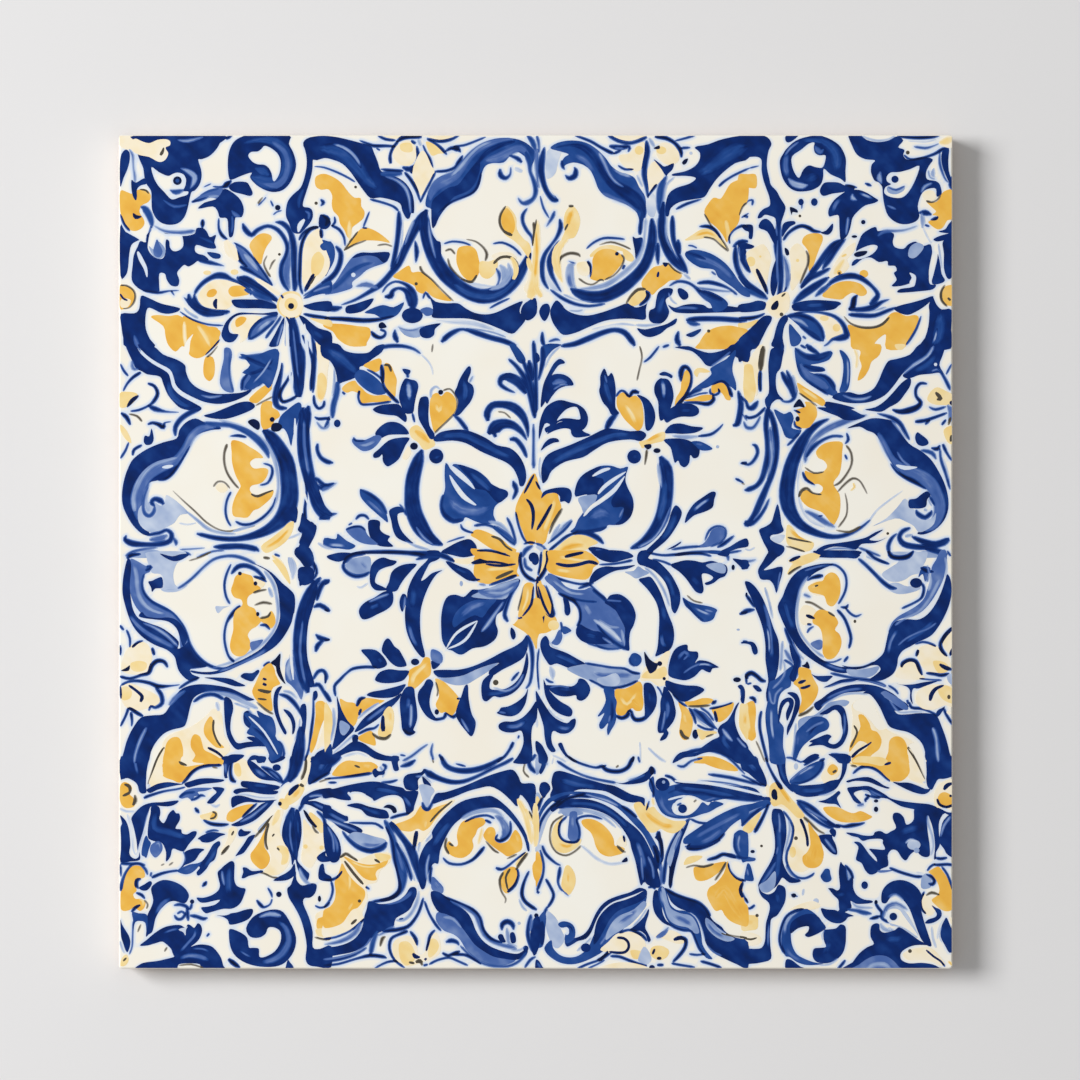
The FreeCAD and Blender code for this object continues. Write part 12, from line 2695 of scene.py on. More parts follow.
# %% Below right of the centre: flower stem and big leaf
painting.append("""
yf 75 69.8, 75.8 70, 76.2 68.8, 76.6 67, 77 65.2, 77.8 63.8, 78.6 63.2, 78.8 62, 78 61, 76.8 60.4,
75.6 60.2, 75 59
ew 76 68 .6, 76.4 65.8
nd 74.9 73.6 .7 1
ls 75.9 74.6 .6, 76 72.8, 75.6 71.2 .5
ef 76.3 75.2, 77.2 75.2, 77 73, 76.4 71.4, 75.8 70.6, 75.6 71.8, 76.2 73.4
ks 77 75.2 .5, 77.2 73.4 .6, 76.6 71.6, 75.8 70.4 .7, 75 69.7
ks 76 75 .4, 75.8 72.6, 75.4 70.8
yf 77.2 75.2, 80 75.2, 84 75.2, 86.4 73.2, 85.4 72.2, 85 71, 84 70, 81.6 70.2, 79.4 70.6, 77.6 71.2,
76.9 72.2, 77.3 73.6
ew 79 74.2 .9, 82 73.6 .7, 85 73.4 .6
ew 78.6 71.8 .8, 81.4 71.4
ks 78.6 72.9 .4, 80.6 72.5 .5, 82.6 72.7, 84.6 73.2, 86.2 72.8 .5
ks 80.2 74.1 .5, 81.8 74.5, 83.6 74.9 .4
ks 77.2 71 .5, 79 70.2, 81 69.6 .4, 83 69.2, 84.6 69.4
ks 75.3 69.8 .5, 75.4 67.6, 76 65.6, 77 64.2 .6, 77.8 63.5, 78.2 63.9, 77.8 65.4 .5, 77.2 67.2,
76.4 69 .4
ks 76.4 63.8 .4, 76.2 62.4, 75.6 61
yf 75 64, 76 63.6, 76.4 62, 75.8 60.8, 75 60
ed 78.2 61.8 1 .9
nf 85.2 75.2, 86 74, 87.4 73.3, 89 73.1, 91 73.6, 92.6 74.2, 90.6 75.2
ks 86.4 72.7 .3, 88.6 72.8 .4, 90.6 73.1, 92.4 73.5 .5
nf 84.6 69.6, 85 70.8, 86 71.9, 87.6 72.4, 89.4 72.3, 91.4 72.5, 92.9 72.6, 91.4 71.9, 89.4 71.6,
87.6 70.8, 86 69.8, 85 69.3
lf 91 71.4, 92.6 71.6, 93.4 72.4, 94.4 71.8, 95.4 71.2, 94.2 70.6, 93 70.2, 92 70.8
ns 82.6 68.4 .4, 84.2 69 .6, 85.4 69.5
nf 93.2 74, 93.9 75.2, 96.2 75.2, 95.2 73.9, 96.8 73.4, 98.2 72.2, 99.4 70.8, 100.2 69.4, 100.9 67.8,
101 66.2, 100.6 64.8, 100 63.9, 99.4 64.8, 99.2 66.6, 98.8 68.2, 98.2 69.6, 97.2 70.8, 96 71.8,
94.6 72.4, 93.5 72.8
bw 98 71 .9, 99.2 69.2 1, 99.8 66.6
ls 94.6 72.2 .5, 96.2 70.8, 97.4 69.2, 98.4 67.2, 99 65.2 .4
nf 93.5 70, 94.6 70.4, 95.6 70.5, 96.4 69.6, 97.2 68.2, 97.8 66.8, 98.4 65, 99 63.4, 99.7 61.6,
99.9 59.8, 99.6 58.2, 98.9 57.2, 97.6 56.6, 96.5 56.2, 96.8 57.4, 97 58.8, 97.1 60.6, 97.2 62.6,
97.1 64.4, 96.6 66, 95.6 67.6, 94.6 68.8
mw 97.6 60.4 .8, 97.8 58.6 .9, 98.6 57.8
bw 97.8 65.4 .8, 98.2 62.8 1
ks 95 74.9 .4, 97.6 74.4, 100 74.5 .5, 102.6 74.7, 105 74.6 .4, 106.6 74.2
ks 96 73.7 .3, 98 73.2 .4, 99.4 72.6
nf 99.2 72.6, 100.6 73.2, 102 73.5, 103.6 73.4, 105 73.1, 106.6 73.4, 108 73, 109.2 72.6, 109.5 71.6,
109 70.6, 108 70.2, 107 69.4, 105.8 69, 105.4 69.4, 106.4 69.8, 106.9 70.4, 106 71, 104.9 71, 105 69.6,
105.2 68.2, 104.8 67.5, 103.8 67.8, 103 68.8, 102 70.2, 100.8 71.4
lf 105.6 72.6, 107 73, 108.4 73, 109.2 72.2, 109 71.2, 108 71.2, 106.6 71.8
bw 103 70.4 1, 104.4 69
bs 106 75 .5, 108 74.9 .6, 109.4 74.4, 109.6 73.4
nf 109.2 75.2, 110 75.2, 109.6 74.2, 108.6 74.2, 107.6 74.6
nf 110.4 73.8, 112 73.6, 113.2 73.4, 113.2 72, 112.2 72, 111.2 72.9
kd 110.5 72.2 .3 .5
bf 101.4 66.8, 102.4 66.2, 103.6 65.7, 105.2 65.4, 106.6 65.1, 107.6 64.6, 107.4 64, 107 63, 106.2 62.5,
105 62.4, 104 63.2, 102.8 64.4, 101.8 65.4
lw 103.4 65 .5, 105 64.2 .6, 106.6 63.6
ls 105.4 64.6 .3, 106.8 64.2
os 102.2 67.2 .3, 103.4 66.2, 105 65.8
ns 101.6 66.6 .4, 102.6 65.1, 104 63.5, 105.2 62.6
ks 111.6 63.8 .6, 113.1 64.2
kd 112.9 67.3 .2 .4
ks 112.2 58.9 .6, 113.1 58.8
gd 111.4 61 .3 .2
mf 76.6 70.4, 77.8 71, 79.2 70, 80.4 68.8, 82 68.2, 83.8 68.2, 84.8 68.6, 86 67.8, 87.2 67, 88 66.2,
88.8 66.7, 90.4 66.9, 91.8 66.2, 92.6 64.8, 92.9 63.2, 92.6 61.8, 92 60.6, 91.8 59, 91.8 57.2,
90.6 57.6, 88.6 57.6, 86.6 57.6, 85.6 58.4, 84 58.6, 82.6 59.6, 82.2 61, 82.8 62.2, 83 63.8, 82.8 65.4,
82 66.2, 80.6 66.8, 79.2 67.6, 78 68.8, 77 69.6
lw 78 70 .7, 79.4 68.8, 81.4 67.6, 84 67.4 .6
lw 83.8 65.6 1, 85 63.4 1
nf 87.8 66.4, 88.4 67.2, 90 67.4, 91.4 66.6, 92.4 65.4, 93 63.6, 92.6 61.8, 92 60.6, 91.8 58.8,
91.8 57.2, 90.6 58, 91 60, 91 61.4, 90.2 63, 89.4 64.4, 88.4 65.2, 87.4 65.8
nf 82.2 60.6, 82.8 62, 84 61.4, 85.4 60.8, 86.6 60.6, 88 59.4, 89.2 58.6, 87.4 58.4, 85.4 58.4,
83.6 58.8, 82.6 59.6
bw 84 60.2 1.2, 86 59.6 1
ns 85.2 68.2 .5, 86.6 67.1, 88.2 65.8 .6, 89.6 64.6 .5
ns 84.6 69.2 .4, 86 67.9, 87.6 66.6
ks 79 67.6 .4, 80.6 66.8 .7, 82 66 .6, 82.9 64.6 .5, 83 62.8, 82.4 61.6
ns 81 66.8 .4, 83.4 66.2, 86 66
ps 85.4 62.8 .3, 87 61.8 .7, 88.8 60.4 .8, 90.4 58.8 .4
ls 86.4 62.8 .3, 88.2 61.6 .4, 90 61.4 .3
ls 90.4 61 .4, 90.8 59.4 .5, 90.9 58
ns 86 62 .4, 87.2 60.4 .6, 88.8 59, 90.4 57.9, 91.6 57.4
ls 87 59.6 .4, 88.8 58.4 .5
ns 84.2 58.6 .4, 86.2 58, 88 57.5, 90.4 57.6 .3
ls 87.8 66.3 .3, 89.2 66.2, 90.4 66.1
nf 79.9 66.8, 80.8 66.4, 81.2 65, 81.2 64, 80.7 63.5, 80.2 64, 80.1 65.4
bw 80.7 65.2 .6, 80.7 64
ks 79.5 62.4 .4, 79.7 61.2, 79.4 60.2
bf 79.6 61.4, 80.4 61.6, 81.4 60.9, 81 60.5, 80 60.2
mf 79.2 61, 79.8 60, 79.5 58.8, 78.8 58.2, 77.8 58.6, 78.4 59.4
nf 75.8 58, 76 59.2, 76.8 59.9, 77.4 59, 77.6 58, 79 57.4, 80.6 56.8, 82.4 55.8, 84 54.8, 83.6 53.8,
82.4 53.6, 80.6 54.2, 78.8 54.9, 77.6 54.6, 76.9 55.4, 76.2 56.6
bw 78.4 56.6 1, 80.8 55.6, 82.6 54.6
ls 77.4 59 .3, 78 58, 79 57.6
lf 80.6 54, 82.6 54.6, 84.6 54.8, 87 54.2, 89.4 53.9, 91.2 53.9, 93 53.4, 93.8 52.8, 93.4 52, 91.4 51.4,
89.4 50.6, 87.4 50.6, 85.6 51.4, 83.8 52.2, 82 53
mw 85.4 53.4 1, 87 52.8, 90.6 52.8 1.2, 92.6 52.6
gf 86 52.2, 87.6 52.6, 89.4 53.2, 90.2 52, 89.6 51, 88 50.8, 86.6 51.2
ks 83.8 55 .4, 86.2 54.6, 88.6 54.2, 91 54, 92.4 53.3 .5, 93.8 53.1
ks 84.6 52 .4, 86.2 51.2, 87.4 50.6 .5, 89.4 50.5, 91.4 51, 93.4 51.8
bf 91.8 55.6, 92.2 56.6, 93 56.8, 93.9 56.2, 94 55.2, 93.2 54.4, 92.2 54.7
lw 92.8 56 .6, 93 55.2
ns 91.9 56 .4, 92 55, 92.8 54.4
cf 94.2 53.4, 95 54.6, 96.8 55.6, 98.4 57, 99.2 57, 98.8 55.4, 98.6 53.8, 98.9 52.4, 98.4 51.2, 97 50.8,
95.6 51.8, 94 51.8, 93.8 52.6
yw 94.4 52.8 .8, 96 52.6 1, 98 53.6
ef 94 52.4, 95 53.6, 96.6 53.8, 98.2 54.4, 98.6 53, 97.6 52.2, 95.6 52.2
kf 94.5 57, 95 56.4, 95.6 55.6, 96.6 55, 97.2 55.2, 97.7 55, 97 54.6, 96.6 53.7, 95.6 53.1, 95.1 53.8,
94.7 55
kd 97.3 54.9 .45
kd 98.1 52.2 .3
nf 98.8 53.2, 99 55, 99.6 56.8, 100.4 57.8, 101.6 58.3, 102.3 58.2, 102.4 57.3, 103.2 57.1, 104.1 57,
104.2 56, 103.6 55, 104.4 55.5, 106 55.3, 107.4 54.6, 107.9 54.2, 106.8 54, 106.4 53.3, 105.6 53.5,
104.8 53.8, 103.6 52.6, 102 51.9, 100.4 52.1, 99.2 52.5
mw 100.4 55.6 1, 101.8 57 .9, 102.8 55.8 1
lw 103.4 54.6 .5, 105.4 54.8 .6, 107 54.4 .5
ls 101.6 53.2 .3, 103 54.2, 104.6 54.9
ls 101.6 55.6 .3, 102.4 56.4
nf 98.4 51.9, 100 51.4, 102 51, 104 50.9, 105.3 50.3, 104.8 49.6, 103.4 48.8, 101.8 48, 100.4 48.6,
99.2 49.8, 98.4 50.6
bw 102.4 50.2 .9, 104 50
kd 111.2 52 .7 .45
nf 111.3 50.8, 112 51.1, 112.6 50.2, 112.6 48.6, 112.3 47.6, 111.8 48.4, 112 49.8
ks 112.8 53 .4, 112.9 51.2
yf 93.6 51.7, 92.4 51, 91 50.4, 89.4 50.3, 89.2 49.2, 89.6 48, 89.4 46.6, 89.8 45.6, 90.8 45.6,
91.6 46.2, 92.3 46.9, 93 46.4, 94 46.5, 94.4 47.8, 94.2 49.4, 94.2 50.8
ew 90.2 49 .8, 91.4 47.6, 93.2 49.6 .7
yw 93.4 47.4 1, 92.4 48.4
ks 89.3 45.6 .6, 90.4 45.1, 91.4 45.5 .7, 92 46.4 .6, 92.4 45.4, 93 44.8 .7, 94.2 44.9, 95.4 45.7 .6
nf 94.5 51.3, 95.6 51.4, 96.4 50.4, 96.8 48.8, 96.6 47.2, 95.8 45.8, 94.6 44.8, 94.6 46.2, 94.5 48,
94.4 49.8
bw 95.4 50 .7, 95.6 48
ks 96.8 50.8 .3, 97.4 50, 97.8 49
nf 98.1 50.8, 98.9 50, 99.6 48.8, 100 47.4, 100.2 46, 99.8 44.6, 99 43.5, 98.6 43, 98.9 42.4, 98.4 41.4,
97.4 41, 97.5 41.6, 98 42.4, 97.2 42.4, 96.9 43, 97 44.4, 97.4 46.2, 97.4 48, 97.8 49.6
mw 98.6 48.4 .9, 98.8 46.4 1, 98.2 44.6 .8
ls 98.3 46.4 .4, 98 44.4, 97.6 42.8 .3
bf 87.2 50.6, 89 50.4, 89.2 49, 89.6 48, 89.4 46.6, 89.5 45.2, 89.2 44, 88.6 43, 88 42, 87.8 43,
88 44.2, 87.2 43.3, 86.6 43.2, 86.4 44, 87 45.2, 87.3 46, 86.4 45.4, 86.2 45.6, 87 46.8, 87.6 48.4
nw 88.6 48.6 .7, 88.8 46.4 .8, 88.4 44.2 .6
ls 88.4 45.6 .3, 88.1 44.4
nf 76.8 51, 78 51, 79.6 51, 81.4 50.8, 82.4 51.4, 82.8 52.2, 83.8 52, 84.6 51, 84.8 50, 84.2 48.8,
83.2 48.2, 82.4 48.5, 82.2 49.2, 81 49, 79.6 49, 78.4 49.4, 77.4 50.2
bw 79 50.4 .7, 81.4 50.2
ls 77.6 50.6 .3, 79.2 50.9, 81 50.6
gs 77.6 54.4 .8, 78 53.2 .9, 78 52 .5
ks 76.8 52.2 .4, 77.4 51.7, 78.2 51.5
nf 76.4 52, 76.8 51.2, 77.4 50.2, 78.4 49, 79.6 48, 81 47.2, 81.6 46.4, 81.4 45.5, 80.6 45.4, 79.2 45.9,
78 46.8, 77.2 48, 76.6 49.6
nf 75 50, 75.8 48.8, 76.8 47.2, 77.8 45.8, 79 44.8, 80.6 44.2, 81.4 44.8, 82.1 45, 82.2 44.2, 81.8 43.2,
80.8 42.4, 79.4 42.3, 78.2 42.8, 77.8 41.8, 78 40.4, 78.6 39.2, 77.8 39, 77 40, 76.6 41.6, 76.4 43.6,
75.8 45.6, 75.2 47.4
mw 78.8 43.6 .8, 80.4 43.2 .9, 81.4 43.6 .7
ls 77.2 46.8 .3, 78.4 45.4, 80 44.6
ls 75.2 57 .4, 75.4 54, 75.4 51.6
ks 75.6 57.6 .3, 75.3 55, 75.4 52.4, 75.6 50.2
gs 75.2 45 .4, 75.2 43.4
nf 75 41, 76 40.4, 76.6 39.4, 77.2 38, 76.9 37, 75.6 37, 75.4 38.4, 75 39.4
ls 75.2 38.8 .4, 75.4 37.4
nf 79 40.4, 79.6 40.7, 79.9 40.2, 80.4 39, 81.2 37.9, 80.4 38.2, 79.6 39.2
ks 80.6 38.4 .4, 81.6 37.6, 82.4 37.2
gs 78 38.4 .4, 79.4 37.8, 80.4 37.2
gs 93.7 40.8 .3, 93.8 39, 93.7 37.2 .4
ks 92.6 38.2 .6, 92.3 37.2
gs 95.2 39.8 .4, 96.2 38.8, 97.4 37.8 .5, 98.4 37.2
nf 99.6 37, 100 38, 101 38.9, 102.8 39.3, 104.4 39.6, 105.6 40.4, 106.8 41.2, 108 41.8, 107.7 42.8,
108.2 43.8, 109.4 44.6, 110.2 45.8, 111 47.4, 111.6 47.9, 111 46.4, 110.8 44.8, 111.2 43, 112 41.4,
113.2 40, 113.2 37, 111.2 37, 110 37.9, 108.4 38.6, 107 39, 105.2 38.8, 103.6 38.2, 101.8 38, 100.6 37.4
bw 109.4 42.6 1, 108.8 41, 110 39.4
mw 103 38.8 .5, 105 39.4
ls 108.6 43.2 .6, 109.4 42 .7, 110.4 40.9 .4
gs 111.2 41.6 .4, 112 40.6, 112.8 39.8
yf 101.8 48, 103.4 48.2, 105 48.7, 106.6 48.6, 107 48, 105.6 47.5, 103.8 47.2, 102.4 47.3
ks 106.6 47.6 .5, 107.2 48 .7, 107.5 48.3 .4
os 102.2 47.2 .3, 104.4 47.2 .4, 106.4 47.4
yf 106.6 46.8, 108 47.2, 109.6 47.6, 110.6 47.9, 110.4 46.6, 109.6 45.4, 108.6 44.6, 107.8 44.4,
107.2 45.4
ks 106.2 46.8 .4, 107.4 47, 109 47.4 .3, 110.4 47.9
ks 107.2 46.4 .4, 107.4 45.2 .5, 107.6 44.4
mf 102.4 46.9, 103.6 46.6, 105.2 46.2, 106.4 45, 107.2 43.8, 107.8 43, 106.6 43.4, 105.2 44.2,
103.8 45.2
ns 103.4 46.8 .5, 104.8 45.6 .7, 106 44.2 .6, 107.2 43.2
ns 104.6 47 .4, 106 46, 107 44.6
ls 103 46 .3, 104.4 44.6 .4, 106 43.4 .3
yf 100.6 48, 101.6 47.4, 102.6 46.4, 103.2 45, 103.2 43.6, 102.8 42, 102.2 41.2, 101.4 41.3, 100.8 42.4,
101 44.2, 101.2 46
ew 101.6 46 .7, 102 44
ks 99.6 49.4 .3, 101 48 .4, 102.2 47.2
ks 102.6 46.9 .4, 103.4 45.4 .5, 103.8 44 .4
os 101 43 .5, 101.6 41.8, 102.6 41.4
kd 103.7 42.2 .55 .85
ef 104 43.2, 105.4 42.8, 107 42.8, 107.6 42.4, 106.2 42, 105 41.2, 104.4 41.6
ks 104 43.9 .4, 105.4 43.2, 107 43
os 105.6 41.7 .3, 107 42.2
ef 111.8 47.6, 112.6 47.6, 113.2 47.2, 113.2 41.4, 112.4 42, 111.6 43.6, 111.6 45.6
yw 112.6 46 .8, 112.6 43.6
yf 103.4 37, 105.4 37.9, 107.4 37.8, 109.2 37
""")

# %% [markdown]
# ### Last touches
# A painter comes back to the whole face at the end and closes what is still open between the
# quarters. These strokes lie over everything else.

# %% Last leaves of the upper left rosette
painting.append("""
nf 28.4 118.2, 26 117.9, 23.4 118, 21.6 118, 20.2 117.3, 19.2 116.2, 18.6 114.8, 18.5 113.8, 19.2 112.8,
20.4 112.7, 21.2 113.4, 21.5 114.2, 20.6 114.2, 19.9 114.6, 19.8 115.8, 20.6 117, 21.8 117.6, 24 117.7,
26.4 117.6, 28.4 117.4
cf 20.2 116, 21.4 117.3, 23.4 117.5, 25.8 117.2, 24.4 115.6, 23.2 113.6, 21.8 112.6, 21.8 114,
20.6 114.4
yf 21 116.6, 22 117.3, 23 117, 22.4 116, 21.2 115.4
mf 23.4 113.2, 23.8 115, 25.2 116.4, 27 117.2, 28.6 117.4, 27.6 115.8, 26 114.6, 24.6 113.6
lw 24.8 114.6 .8, 26.2 115.8, 27.6 116.6
ns 23.4 113.1 .5, 23.8 114.8, 25.2 116.4, 27 117.3, 28.6 117.5 .4
ns 23.6 113.2 .5, 25.2 114.1, 26.8 115.4, 28 116.6 .4
nf 27 112, 28 114, 29 116, 29.8 117.2, 29.6 115, 29 113, 28.6 112
ns 26.4 113.4 .5, 27.4 114.8, 28.6 116.4, 29.2 117.4
ls 28.4 112 .4, 29 114, 29.6 116
nf 30 117.4, 31 116.6, 31.8 115.6, 32.2 114, 32.4 112, 30.6 112, 30.8 114, 30.6 115.8
bw 31.2 115.4 .8, 31.6 113.4
ls 30 116.6 .4, 30.2 114.4 .5, 30 112
ks 33 114 .5, 33.6 113 .6, 34 112
nf 32.4 117.4, 33.4 117.2, 34.6 116.2, 36 115.2, 38.2 114.4, 38.2 112, 36.4 112, 35 113.4, 33.8 115
bw 35 114.6 .8, 36.8 113.4
ef 34.4 116.9, 36 116.2, 38.2 115.4, 38.2 116.6, 36.4 116.8, 35 117.1
ks 33.2 117.8 .4, 35 117.4 .6, 38 117 .5
nf 33.2 119.2, 34.2 119.6, 36 120, 38.2 120, 38.2 118.3, 36.4 118.3, 34.6 118.5
bf 33.2 120.6, 34.4 121.6, 36 122.8, 38.2 123.8, 38.2 121.6, 36.6 121.4, 35 121, 34 120.6
ls 35 121.8 .4, 36.6 122.4, 38 122.8
ns 33.2 121 .4, 34.8 122, 36.4 123.2, 38 124.1
cf 33.2 129.6, 34 131.6, 35.2 132.8, 36.2 133, 36.6 131, 37.4 129, 38 127, 37.4 125, 36 123.6,
34.6 122.4, 33.6 122.2, 33 124, 33 127
ef 34.8 128, 36 129, 37 127.6, 36.4 125.4, 35 124.4, 34.6 126
ks 33.4 121.8 .6, 34.2 123.2, 35.1 125 .5
os 34.4 123 .3, 35.4 124.6 .2
ks 32.4 131 .4, 33.2 132.4 .5, 34.6 133.2, 35.9 133.4
ks 36.4 133.2 .6, 36.5 131.4
bf 36.2 130, 36.8 130.6, 38.2 130.8, 38.2 129.6, 37.2 129.2, 36.6 129.3
ks 36.6 135.6 .6, 37.6 134.8 .8, 37.2 133.6
ks 36.3 138.4 .5, 36.8 137.8 .6, 36.3 137.2 .3
od 35.5 137.7 .3
""")

# %% Loop right of the middle at the bottom
painting.append("""
nf 78.4 29, 80 30.1, 82 30.6, 84.4 30.5, 86.8 29.8, 89 28.6, 91.2 26.8, 93.2 25.2, 94.6 23.4, 95.8 21,
96.6 18.8, 97.2 16.6, 97.4 14.8, 96 14.6, 94.6 15.6, 93.9 15, 93.4 17, 92.9 19.4, 92.2 21.6, 91.8 23.2,
90.6 25.2, 89 26.9, 87 28.1, 84.6 28.8, 82 29, 80 28.8
bw 81 29.8 .8, 84 29.7, 87 29, 89.6 27.4, 91.6 25.4 1
mw 93.2 23 1, 94 20.6 1.2, 94.6 18
ks 78.6 29 .4, 80.4 30.4, 82.6 31, 85 30.8 .3
ls 94 20.4 .4, 94.1 18.2, 94.3 16 .3
ls 95.2 20.2 .4, 96 18.2, 96.2 16.2
ns 94.9 18 .7, 95 16.2, 95.4 15.2
ls 79 28 .7, 80.4 28.6 .8, 82.4 28.6 .6, 85 28.1 .5, 87.4 27.1, 89.4 25.4 .4
lf 79.6 28.2, 81 28.7, 82.6 28.6, 83.6 28, 82.6 27.6, 81.4 27.6, 80.4 27.4
ef 79.8 27.2, 78.6 26.2, 77.9 24.6, 77.9 22.8, 78.6 21.4, 80 20.8, 81.4 21.2, 82.8 22.2, 83.2 23.4,
82 23.2, 80.6 23, 79.6 23.4, 79.2 24.8, 79.6 26.2
yw 79 22.6 .8, 80.6 22, 82 22.6
yf 83.2 26.6, 84.2 27, 85.6 26.8, 87 26, 88.2 24.8, 89 23.4, 89.2 22.2, 90.2 22, 91 21.6, 90.6 20.8,
89.4 20.4, 88 20.2, 86.6 20.8, 85.8 22, 85.4 23.4, 84.8 24.6, 83.6 25.6
cf 89.4 22.6, 90.4 24, 91.2 23.4, 91.2 22, 90 22.1
mf 81.2 28.2, 82.4 28.2, 82.5 26.6, 82.9 25, 82.6 23.4, 81.6 22.9, 80.8 23.6, 80.8 25, 81 26.8
lw 81.6 27.6 .6, 81.6 25.4
os 80 27.6 .35, 78.2 26.4, 77.6 24.6, 77.7 22.6, 78.7 21, 80.4 20.4, 82 21.1, 83.2 22.2
ks 80.6 27.4 .4, 79.4 26.2, 79.2 24.4, 79.8 23.3, 81 22.8, 82.4 22.9, 82.9 24, 82.8 25.4, 82.4 26.8,
83.4 27.4, 85 27.5, 87 26.9 .3
gs 83.2 22.2 .5, 84.4 21.2, 86 19.8, 88 18.9, 90 19, 91.4 19.3 .4
kf 90.4 19.2, 91.3 20.1, 91.5 19.3
os 89.6 22.2 .4, 90.6 21.2, 91.2 21
ks 90.8 24 .4, 91 22.8 .3
""")

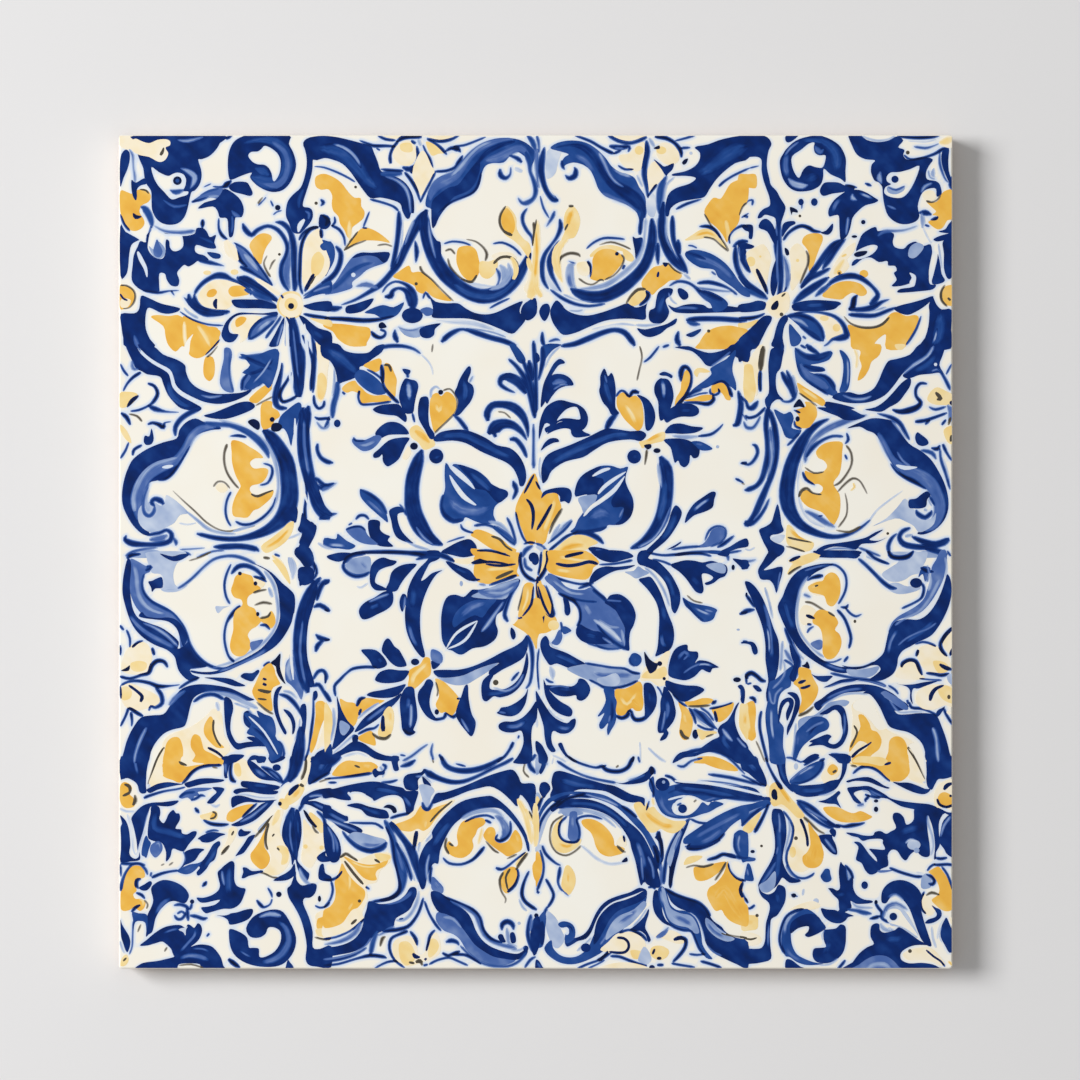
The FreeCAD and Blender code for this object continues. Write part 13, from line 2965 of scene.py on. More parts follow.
# %% Finishing strokes on rosettes, stems and brackets
painting.append("""
yf 11.6 117.4, 13.6 116.6, 16 115.6, 18.2 114.8, 18 113.4, 17.2 112, 15.6 110.4, 14 109.8, 12.6 110.6,
12.8 112.4, 14.4 114, 12.4 113.8, 11 114.6
cs 11.8 116.4 .5, 11.9 113.6 .6, 12.3 111 .4
ew 14 116 .8, 15.6 113.6 1, 16.6 111.6 .6
ks 15.6 110.4 .22, 17 111.8 .25, 18.2 113.2 .25
ks 11 118.2 .25, 13.2 116.8 .3, 16 115.9 .32, 18.8 115.7 .3
ns 12.6 121.4 .8, 13 119.8 1.1, 14.8 118.6 1.1, 17.6 118 1, 20 118.2 .7
ns 21.2 124.4 .9, 24 123 1.3, 26.6 121.4 1.2, 28.6 120.2 .8
bs 22.6 122.2 .5, 25 121.3 .9, 27.6 120.2 .7
bf 21.8 110.6, 24.4 110.2, 26.8 111.2, 28.6 111.4, 29 109, 28.2 106.4, 27 104.4, 25.8 105.4, 24.2 104.2,
22.6 104.6, 23.8 106.6, 22.2 107.2, 23.6 108.6
nw 23 107 .8, 25.4 107.6 1, 28 109.6 .8
nw 22.4 110.2 .8, 25 109 1, 27.8 107.6 .6
lw 24 105.2 .4, 26 107.4 .5, 27.6 110 .4
ws 29.2 111.4 .35, 28.8 108 .4, 27.6 104.4 .4
ns 31.2 117.4 1.2, 31.6 114 1.9, 32 110 2, 32.4 106 1.7, 32.6 102.8 1
mw 31.3 115.6 .4, 31.8 111 .6, 32.3 106 .4
ws 30.2 116.4 .4, 30.4 112 .45, 30.8 106 .45
ws 33.4 116 .35, 33.9 111 .45, 34.1 105 .45
ns 34.6 115 .4, 35.2 111 .7, 35 107 .8, 34.9 103.6 .5
es 75.3 134.6 .6, 75.3 131 1.1, 75 128 1.2, 74.9 125 1.4, 74.6 122.4 1.9, 73.8 120.6 2.2
es 75 122.6 1.2, 76 120.8 1.4
os 75.1 134.8 .3, 74.7 132.4 .3, 74.4 130 .25
es 73.6 127.8 .8, 74.2 125.4 .7
es 81 131.6 .7, 79 129.6 1.2, 78.6 127 1.2, 79.4 124.6 .8
es 70.6 128 .6, 71.4 126 .9, 71 124 .7
ls 70 127 .6, 70.4 125 1, 69 123 1, 66.6 122.2 .7
ns 74.6 113 .6, 74.8 110 .8, 75 107 .7, 75 103 .8, 75 100 .8
ns 72.6 109.6 .6, 73.8 106.6 .9, 74.6 103 .8
ns 68.8 106.2 1, 70.2 106.4 1.6, 72 105.2 1.4, 73.2 103.4 1
nf 32.6 80.2, 34.8 80.4, 35.4 79, 34.6 77.4, 33.4 76.2, 32.4 76.6, 33 78.4
nf 32 75.8, 34 76, 35 74.4, 35 72.8, 33.6 72.2, 32.6 73.4, 31.6 74.6
nf 32.6 72, 34.6 72.2, 35.2 71, 34.6 69.4, 33 69, 32.2 70.4
ef 25.6 76, 27.4 77.4, 29.6 79.2, 31.4 80.4, 31.2 78.6, 30 76.8, 28 75.4, 26.4 74.8
yw 26.2 75.6 .6, 28.6 77 .8, 30.8 79.2 .5
ef 27.6 73.6, 29.6 72.8, 30.6 70.8, 30.8 69.2, 29.8 70.4, 28.6 72.2
gs 31 74 .8, 31.4 72 .9, 31.2 70 .6
gs 35.8 76.6 .5, 37.2 75.8 .6, 38.6 75.4 .4
yf 73 69.2, 74.6 69.2, 74.4 66.4, 73.6 64.4, 72 63.2, 71.9 64.2, 72.5 66.6
yf 75.2 69.2, 76.4 69, 77.2 67.2, 78 64.6, 77.6 63.6, 76.8 64, 75.9 66.2
yf 74.3 66.4, 75.9 66.4, 76.8 63.8, 74.4 62.8, 72.4 63.4
ew 73.6 68.6 .5, 73.4 66.4 .6, 72.4 64 .4
ks 74.6 68.8 .3, 74.2 65.6 .4, 72.6 63.4 .28
ks 75.4 68.8 .3, 76.4 65.6 .4, 77.6 63.6 .32, 78 65.4 .32, 77.4 67.6 .28, 76.8 69 .22
yf 63.4 75.6, 66.4 75.2, 69.6 74.6, 71.6 74, 71.4 73, 68.6 73, 65.6 73.6, 63.8 74.4
ks 64.4 75.2 .3, 67 75.2 .42, 70.4 74.2 .25
ks 63.6 72.8 .25, 66.6 73.2 .38, 70 72.8 .25
bs 67.4 79.6 .8, 69.6 78 1, 71.2 76.6 .6
ms 64.6 68 .8, 67.6 67.4 1.6, 70.4 68.4 1.4, 72 69.6 .8
lw 66 67.8 .5, 69 67.6 .7, 71.4 69 .4
es 74.9 29.8 .6, 75 27 1, 75 24.4 1, 74.9 22 1
es 71.8 30.6 .7, 73 28 1.1, 73.8 25 1, 74.2 22.4 .7
nf 74.4 8.6, 75.6 9.4, 76 6.4, 75.4 3.4, 74.6 2.4, 74 5
ms 74 6.8 .5, 74.4 9.4 .6
bf 116.8 29.8, 113.6 28.4, 109.6 26.2, 105.4 23.6, 102 22.4, 101.6 23.4, 103.4 24.8, 107.4 27.4,
112 29.4
mw 103.6 23.6 .8, 108 26 1, 112 28 .7
ns 101.8 22 .5, 105 22 .6, 108.2 23.2 .6
ns 100 32.6 1.6, 104 32.4 2, 108.6 31.6 1.8, 113 30.8 1.4, 116 30.6 1
bw 101 32.6 .8, 106 32 .9, 111 31 .6
ws 100 33.8 .4, 106 33.4 .45, 112 32.2 .4, 116 31.2 .3
yf 104 38, 107 38.2, 110 37, 111.4 35.6, 108.6 35.8, 105.6 36.8
ns 106 35 .5, 110 34.4 .6, 115.6 33 .5
ns 32.8 43.6 1.2, 32.6 39.6 1.8, 31.8 36 1.8, 30.6 33.6 1.2
bf 22.4 46, 24.6 45.6, 27 43.6, 28.6 41, 29.2 38.4, 27.6 37.6, 26.4 40, 24.8 41.6, 23 42.4, 23.8 44
nw 24 43.6 .6, 26.6 41.4 .8, 28.4 38.6 .6
ws 23.4 45.4 .25, 26.2 42.6 .3, 28.6 38.6 .25
ns 31.4 29 1.4, 30.8 26 2, 31.2 22.6 1.8, 31.8 19.6 1.2
mw 31 27 .5, 30.8 24 .6, 31.4 20.6 .4
""")

# %% Finishing strokes on the side bands
painting.append("""
cd 31 119.3 2.2
ed 31 119.5 1.2
kd 31 119.2 .55
ns 29.2 121.2 .5, 29.6 120.6 .4
ns 33.2 101 1.4, 33.2 96 2.2, 33.6 91.4 2.3, 34.8 86.6 2, 36.4 83 1.4, 38.4 81.6 .8
mw 33.4 99 .7, 33.4 94 .9, 34.2 88.6 .8
ws 31.7 99 .35, 31.8 93 .4, 32.6 88 .4, 34 83.6 .3
ns 35.4 88.4 .8, 37 87 .7, 38.8 87.4 .3
ns 34 49.6 1.4, 32.8 54 2, 32.4 59 2.1, 33 64 1.9, 34.4 68 1.4, 36.4 70.4 .7
mw 33.6 51 .6, 32.6 57 .8, 33.2 63 .6
ws 31.4 52 .35, 30.9 58 .4, 31.6 64 .35
ns 105 37.9 .35, 103 37.4 .4, 101.6 36.4 .5, 100.4 36.6 .4
ns 112.6 35 .4, 109.4 38.2 .5, 106 39.4 .6, 103 39.2 .5, 100.6 38 .5
yw 75 133 .6, 75.2 129 .7, 74.8 124 .8
ns 60.4 73.2 .6, 58 74.4 1, 55.6 74.2 .8, 53.4 73.6 .4
""")

# %% Last touches: an eye, two petals and a gap
painting.append("""
wf 138.1 9.6, 139.2 10.6, 140.6 10.2, 142 8.4, 144 5.6, 141.6 7.2, 139.6 8, 138.4 8.4
nd 139.3 9.4 .7
ms 137.4 9 .5, 138 11 .6, 139.8 11.8 .6, 141.8 10.6 .5
wf 11.6 110.4, 12 112.6, 13.4 114.2, 12.9 112.9, 12.6 110.6
cf 141.8 39.4, 142.2 37, 142.3 35.2, 143.4 34.2, 145 33.7, 144.3 35.6, 143.3 37.6, 142.5 39.4
wf 142 40.2, 143.2 40.6, 144.6 39.2, 145.2 37, 145.2 34.2, 144.4 35.6, 143.5 37.6, 142.5 39.4
ef 133 38.2, 135 38.2, 137.4 38, 138.6 37, 138.2 35.8, 136 36.4, 134 37, 131.9 37.2
yf 138.5 39, 138.3 37.4, 137.3 36.5, 135.6 36.8, 134 37.1, 131.9 37, 133.6 36.6, 135.6 36.4, 137 35.6,
138 34.6, 139.1 33.8, 140.8 33.8, 142.2 35.2, 142.1 37, 141.8 38.8, 140 39.4
os 141.8 39.8 .2, 143.3 37.6 .3, 144.4 35.4 .25, 145 34.1 .15
ks 137.7 36.7 .3, 138.9 37.1 .45
ns 145.8 38.8 .8, 145.8 37.2 .9, 145.8 35.4 .8
ns 128 38.6 .7, 129.6 38.2 1, 131.2 37.9 1, 130.7 36.8 .7
wf 5.9 38.6, 6.6 39.6, 7.9 40.4, 7.2 38.8, 6.4 37, 5.8 35, 5.3 33.2, 5 34.4, 5.2 36.6
cf 8.2 39.8, 8 38, 7.8 36, 8 35, 7.6 34.2, 6.4 33.6, 5.4 33.2, 5.9 35, 6.5 37, 7.3 38.8
yf 8.9 39, 8.2 38.2, 7.9 36.4, 8 35.4, 8.8 34.7, 9.8 34.2, 10.4 36, 10 38.4
cf 11.4 38.2, 13 38, 13.4 37.2, 15.4 36.9, 13.6 36.6, 12.2 36.4, 11.2 36.9
os 8.2 39.9 .2, 7 38 .3, 6.2 36 .3, 5.6 34.4 .2, 5.2 33.2 .15
os 10.8 37.3 .25, 11.4 36.9 .45, 12.3 36.6 .2
""")

# %% [markdown]
# ## Reading the strokes
# Every letter stands for a pigment and for how strong it was mixed, from a thin wash to the full
# paint. Keeping the strength as a number lets one material per pigment give all of its tones.

# %% Turn the text into paths
pigments = {
    "k": ("cobalt", 1.0), "n": ("cobalt", 0.86), "b": ("cobalt", 0.7), "m": ("cobalt", 0.5),
    "l": ("cobalt", 0.32), "p": ("cobalt", 0.16), "g": ("cobalt", 0.22),
    "y": ("ochre", 0.8), "e": ("ochre", 0.5), "c": ("ochre", 0.25),
    "o": ("manganese", 0.7), "w": ("glaze", 0.0),
}


def read_strokes(text):
    """Each stroke as (letter, kind, points); a line that starts with a number goes on with the last."""
    found = []
    for line in text.strip().splitlines():
        if line[0].isalpha():
            code, line = line.split(None, 1)
            found.append((code[0], code[1], []))
        kind, points = found[-1][1:]
        for point in line.strip().strip(",").split(","):
            values = [float(value) for value in point.split()]
            if kind in "sw" and len(values) == 2:
                values.append(points[-1][2])
            points.append(values)
    return found


strokes = [stroke for text in painting for stroke in read_strokes(text)]
print(len(strokes), "strokes")

# %% [markdown]
# ## The brush
# A brush stroke is a ribbon that follows a path and swells and thins as the brush is pressed and
# lifted. Geometry Nodes suit this: the paths become smooth curves, a short line is swept along each
# one, and its length at every point is the width of the stroke. Near its ends the stroke tapers,
# because the brush is being set down or lifted there. Filled shapes and dots are closed curves, and
# only their outline is kept.

# %% Build the brush as a node tree
brush = bpy.data.node_groups.new("brush", "GeometryNodeTree")
for socket_name, socket_kind in (("Paths", "Geometry"), ("Steps", "Int"), ("Taper", "Float"),
                                 ("Tip", "Float"), ("Pigment", "Material")):
    brush.interface.new_socket(socket_name, in_out="INPUT", socket_type="NodeSocket" + socket_kind)
brush.interface.new_socket("Strokes", in_out="OUTPUT", socket_type="NodeSocketGeometry")
given = add(brush, "NodeGroupInput").outputs
paths = add(brush, "GeometryNodeMeshToCurve", inputs={"Mesh": given["Paths"]})
smooth = add(brush, "GeometryNodeCurveSplineType", {"spline_type": "CATMULL_ROM"}, {
    "Curve": paths.outputs["Curve"]})
fine = add(brush, "GeometryNodeSetSplineResolution", inputs={
    "Geometry": smooth.outputs["Curve"], "Resolution": given["Steps"]})
stepped = add(brush, "GeometryNodeResampleCurve", {"mode": "EVALUATED"}, {"Curve": fine.outputs["Geometry"]})
so_far = add(brush, "GeometryNodeSplineParameter").outputs["Length"]
marked = add(brush, "GeometryNodeStoreNamedAttribute", {"data_type": "FLOAT", "domain": "POINT"}, {
    "Geometry": stepped.outputs["Curve"], "Name": "along", "Value": so_far})
closed = add(brush, "GeometryNodeInputNamedAttribute", {"data_type": "BOOLEAN"}, {"Name": "closed"})
kinds = add(brush, "GeometryNodeSeparateGeometry", {"domain": "CURVE"}, {
    "Geometry": marked.outputs["Geometry"], "Selection": closed.outputs["Attribute"]})
outlines = add(brush, "GeometryNodeCurveToMesh", inputs={"Curve": kinds.outputs["Selection"]})

# %% Taper the ends and sweep the brush
half_width = add(brush, "GeometryNodeInputNamedAttribute", {"data_type": "FLOAT"}, {
    "Name": "half_width"}).outputs["Attribute"]
whole = add(brush, "GeometryNodeSplineLength").outputs["Length"]
to_go = add(brush, "ShaderNodeMath", {"operation": "SUBTRACT"}, {0: whole, 1: so_far})
to_end = add(brush, "ShaderNodeMath", {"operation": "MINIMUM"}, {0: so_far, 1: to_go.outputs[0]})
in_widths = add(brush, "ShaderNodeMath", {"operation": "DIVIDE"}, {0: to_end.outputs[0], 1: half_width})
lift = add(brush, "ShaderNodeMapRange", inputs={
    "Value": in_widths.outputs[0], "From Max": given["Taper"], "To Min": given["Tip"], "To Max": 1.0})
lifted = add(brush, "ShaderNodeMath", {"operation": "MULTIPLY"}, {0: half_width, 1: lift.outputs["Result"]})
pressed = add(brush, "GeometryNodeStoreNamedAttribute", {"data_type": "FLOAT", "domain": "POINT"}, {
    "Geometry": kinds.outputs["Inverted"], "Name": "half_width", "Value": lifted.outputs[0]})
hair = add(brush, "GeometryNodeCurvePrimitiveLine", inputs={"Start": (-1, 0, 0), "End": (1, 0, 0)})
hair_x = add(brush, "ShaderNodeSeparateXYZ", inputs={
    "Vector": add(brush, "GeometryNodeInputPosition").outputs["Position"]}).outputs["X"]
spread = add(brush, "GeometryNodeStoreNamedAttribute", {"data_type": "FLOAT", "domain": "POINT"}, {
    "Geometry": hair.outputs["Curve"], "Name": "across", "Value": hair_x})
ribbons = add(brush, "GeometryNodeCurveToMesh", inputs={
    "Curve": pressed.outputs["Geometry"], "Profile Curve": spread.outputs["Geometry"], "Scale": half_width})
joined = add(brush, "GeometryNodeJoinGeometry", inputs={"Geometry": outlines.outputs["Mesh"]})
brush.links.new(ribbons.outputs["Mesh"], joined.inputs["Geometry"])
real = add(brush, "GeometryNodeRealizeInstances", inputs={"Geometry": joined.outputs["Geometry"]})
inked = add(brush, "GeometryNodeSetMaterial", inputs={
    "Geometry": real.outputs["Geometry"], "Material": given["Pigment"]})
add(brush, "NodeGroupOutput", inputs={"Strokes": inked.outputs["Geometry"]})
print("brush of", len(brush.nodes), "nodes")

# %% [markdown]
# ## Painting
# All paths go into one mesh of edges, which the brush turns into ribbons and outlines at once. Each
# point carries the number of its stroke, because that tells later which paint is on top. Wet paint
# creeps a little into the raw glaze, so a stroke ends up wider than the brush drew it.

# %% Where each stroke runs
# Widths on the tile are in millimetres here, as in the strokes.
dot_points = 8
creep = 0.2
creep_share = 0.3
least_width = 0.08


def path_points(kind, points):
    """The path of one stroke as (x, y, half width) in millimetres."""
    if kind == "d":
        x, y, across = points[0][:3]
        up = points[0][-1]
        turns = [2 * math.pi * i / dot_points for i in range(dot_points)]
        return [(x + across * math.cos(a), y + up * math.sin(a), 0) for a in turns]
    if kind == "f":
        return [(x, y, 0) for x, y in points]
    if kind == "s":
        points = [(x, y, width + min(creep, creep_share * width)) for x, y, width in points]
    return [(x, y, max(width, least_width) / 2) for x, y, width in points]


# %% Put all paths in one mesh
corners, edges, widths, numbers, rings = [], [], [], [], []
for number, (letter, kind, points) in enumerate(strokes):
    path = path_points(kind, points)
    first = len(corners)
    corners += [(x, y, 0) for x, y, width in path]
    widths += [width for x, y, width in path]
    numbers += [number] * len(path)
    rings += [kind in "fd"] * len(path)
    edges += [(first + i, first + i + 1) for i in range(len(path) - 1)]
    if kind in "fd":
        edges.append((first + len(path) - 1, first))

path_mesh = bpy.data.meshes.new("stroke_paths")
path_mesh.from_pydata(corners, edges, [])
for name, kind, values in (("half_width", "FLOAT", widths), ("number", "INT", numbers),
                           ("closed", "BOOLEAN", rings)):
    path_mesh.attributes.new(name, kind, "POINT").data.foreach_set("value", values)
print(len(corners), "points on", len(strokes), "paths")

# %% Run the brush along every path
steps_between_points = 3
end_taper = 1.5
end_tip = 0.5

path_object = bpy.data.objects.new("stroke_paths", path_mesh)
bpy.context.scene.collection.objects.link(path_object)
modifier = path_object.modifiers.new("brush", "NODES")
modifier.node_group = brush
inputs = {item.name: item.identifier for item in brush.interface.items_tree if item.in_out == "INPUT"}
modifier[inputs["Steps"]] = steps_between_points
modifier[inputs["Taper"]] = end_taper
modifier[inputs["Tip"]] = end_tip
modifier[inputs["Pigment"]] = tin_glaze
depsgraph = bpy.context.evaluated_depsgraph_get()
stroke_mesh = bpy.data.meshes.new_from_object(
    path_object.evaluated_get(depsgraph), preserve_all_data_layers=True, depsgraph=depsgraph)
bpy.data.objects.remove(path_object)
print("brushed:", len(stroke_mesh.vertices), "points,", len(stroke_mesh.polygons), "ribbon faces")

# %% [markdown]
# ## Which paint lies on top
# Thousands of strokes overlap, and stacking them as sheets would need as many tiny steps in height. On
# the tile they all melt into one skin. So the face is cut up along the edges of every stroke by a
# Delaunay triangulation, which keeps for each triangle the list of strokes that cover it. The last
# stroke painted there wins.

# %% Read the ribbons back
face_margin = 0.15
least_area = 1e-6
side = tile_side / MM
flat = [Vector(vertex.co.xy) for vertex in stroke_mesh.vertices]


def read_back(name):
    """The values of one attribute, point by point."""
    return [item.value for item in stroke_mesh.attributes[name].data]


along, across, number_at, half_width_at = [read_back(n) for n in ("along", "across", "number", "half_width")]
length = {}
for number, distance in zip(number_at, along):
    length[number] = max(distance, length.get(number, 0))


def turned_left(face):
    """The face's points in anticlockwise order, and twice its area."""
    area = sum(flat[a].cross(flat[b]) for a, b in zip(face, face[1:] + face[:1]))
    return (face if area > 0 else face[::-1]), abs(area)


def from_lowest(ring):
    """The ring with its lowest point last, run so that the paint is left of the edge leaving it.

    The lowest point is always on the outside, so this holds even where an outline crosses itself.
    """
    lowest = min(range(len(ring)), key=lambda i: (flat[ring[i]].y, flat[ring[i]].x))
    ring = ring[lowest + 1:] + ring[:lowest + 1]
    here, after, before = flat[ring[-1]], flat[ring[0]], flat[ring[-2]]
    if (after - here).cross(before - here) < 0:
        ring = ring[-2::-1] + ring[-1:]
    return ring


# %% Cut the face up along the strokes
low, high = face_margin, side - face_margin
canvas = len(flat)
flat += [Vector(corner) for corner in ((low, low), (high, low), (high, high), (low, high))]
faces, owners = [list(range(canvas, canvas + 4))], [-1]
for polygon in stroke_mesh.polygons:
    a, b, c, d = polygon.vertices
    for face in ([a, b, c], [a, c, d]):
        face, area = turned_left(face)
        if area > least_area:
            faces.append(face)
            owners.append(number_at[a])
ring_points = {}
for index, number in enumerate(number_at):
    if strokes[number][1] in "fd":
        ring_points.setdefault(number, []).append(index)
for number, ring in ring_points.items():
    faces.append(from_lowest(ring))
    owners.append(number)
merge_distance = 1e-4
spots, _, triangles, _, _, sources = delaunay_2d_cdt(flat, [], faces, 1, merge_distance, True)
print("cut up into", len(triangles), "triangles")

# %% Where a spot lies in its stroke
stroke_gap = 50
far_from_edge = 9.0


def brush_place(spot, face, number):
    """Where a spot lies in its stroke: along the path and across the brush.

    The third value is the brush's half width, or for a wash how far the spot is from the ends.
    """
    if len(face) != 3 or strokes[number][1] in "fd":
        return (spot.x + spot.y, 0.0, far_from_edge)
    a, b, c = (flat[i] for i in face)
    area = (b - a).cross(c - a)
    shares = [(p - spot).cross(q - spot) / area for p, q in ((b, c), (c, a), (a, b))]
    run, sideways, width = [
        sum(share * values[i] for share, i in zip(shares, face)) for values in (along, across, half_width_at)]
    if strokes[number][1] == "w":
        width = min(run, length[number] - run)
    return (run + stroke_gap * number, sideways, width)


# %% Give every triangle its paint
outline_from = 0.95
dark_from = 0.8
kept_on_other = 0.85

layers = {name: [] for name in (
    "cobalt_outlines", "cobalt_strokes", "cobalt_washes", "ochre_painting", "manganese_painting")}
for triangle, covers in zip(triangles, sources):
    if 0 not in covers:
        continue
    by_number = {owners[face]: face for face in covers}
    paints = sorted(n for n in by_number if n < 0 or strokes[n][1] != "w")
    base = paints[-1]
    pigment, strength = pigments[strokes[base][0]] if base >= 0 else ("glaze", 0.0)
    if pigment == "glaze":
        continue
    top = max((n for n in by_number if n > base and pigments[strokes[n][0]][0] == pigment), default=base)
    core = pigments[strokes[top][0]][1]
    under = strength
    soft_edged = strokes[top][1] == "s"
    if soft_edged:
        below = paints[-2] if len(paints) > 1 else -1
        below_pigment, below_strength = pigments[strokes[below][0]] if below >= 0 else ("glaze", 0.0)
        under = {pigment: below_strength, "glaze": 0.0}.get(below_pigment, kept_on_other * strength)
    piece = pigment + "_painting"
    if pigment == "cobalt":
        piece = "cobalt_strokes" if strength > dark_from else "cobalt_washes"
        if strength > outline_from:
            piece = "cobalt_outlines"
    places = [brush_place(spots[i], faces[by_number[top]], top) for i in triangle]
    layers[piece].append((triangle, places, (core, under, float(soft_edged))))
print({name: len(layer) for name, layer in layers.items()}, "painted triangles")

# %% [markdown]
# ## Coats of paint
# Each pigment becomes a thin closed coat: the triangles on top, the same triangles turned over below,
# and walls round every edge. It stands a few hundredths of a millimetre out of the glaze, too little
# to show, and its foot is sunk into the glaze so that nothing shines through. Real paint melts into the
# glaze and has no thickness to speak of. The outlines, the dark strokes and the paler washes of cobalt
# are three coats, which keeps each mesh small. Colour is not written into the mesh: every corner
# carries where it lies in its stroke, and the material does the rest.

# %% Join the triangles of a coat
coat_rise = 0.03 * MM
coat_sink = 0.05 * MM
coat_top = face_z + coat_rise
coat_foot = face_z - coat_sink


def shared_corners(layer):
    """For every triangle corner the point that it uses, the points themselves, and the open edges.

    Two parts of a coat that only touch at one point get a point each, so that the coat stays closed.
    """
    parent = list(range(3 * len(layer)))

    def root(corner):
        while parent[corner] != corner:
            parent[corner] = parent[parent[corner]]
            corner = parent[corner]
        return corner

    by_edge = {}
    for t, (triangle, places, strengths) in enumerate(layer):
        for k in range(3):
            by_edge.setdefault(frozenset((triangle[k], triangle[k - 2])), []).append((t, k))
    open_edges = [pair[0] for pair in by_edge.values() if len(pair) == 1]
    for pair in by_edge.values():
        if len(pair) == 2:
            (t, k), (u, m) = pair
            parent[root(3 * t + k)] = root(3 * u + (m + 1) % 3)
            parent[root(3 * t + (k + 1) % 3)] = root(3 * u + m)
    index_of, points = {}, []
    for corner in range(3 * len(layer)):
        if root(corner) == corner:
            index_of[corner] = len(points)
            points.append(spots[layer[corner // 3][0][corner % 3]])
    return [index_of[root(corner)] for corner in range(3 * len(layer))], points, open_edges


# %% Make a coat
# The top fills most of the map, and what lies under it shares the last corner.
bake_share = 0.96
bake_rest = 0.98
bake_rest_share = 0.015


def lay_out_flat(mesh, top_loops):
    """A map of the face for the mesh: its top as seen from above, all the rest small in one corner."""
    spans = []
    for loop in mesh.loops:
        x, y, z = mesh.vertices[loop.vertex_index].co
        u, v = x / tile_side + 0.5, y / tile_side + 0.5
        if loop.index < top_loops:
            spans += [bake_share * u, bake_share * v]
        else:
            spans += [bake_rest + bake_rest_share * u, bake_rest + bake_rest_share * v]
    mesh.uv_layers.new(name="OFBake").data.foreach_set("uv", spans)


def coat(name, layer, material):
    """A closed coat of one pigment: its triangles on top, the same below, and walls round the edge."""
    at, points, open_edges = shared_corners(layer)
    count = len(points)
    place = [(p.x * MM - tile_side / 2, p.y * MM - tile_side / 2) for p in points]
    vertices = [(x, y, z) for z in (coat_top, coat_foot) for x, y in place]
    top_faces = [tuple(at[3 * t:3 * t + 3]) for t in range(len(layer))]
    foot_faces = [(c + count, b + count, a + count) for a, b, c in top_faces]
    brushed = [spot for triangle, places, strengths in layer for spot in places]
    brushed += [spot for triangle, places, strengths in layer for spot in places[::-1]]
    tones = [strengths for triangle, places, strengths in layer for corner in range(3)] * 2
    walls = []
    for t, k in open_edges:
        after = (k + 1) % 3
        a, b = at[3 * t + k], at[3 * t + after]
        walls.append((b, a, a + count, b + count))
        brushed += [layer[t][1][corner] for corner in (after, k, k, after)]
        tones += [layer[t][2]] * 4
    mesh = bpy.data.meshes.new(name)
    mesh.from_pydata(vertices, [], top_faces + foot_faces + walls)
    for label, values in (("brush", brushed), ("strength", tones)):
        numbers = [number for value in values for number in value]
        mesh.attributes.new(label, "FLOAT_VECTOR", "CORNER").data.foreach_set("vector", numbers)
    lay_out_flat(mesh, 3 * len(layer))
    mesh.materials.append(material)
    piece = bpy.data.objects.new(name, mesh)
    bpy.context.scene.collection.objects.link(piece)
    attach(piece, "root")
    print(name, 2 * len(top_faces) + 2 * len(walls), "triangles")
    return piece


# %% [markdown]
# ## Pigments
# Paint on raw glaze is drunk up at once, so a stroke keeps the marks of the brush: streaks along it,
# pools where the brush lingered and an edge where the pigment bled and thinned. A picture could show
# that, but it would be tied to this one size. Here each pigment is one ramp from bare glaze to full
# strength. The strength comes from the stroke, fades over its edge into whatever lies below, and is
# made uneven by two noises: one drawn out along the stroke, for the hairs of the brush, and one on
# the tile, for pools.

# %% The shader of a pigment
bleed_width = 0.36       # millimetres over which a stroke fades at its edge
bleed_strength = 0.42    # what is left of the paint at the very edge
wash_core = 0.25         # share of a wash's half width that has its full strength
wash_end = 1.2           # millimetres over which a wash fades at its ends
streak_length = 4.0      # millimetres along the stroke
streak_count = 2.0       # streaks in half the brush's width
pool_size = 3 * MM
uneven_low, uneven_high = 0.6, 1.4


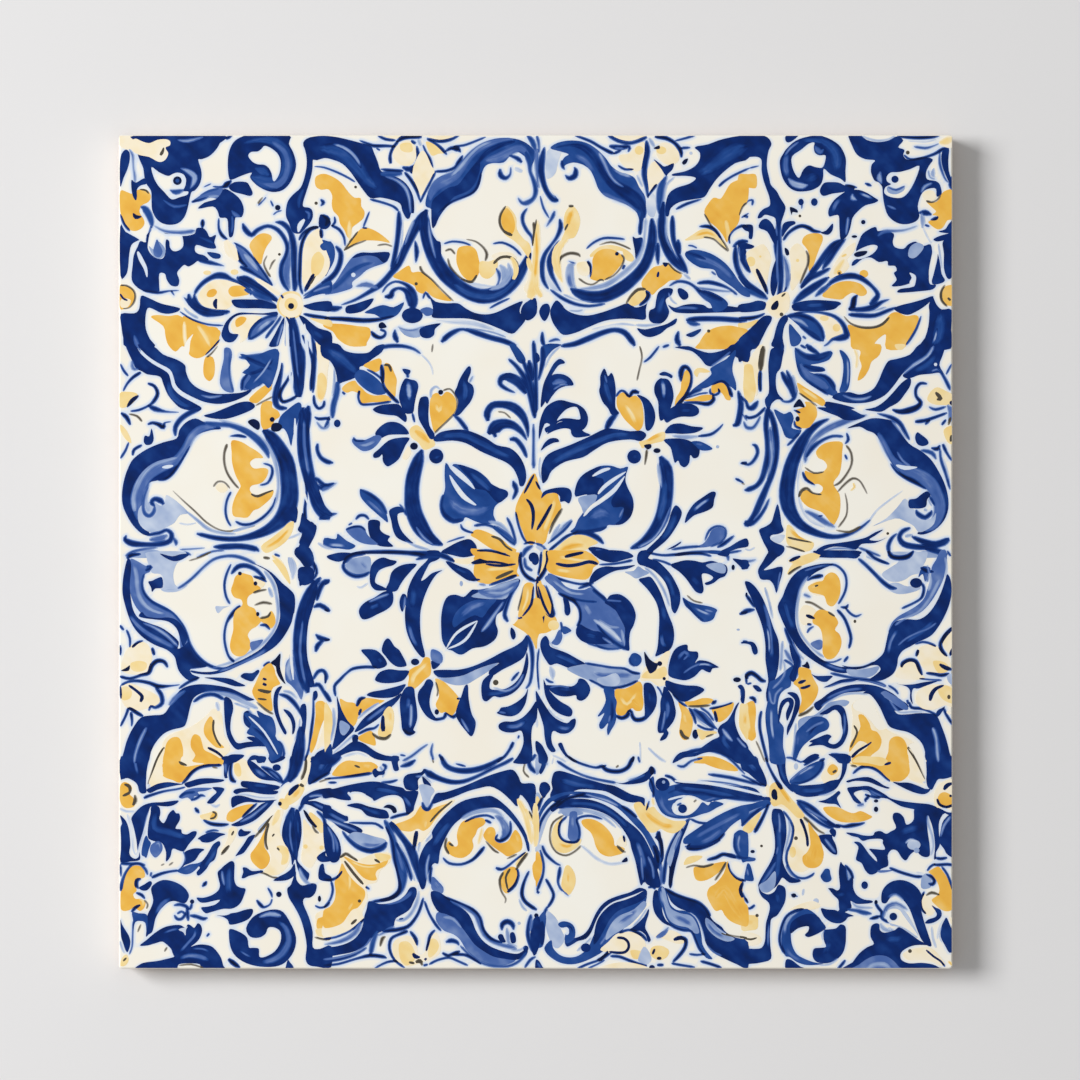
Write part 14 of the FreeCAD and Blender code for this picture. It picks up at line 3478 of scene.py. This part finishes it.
def pigment_material(name, stops, streak):
    """A pigment whose colour runs from bare glaze to full strength, streaked along the brush."""
    material, tree, shader = new_material(name)
    spot, tone = [add(tree, "ShaderNodeSeparateXYZ", inputs={
        "Vector": add(tree, "ShaderNodeAttribute", {"attribute_name": label}).outputs["Vector"]}).outputs
        for label in ("brush", "strength")]
    sideways = add(tree, "ShaderNodeMath", {"operation": "ABSOLUTE"}, {0: spot["Y"]}).outputs[0]
    wash_side = add(tree, "ShaderNodeMapRange", {"interpolation_type": "SMOOTHSTEP"}, {
        "Value": sideways, "From Min": wash_core, "From Max": 1.0, "To Min": 1.0, "To Max": 0.0})
    wash_tail = add(tree, "ShaderNodeMapRange", {"interpolation_type": "SMOOTHSTEP"}, {
        "Value": spot["Z"], "From Min": 0.0, "From Max": wash_end})
    wash = add(tree, "ShaderNodeMath", {"operation": "MULTIPLY"}, {
        0: wash_side.outputs["Result"], 1: wash_tail.outputs["Result"]})
    share_in = add(tree, "ShaderNodeMath", {"operation": "SUBTRACT"}, {0: 1.0, 1: sideways})
    inward = add(tree, "ShaderNodeMath", {"operation": "MULTIPLY"}, {0: share_in.outputs[0], 1: spot["Z"]})
    bleed = add(tree, "ShaderNodeMapRange", {"interpolation_type": "SMOOTHSTEP"}, {
        "Value": inward.outputs[0], "From Max": bleed_width, "To Min": bleed_strength, "To Max": 1.0})
    cover = add(tree, "ShaderNodeMix", inputs={0: tone["Z"], 2: wash.outputs[0], 3: bleed.outputs["Result"]})
    paint = add(tree, "ShaderNodeMix", inputs={0: cover.outputs[0], 2: tone["Y"], 3: tone["X"]})
    run = add(tree, "ShaderNodeMath", {"operation": "MULTIPLY"}, {0: spot["X"], 1: 1 / streak_length})
    lane = add(tree, "ShaderNodeMath", {"operation": "MULTIPLY"}, {0: spot["Y"], 1: streak_count})
    lanes = add(tree, "ShaderNodeCombineXYZ", inputs={"X": run.outputs[0], "Y": lane.outputs[0]})
    hairs = add(tree, "ShaderNodeTexNoise", inputs={
        "Vector": lanes.outputs["Vector"], "Scale": 1.0, "Detail": 2})
    place = add(tree, "ShaderNodeTexCoord").outputs["Object"]
    pools = add(tree, "ShaderNodeTexNoise", inputs={"Vector": place, "Scale": 1 / pool_size, "Detail": 2})
    uneven = add(tree, "ShaderNodeMath", {"operation": "ADD"}, {
        0: hairs.outputs["Fac"], 1: pools.outputs["Fac"]})
    change = add(tree, "ShaderNodeMapRange", inputs={
        "Value": uneven.outputs[0], "From Min": uneven_low, "From Max": uneven_high,
        "To Min": -streak, "To Max": streak})
    amount = add(tree, "ShaderNodeMath", {"operation": "ADD"}, {
        0: paint.outputs[0], 1: change.outputs["Result"]})
    ramp = add(tree, "ShaderNodeValToRGB", inputs={"Fac": amount.outputs[0]})
    set_ramp(ramp, stops)
    tree.links.new(ramp.outputs["Color"], shader.inputs["Base Color"])
    shader.inputs["Roughness"].default_value = glaze_roughness
    shader.inputs["Specular IOR Level"].default_value = glaze_shine
    glaze_bump(tree, shader)
    return material


# %% Mix the pigments and lay the coats
# To the eye: a blue that goes from a watery grey to nearly black inside one stroke.
cobalt = pigment_material("cobalt blue painted in the glaze", [
    (0.0, "#f4f2ec"), (0.16, "#c0cce0"), (0.32, "#8ea3ca"), (0.5, "#4a68a8"),
    (0.7, "#1e478e"), (0.86, "#05286a"), (1.0, "#06153a")], streak=0.1)
# To the eye: a soft egg yellow that thins to cream.
ochre = pigment_material("antimony yellow painted in the glaze", [
    (0.0, "#f4f0ea"), (0.25, "#f4e8cd"), (0.5, "#f1d797"), (0.8, "#ebb74f"), (1.0, "#df9f38")],
    streak=0.14)
# To the eye: thin dark lines with a breath of brown.
manganese = pigment_material("manganese brown painted in the glaze", [
    (0.0, "#f4f0ea"), (0.5, "#5c5549"), (1.0, "#1c1b20")], streak=0.1)
for name, material in (("cobalt_outlines", cobalt), ("cobalt_strokes", cobalt), ("cobalt_washes", cobalt),
                       ("ochre_painting", ochre), ("manganese_painting", manganese)):
    coat(name, layers[name], material)

# %% [markdown]
# ## Bloom of the cobalt
# Cobalt is a strong colour, and a little of it wanders into the glaze round every stroke. The gaps
# between close strokes turn a cool bluish white by it, while open ground stays cream. Wider pale
# strokes below all others could show that, at the cost of many more triangles. Here a fine grid, one
# thin closed sheet under the coats, carries at every point how near the next cobalt is, and the
# material tints the glaze by that.

# %% Follow the edge of the cobalt
bloom_from = 0.5         # cobalt paler than this gives off no bloom
edge_step = 0.2          # millimetres between two points of the edge

cobalt_triangles = [triangle for name, layer in layers.items() if name.startswith("cobalt")
                    for triangle, places, strengths in layer if strengths[0] >= bloom_from]
edge_uses = {}
for triangle in cobalt_triangles:
    for k in range(3):
        edge = frozenset((triangle[k], triangle[k - 2]))
        edge_uses[edge] = edge_uses.get(edge, 0) + 1
shore = []
for edge, uses in edge_uses.items():
    if uses == 1:
        start, end = (spots[i] for i in edge)
        pieces = math.ceil((end - start).length / edge_step)
        shore += [start.lerp(end, i / max(pieces, 1)) for i in range(pieces + 1)]
shore_tree = KDTree(len(shore))
for index, point in enumerate(shore):
    shore_tree.insert((point.x, point.y, 0), index)
shore_tree.balance()
print(len(shore), "points along the cobalt")

# %% Find what lies under the cobalt
bloom_cells = 280
bloom_margin = 0.3

cell = (side - 2 * bloom_margin) / bloom_cells
on_cobalt = set()
for triangle in cobalt_triangles:
    a, b, c = (spots[i] for i in triangle)
    columns, rows = [
        range(math.ceil((min(line) - bloom_margin) / cell), math.floor((max(line) - bloom_margin) / cell) + 1)
        for line in ((a.x, b.x, c.x), (a.y, b.y, c.y))]
    for column in columns:
        for row in rows:
            p = Vector((bloom_margin + column * cell, bloom_margin + row * cell))
            if all((q - o).cross(p - o) >= 0 for o, q in ((a, b), (b, c), (c, a))):
                on_cobalt.add((column, row))
print(len(on_cobalt), "grid points under the cobalt")

# %% Measure how near every grid point is
bloom_reach = 0.8
bloom_rise = 0.012 * MM
bloom_top = face_z + bloom_rise

grid_places = [(column, row) for row in range(bloom_cells + 1) for column in range(bloom_cells + 1)]
near, vertices = [], []
for column, row in grid_places:
    x, y = bloom_margin + column * cell, bloom_margin + row * cell
    distance = 0 if (column, row) in on_cobalt else shore_tree.find((x, y, 0))[2]
    near.append(max(0, 1 - distance / bloom_reach))
    vertices.append((x * MM - tile_side / 2, y * MM - tile_side / 2, bloom_top))
print(sum(value > 0 for value in near), "of", len(near), "grid points are within reach of the cobalt")

# %% The sheet that carries the bloom
across_row = bloom_cells + 1
corners = [row * across_row + column for row in range(bloom_cells) for column in range(bloom_cells)]
quads = [(i, i + 1, i + 1 + across_row, i + across_row) for i in corners]
last = across_row * across_row - 1
borders = [list(range(0, across_row)), list(range(bloom_cells, last + 1, across_row)),
           list(range(last, last - across_row, -1)), list(range(last - bloom_cells, -1, -across_row))]
foot = len(vertices)
for border in borders:
    x, y, z = vertices[border[0]]
    vertices.append((x, y, coat_foot))
    near.append(0)
walls = [tuple(border[::-1]) + (foot + i, foot + (i + 1) % 4) for i, border in enumerate(borders)]
bloom_mesh = bpy.data.meshes.new("cobalt_bloom")
bloom_mesh.from_pydata(vertices, [], quads + walls + [(foot + 3, foot + 2, foot + 1, foot)])
bloom_mesh.attributes.new("near", "FLOAT", "POINT").data.foreach_set("value", near)
lay_out_flat(bloom_mesh, 4 * len(quads))
bloom = bpy.data.objects.new("cobalt_bloom", bloom_mesh)
bpy.context.scene.collection.objects.link(bloom)
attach(bloom, "root")
print(len(quads), "squares in the sheet")

# %% Tint the glaze by the cobalt's nearness
bloom_tint = "#c8d8f0"
bloom_start, bloom_full = 0.25, 0.95
bloom_most = 0.8
bloom_patch = 4 * MM
bloom_uneven = 0.6

# To the eye: white that turns cool between close strokes.
bloomed, tree, shader = new_material("tin glaze tinted by wandering cobalt")
nearness = add(tree, "ShaderNodeAttribute", {"attribute_name": "near"}).outputs["Fac"]
place = add(tree, "ShaderNodeTexCoord").outputs["Object"]
wander = add(tree, "ShaderNodeTexNoise", inputs={"Vector": place, "Scale": 1 / bloom_patch, "Detail": 2})
more_or_less = add(tree, "ShaderNodeMapRange", inputs={
    "Value": wander.outputs["Fac"], "To Min": -bloom_uneven, "To Max": bloom_uneven})
uneven = add(tree, "ShaderNodeMath", {"operation": "ADD"}, {0: nearness, 1: more_or_less.outputs["Result"]})
least = add(tree, "ShaderNodeMath", {"operation": "MINIMUM"}, {0: uneven.outputs[0], 1: nearness})
tinting = add(tree, "ShaderNodeMapRange", {"interpolation_type": "SMOOTHSTEP"}, {
    "Value": least.outputs[0], "From Min": bloom_start, "From Max": bloom_full, "To Max": bloom_most})
tinted = add(tree, "ShaderNodeMix", {"data_type": "RGBA"}, {
    "Factor": tinting.outputs["Result"], 6: glaze_ground(tree), 7: colour(bloom_tint)})
tree.links.new(tinted.outputs[2], shader.inputs["Base Color"])
shader.inputs["Roughness"].default_value = glaze_roughness
shader.inputs["Specular IOR Level"].default_value = glaze_shine
glaze_bump(tree, shader)
bloom_mesh.materials.append(bloomed)
print("cobalt_bloom", 2 * len(quads) + sum(len(wall) - 2 for wall in walls) + 2, "triangles")

# %% [markdown]
# ## The studio
# The tile lies on a plain pale floor, and the camera looks straight down on it, because its face is
# what there is to see. One soft light shines from the left, about halfway up, so that the tile throws
# a short shadow to the right, and an even white surrounding fills in the rest. Both are set to a level
# at which colours come out about as they were written.

# %% A pale floor
floor_reach = 3.0
floor_roughness = 0.9

floor_mesh = bpy.data.meshes.new("floor")
floor_corners = [(x * floor_reach, y * floor_reach, 0) for x, y in ((-1, -1), (1, -1), (1, 1), (-1, 1))]
floor_mesh.from_pydata(floor_corners, [], [(0, 1, 2, 3)])
floor = bpy.data.objects.new("floor", floor_mesh)
bpy.context.scene.collection.objects.link(floor)
# To the eye: a quiet pale ground without a gleam.
floor_material, tree, shader = new_material("pale matt studio floor")
shader.inputs["Base Color"].default_value = colour("#e0dfdf")
shader.inputs["Roughness"].default_value = floor_roughness
floor_mesh.materials.append(floor_material)
print("floor", 2 * floor_reach, "m across")

# %% Soft light
surround_strength = 0.38
key_place = (-1.15, 0.3, 1.15)
key_size = 0.7
key_power = 25

scene = bpy.context.scene
scene.view_settings.view_transform = "Standard"
world = bpy.data.worlds.new("studio")
world.use_nodes = True
background = world.node_tree.nodes["Background"]
background.inputs["Color"].default_value = colour("#ffffff")
background.inputs["Strength"].default_value = surround_strength
scene.world = world
key = bpy.data.lights.new("key", "AREA")
key.shape = "SQUARE"
key.size = key_size
key.energy = key_power
key_light = bpy.data.objects.new("key", key)
key_light.location = key_place
key_light.rotation_euler = Vector(key_place).to_track_quat("Z", "Y").to_euler()
scene.collection.objects.link(key_light)
print("key light", round(Vector(key_place).length, 2), "m from the tile")

# %% The camera looks straight down
picture_width_px = 1080
tile_width_px = 833.9
tile_middle_px = (535.65, 551.9)
camera_height = 1.2
sensor_width = 36

px = tile_side / tile_width_px
middle_px = picture_width_px / 2
camera_data = bpy.data.cameras.new("camera")
camera_data.sensor_width = sensor_width
camera_data.lens = sensor_width * camera_height / (picture_width_px * px)
camera = bpy.data.objects.new("camera", camera_data)
camera.location = ((middle_px - tile_middle_px[0]) * px, (tile_middle_px[1] - middle_px) * px,
                   face_z + camera_height)
scene.collection.objects.link(camera)
scene.camera = camera
print("lens", round(camera_data.lens, 1), "mm")
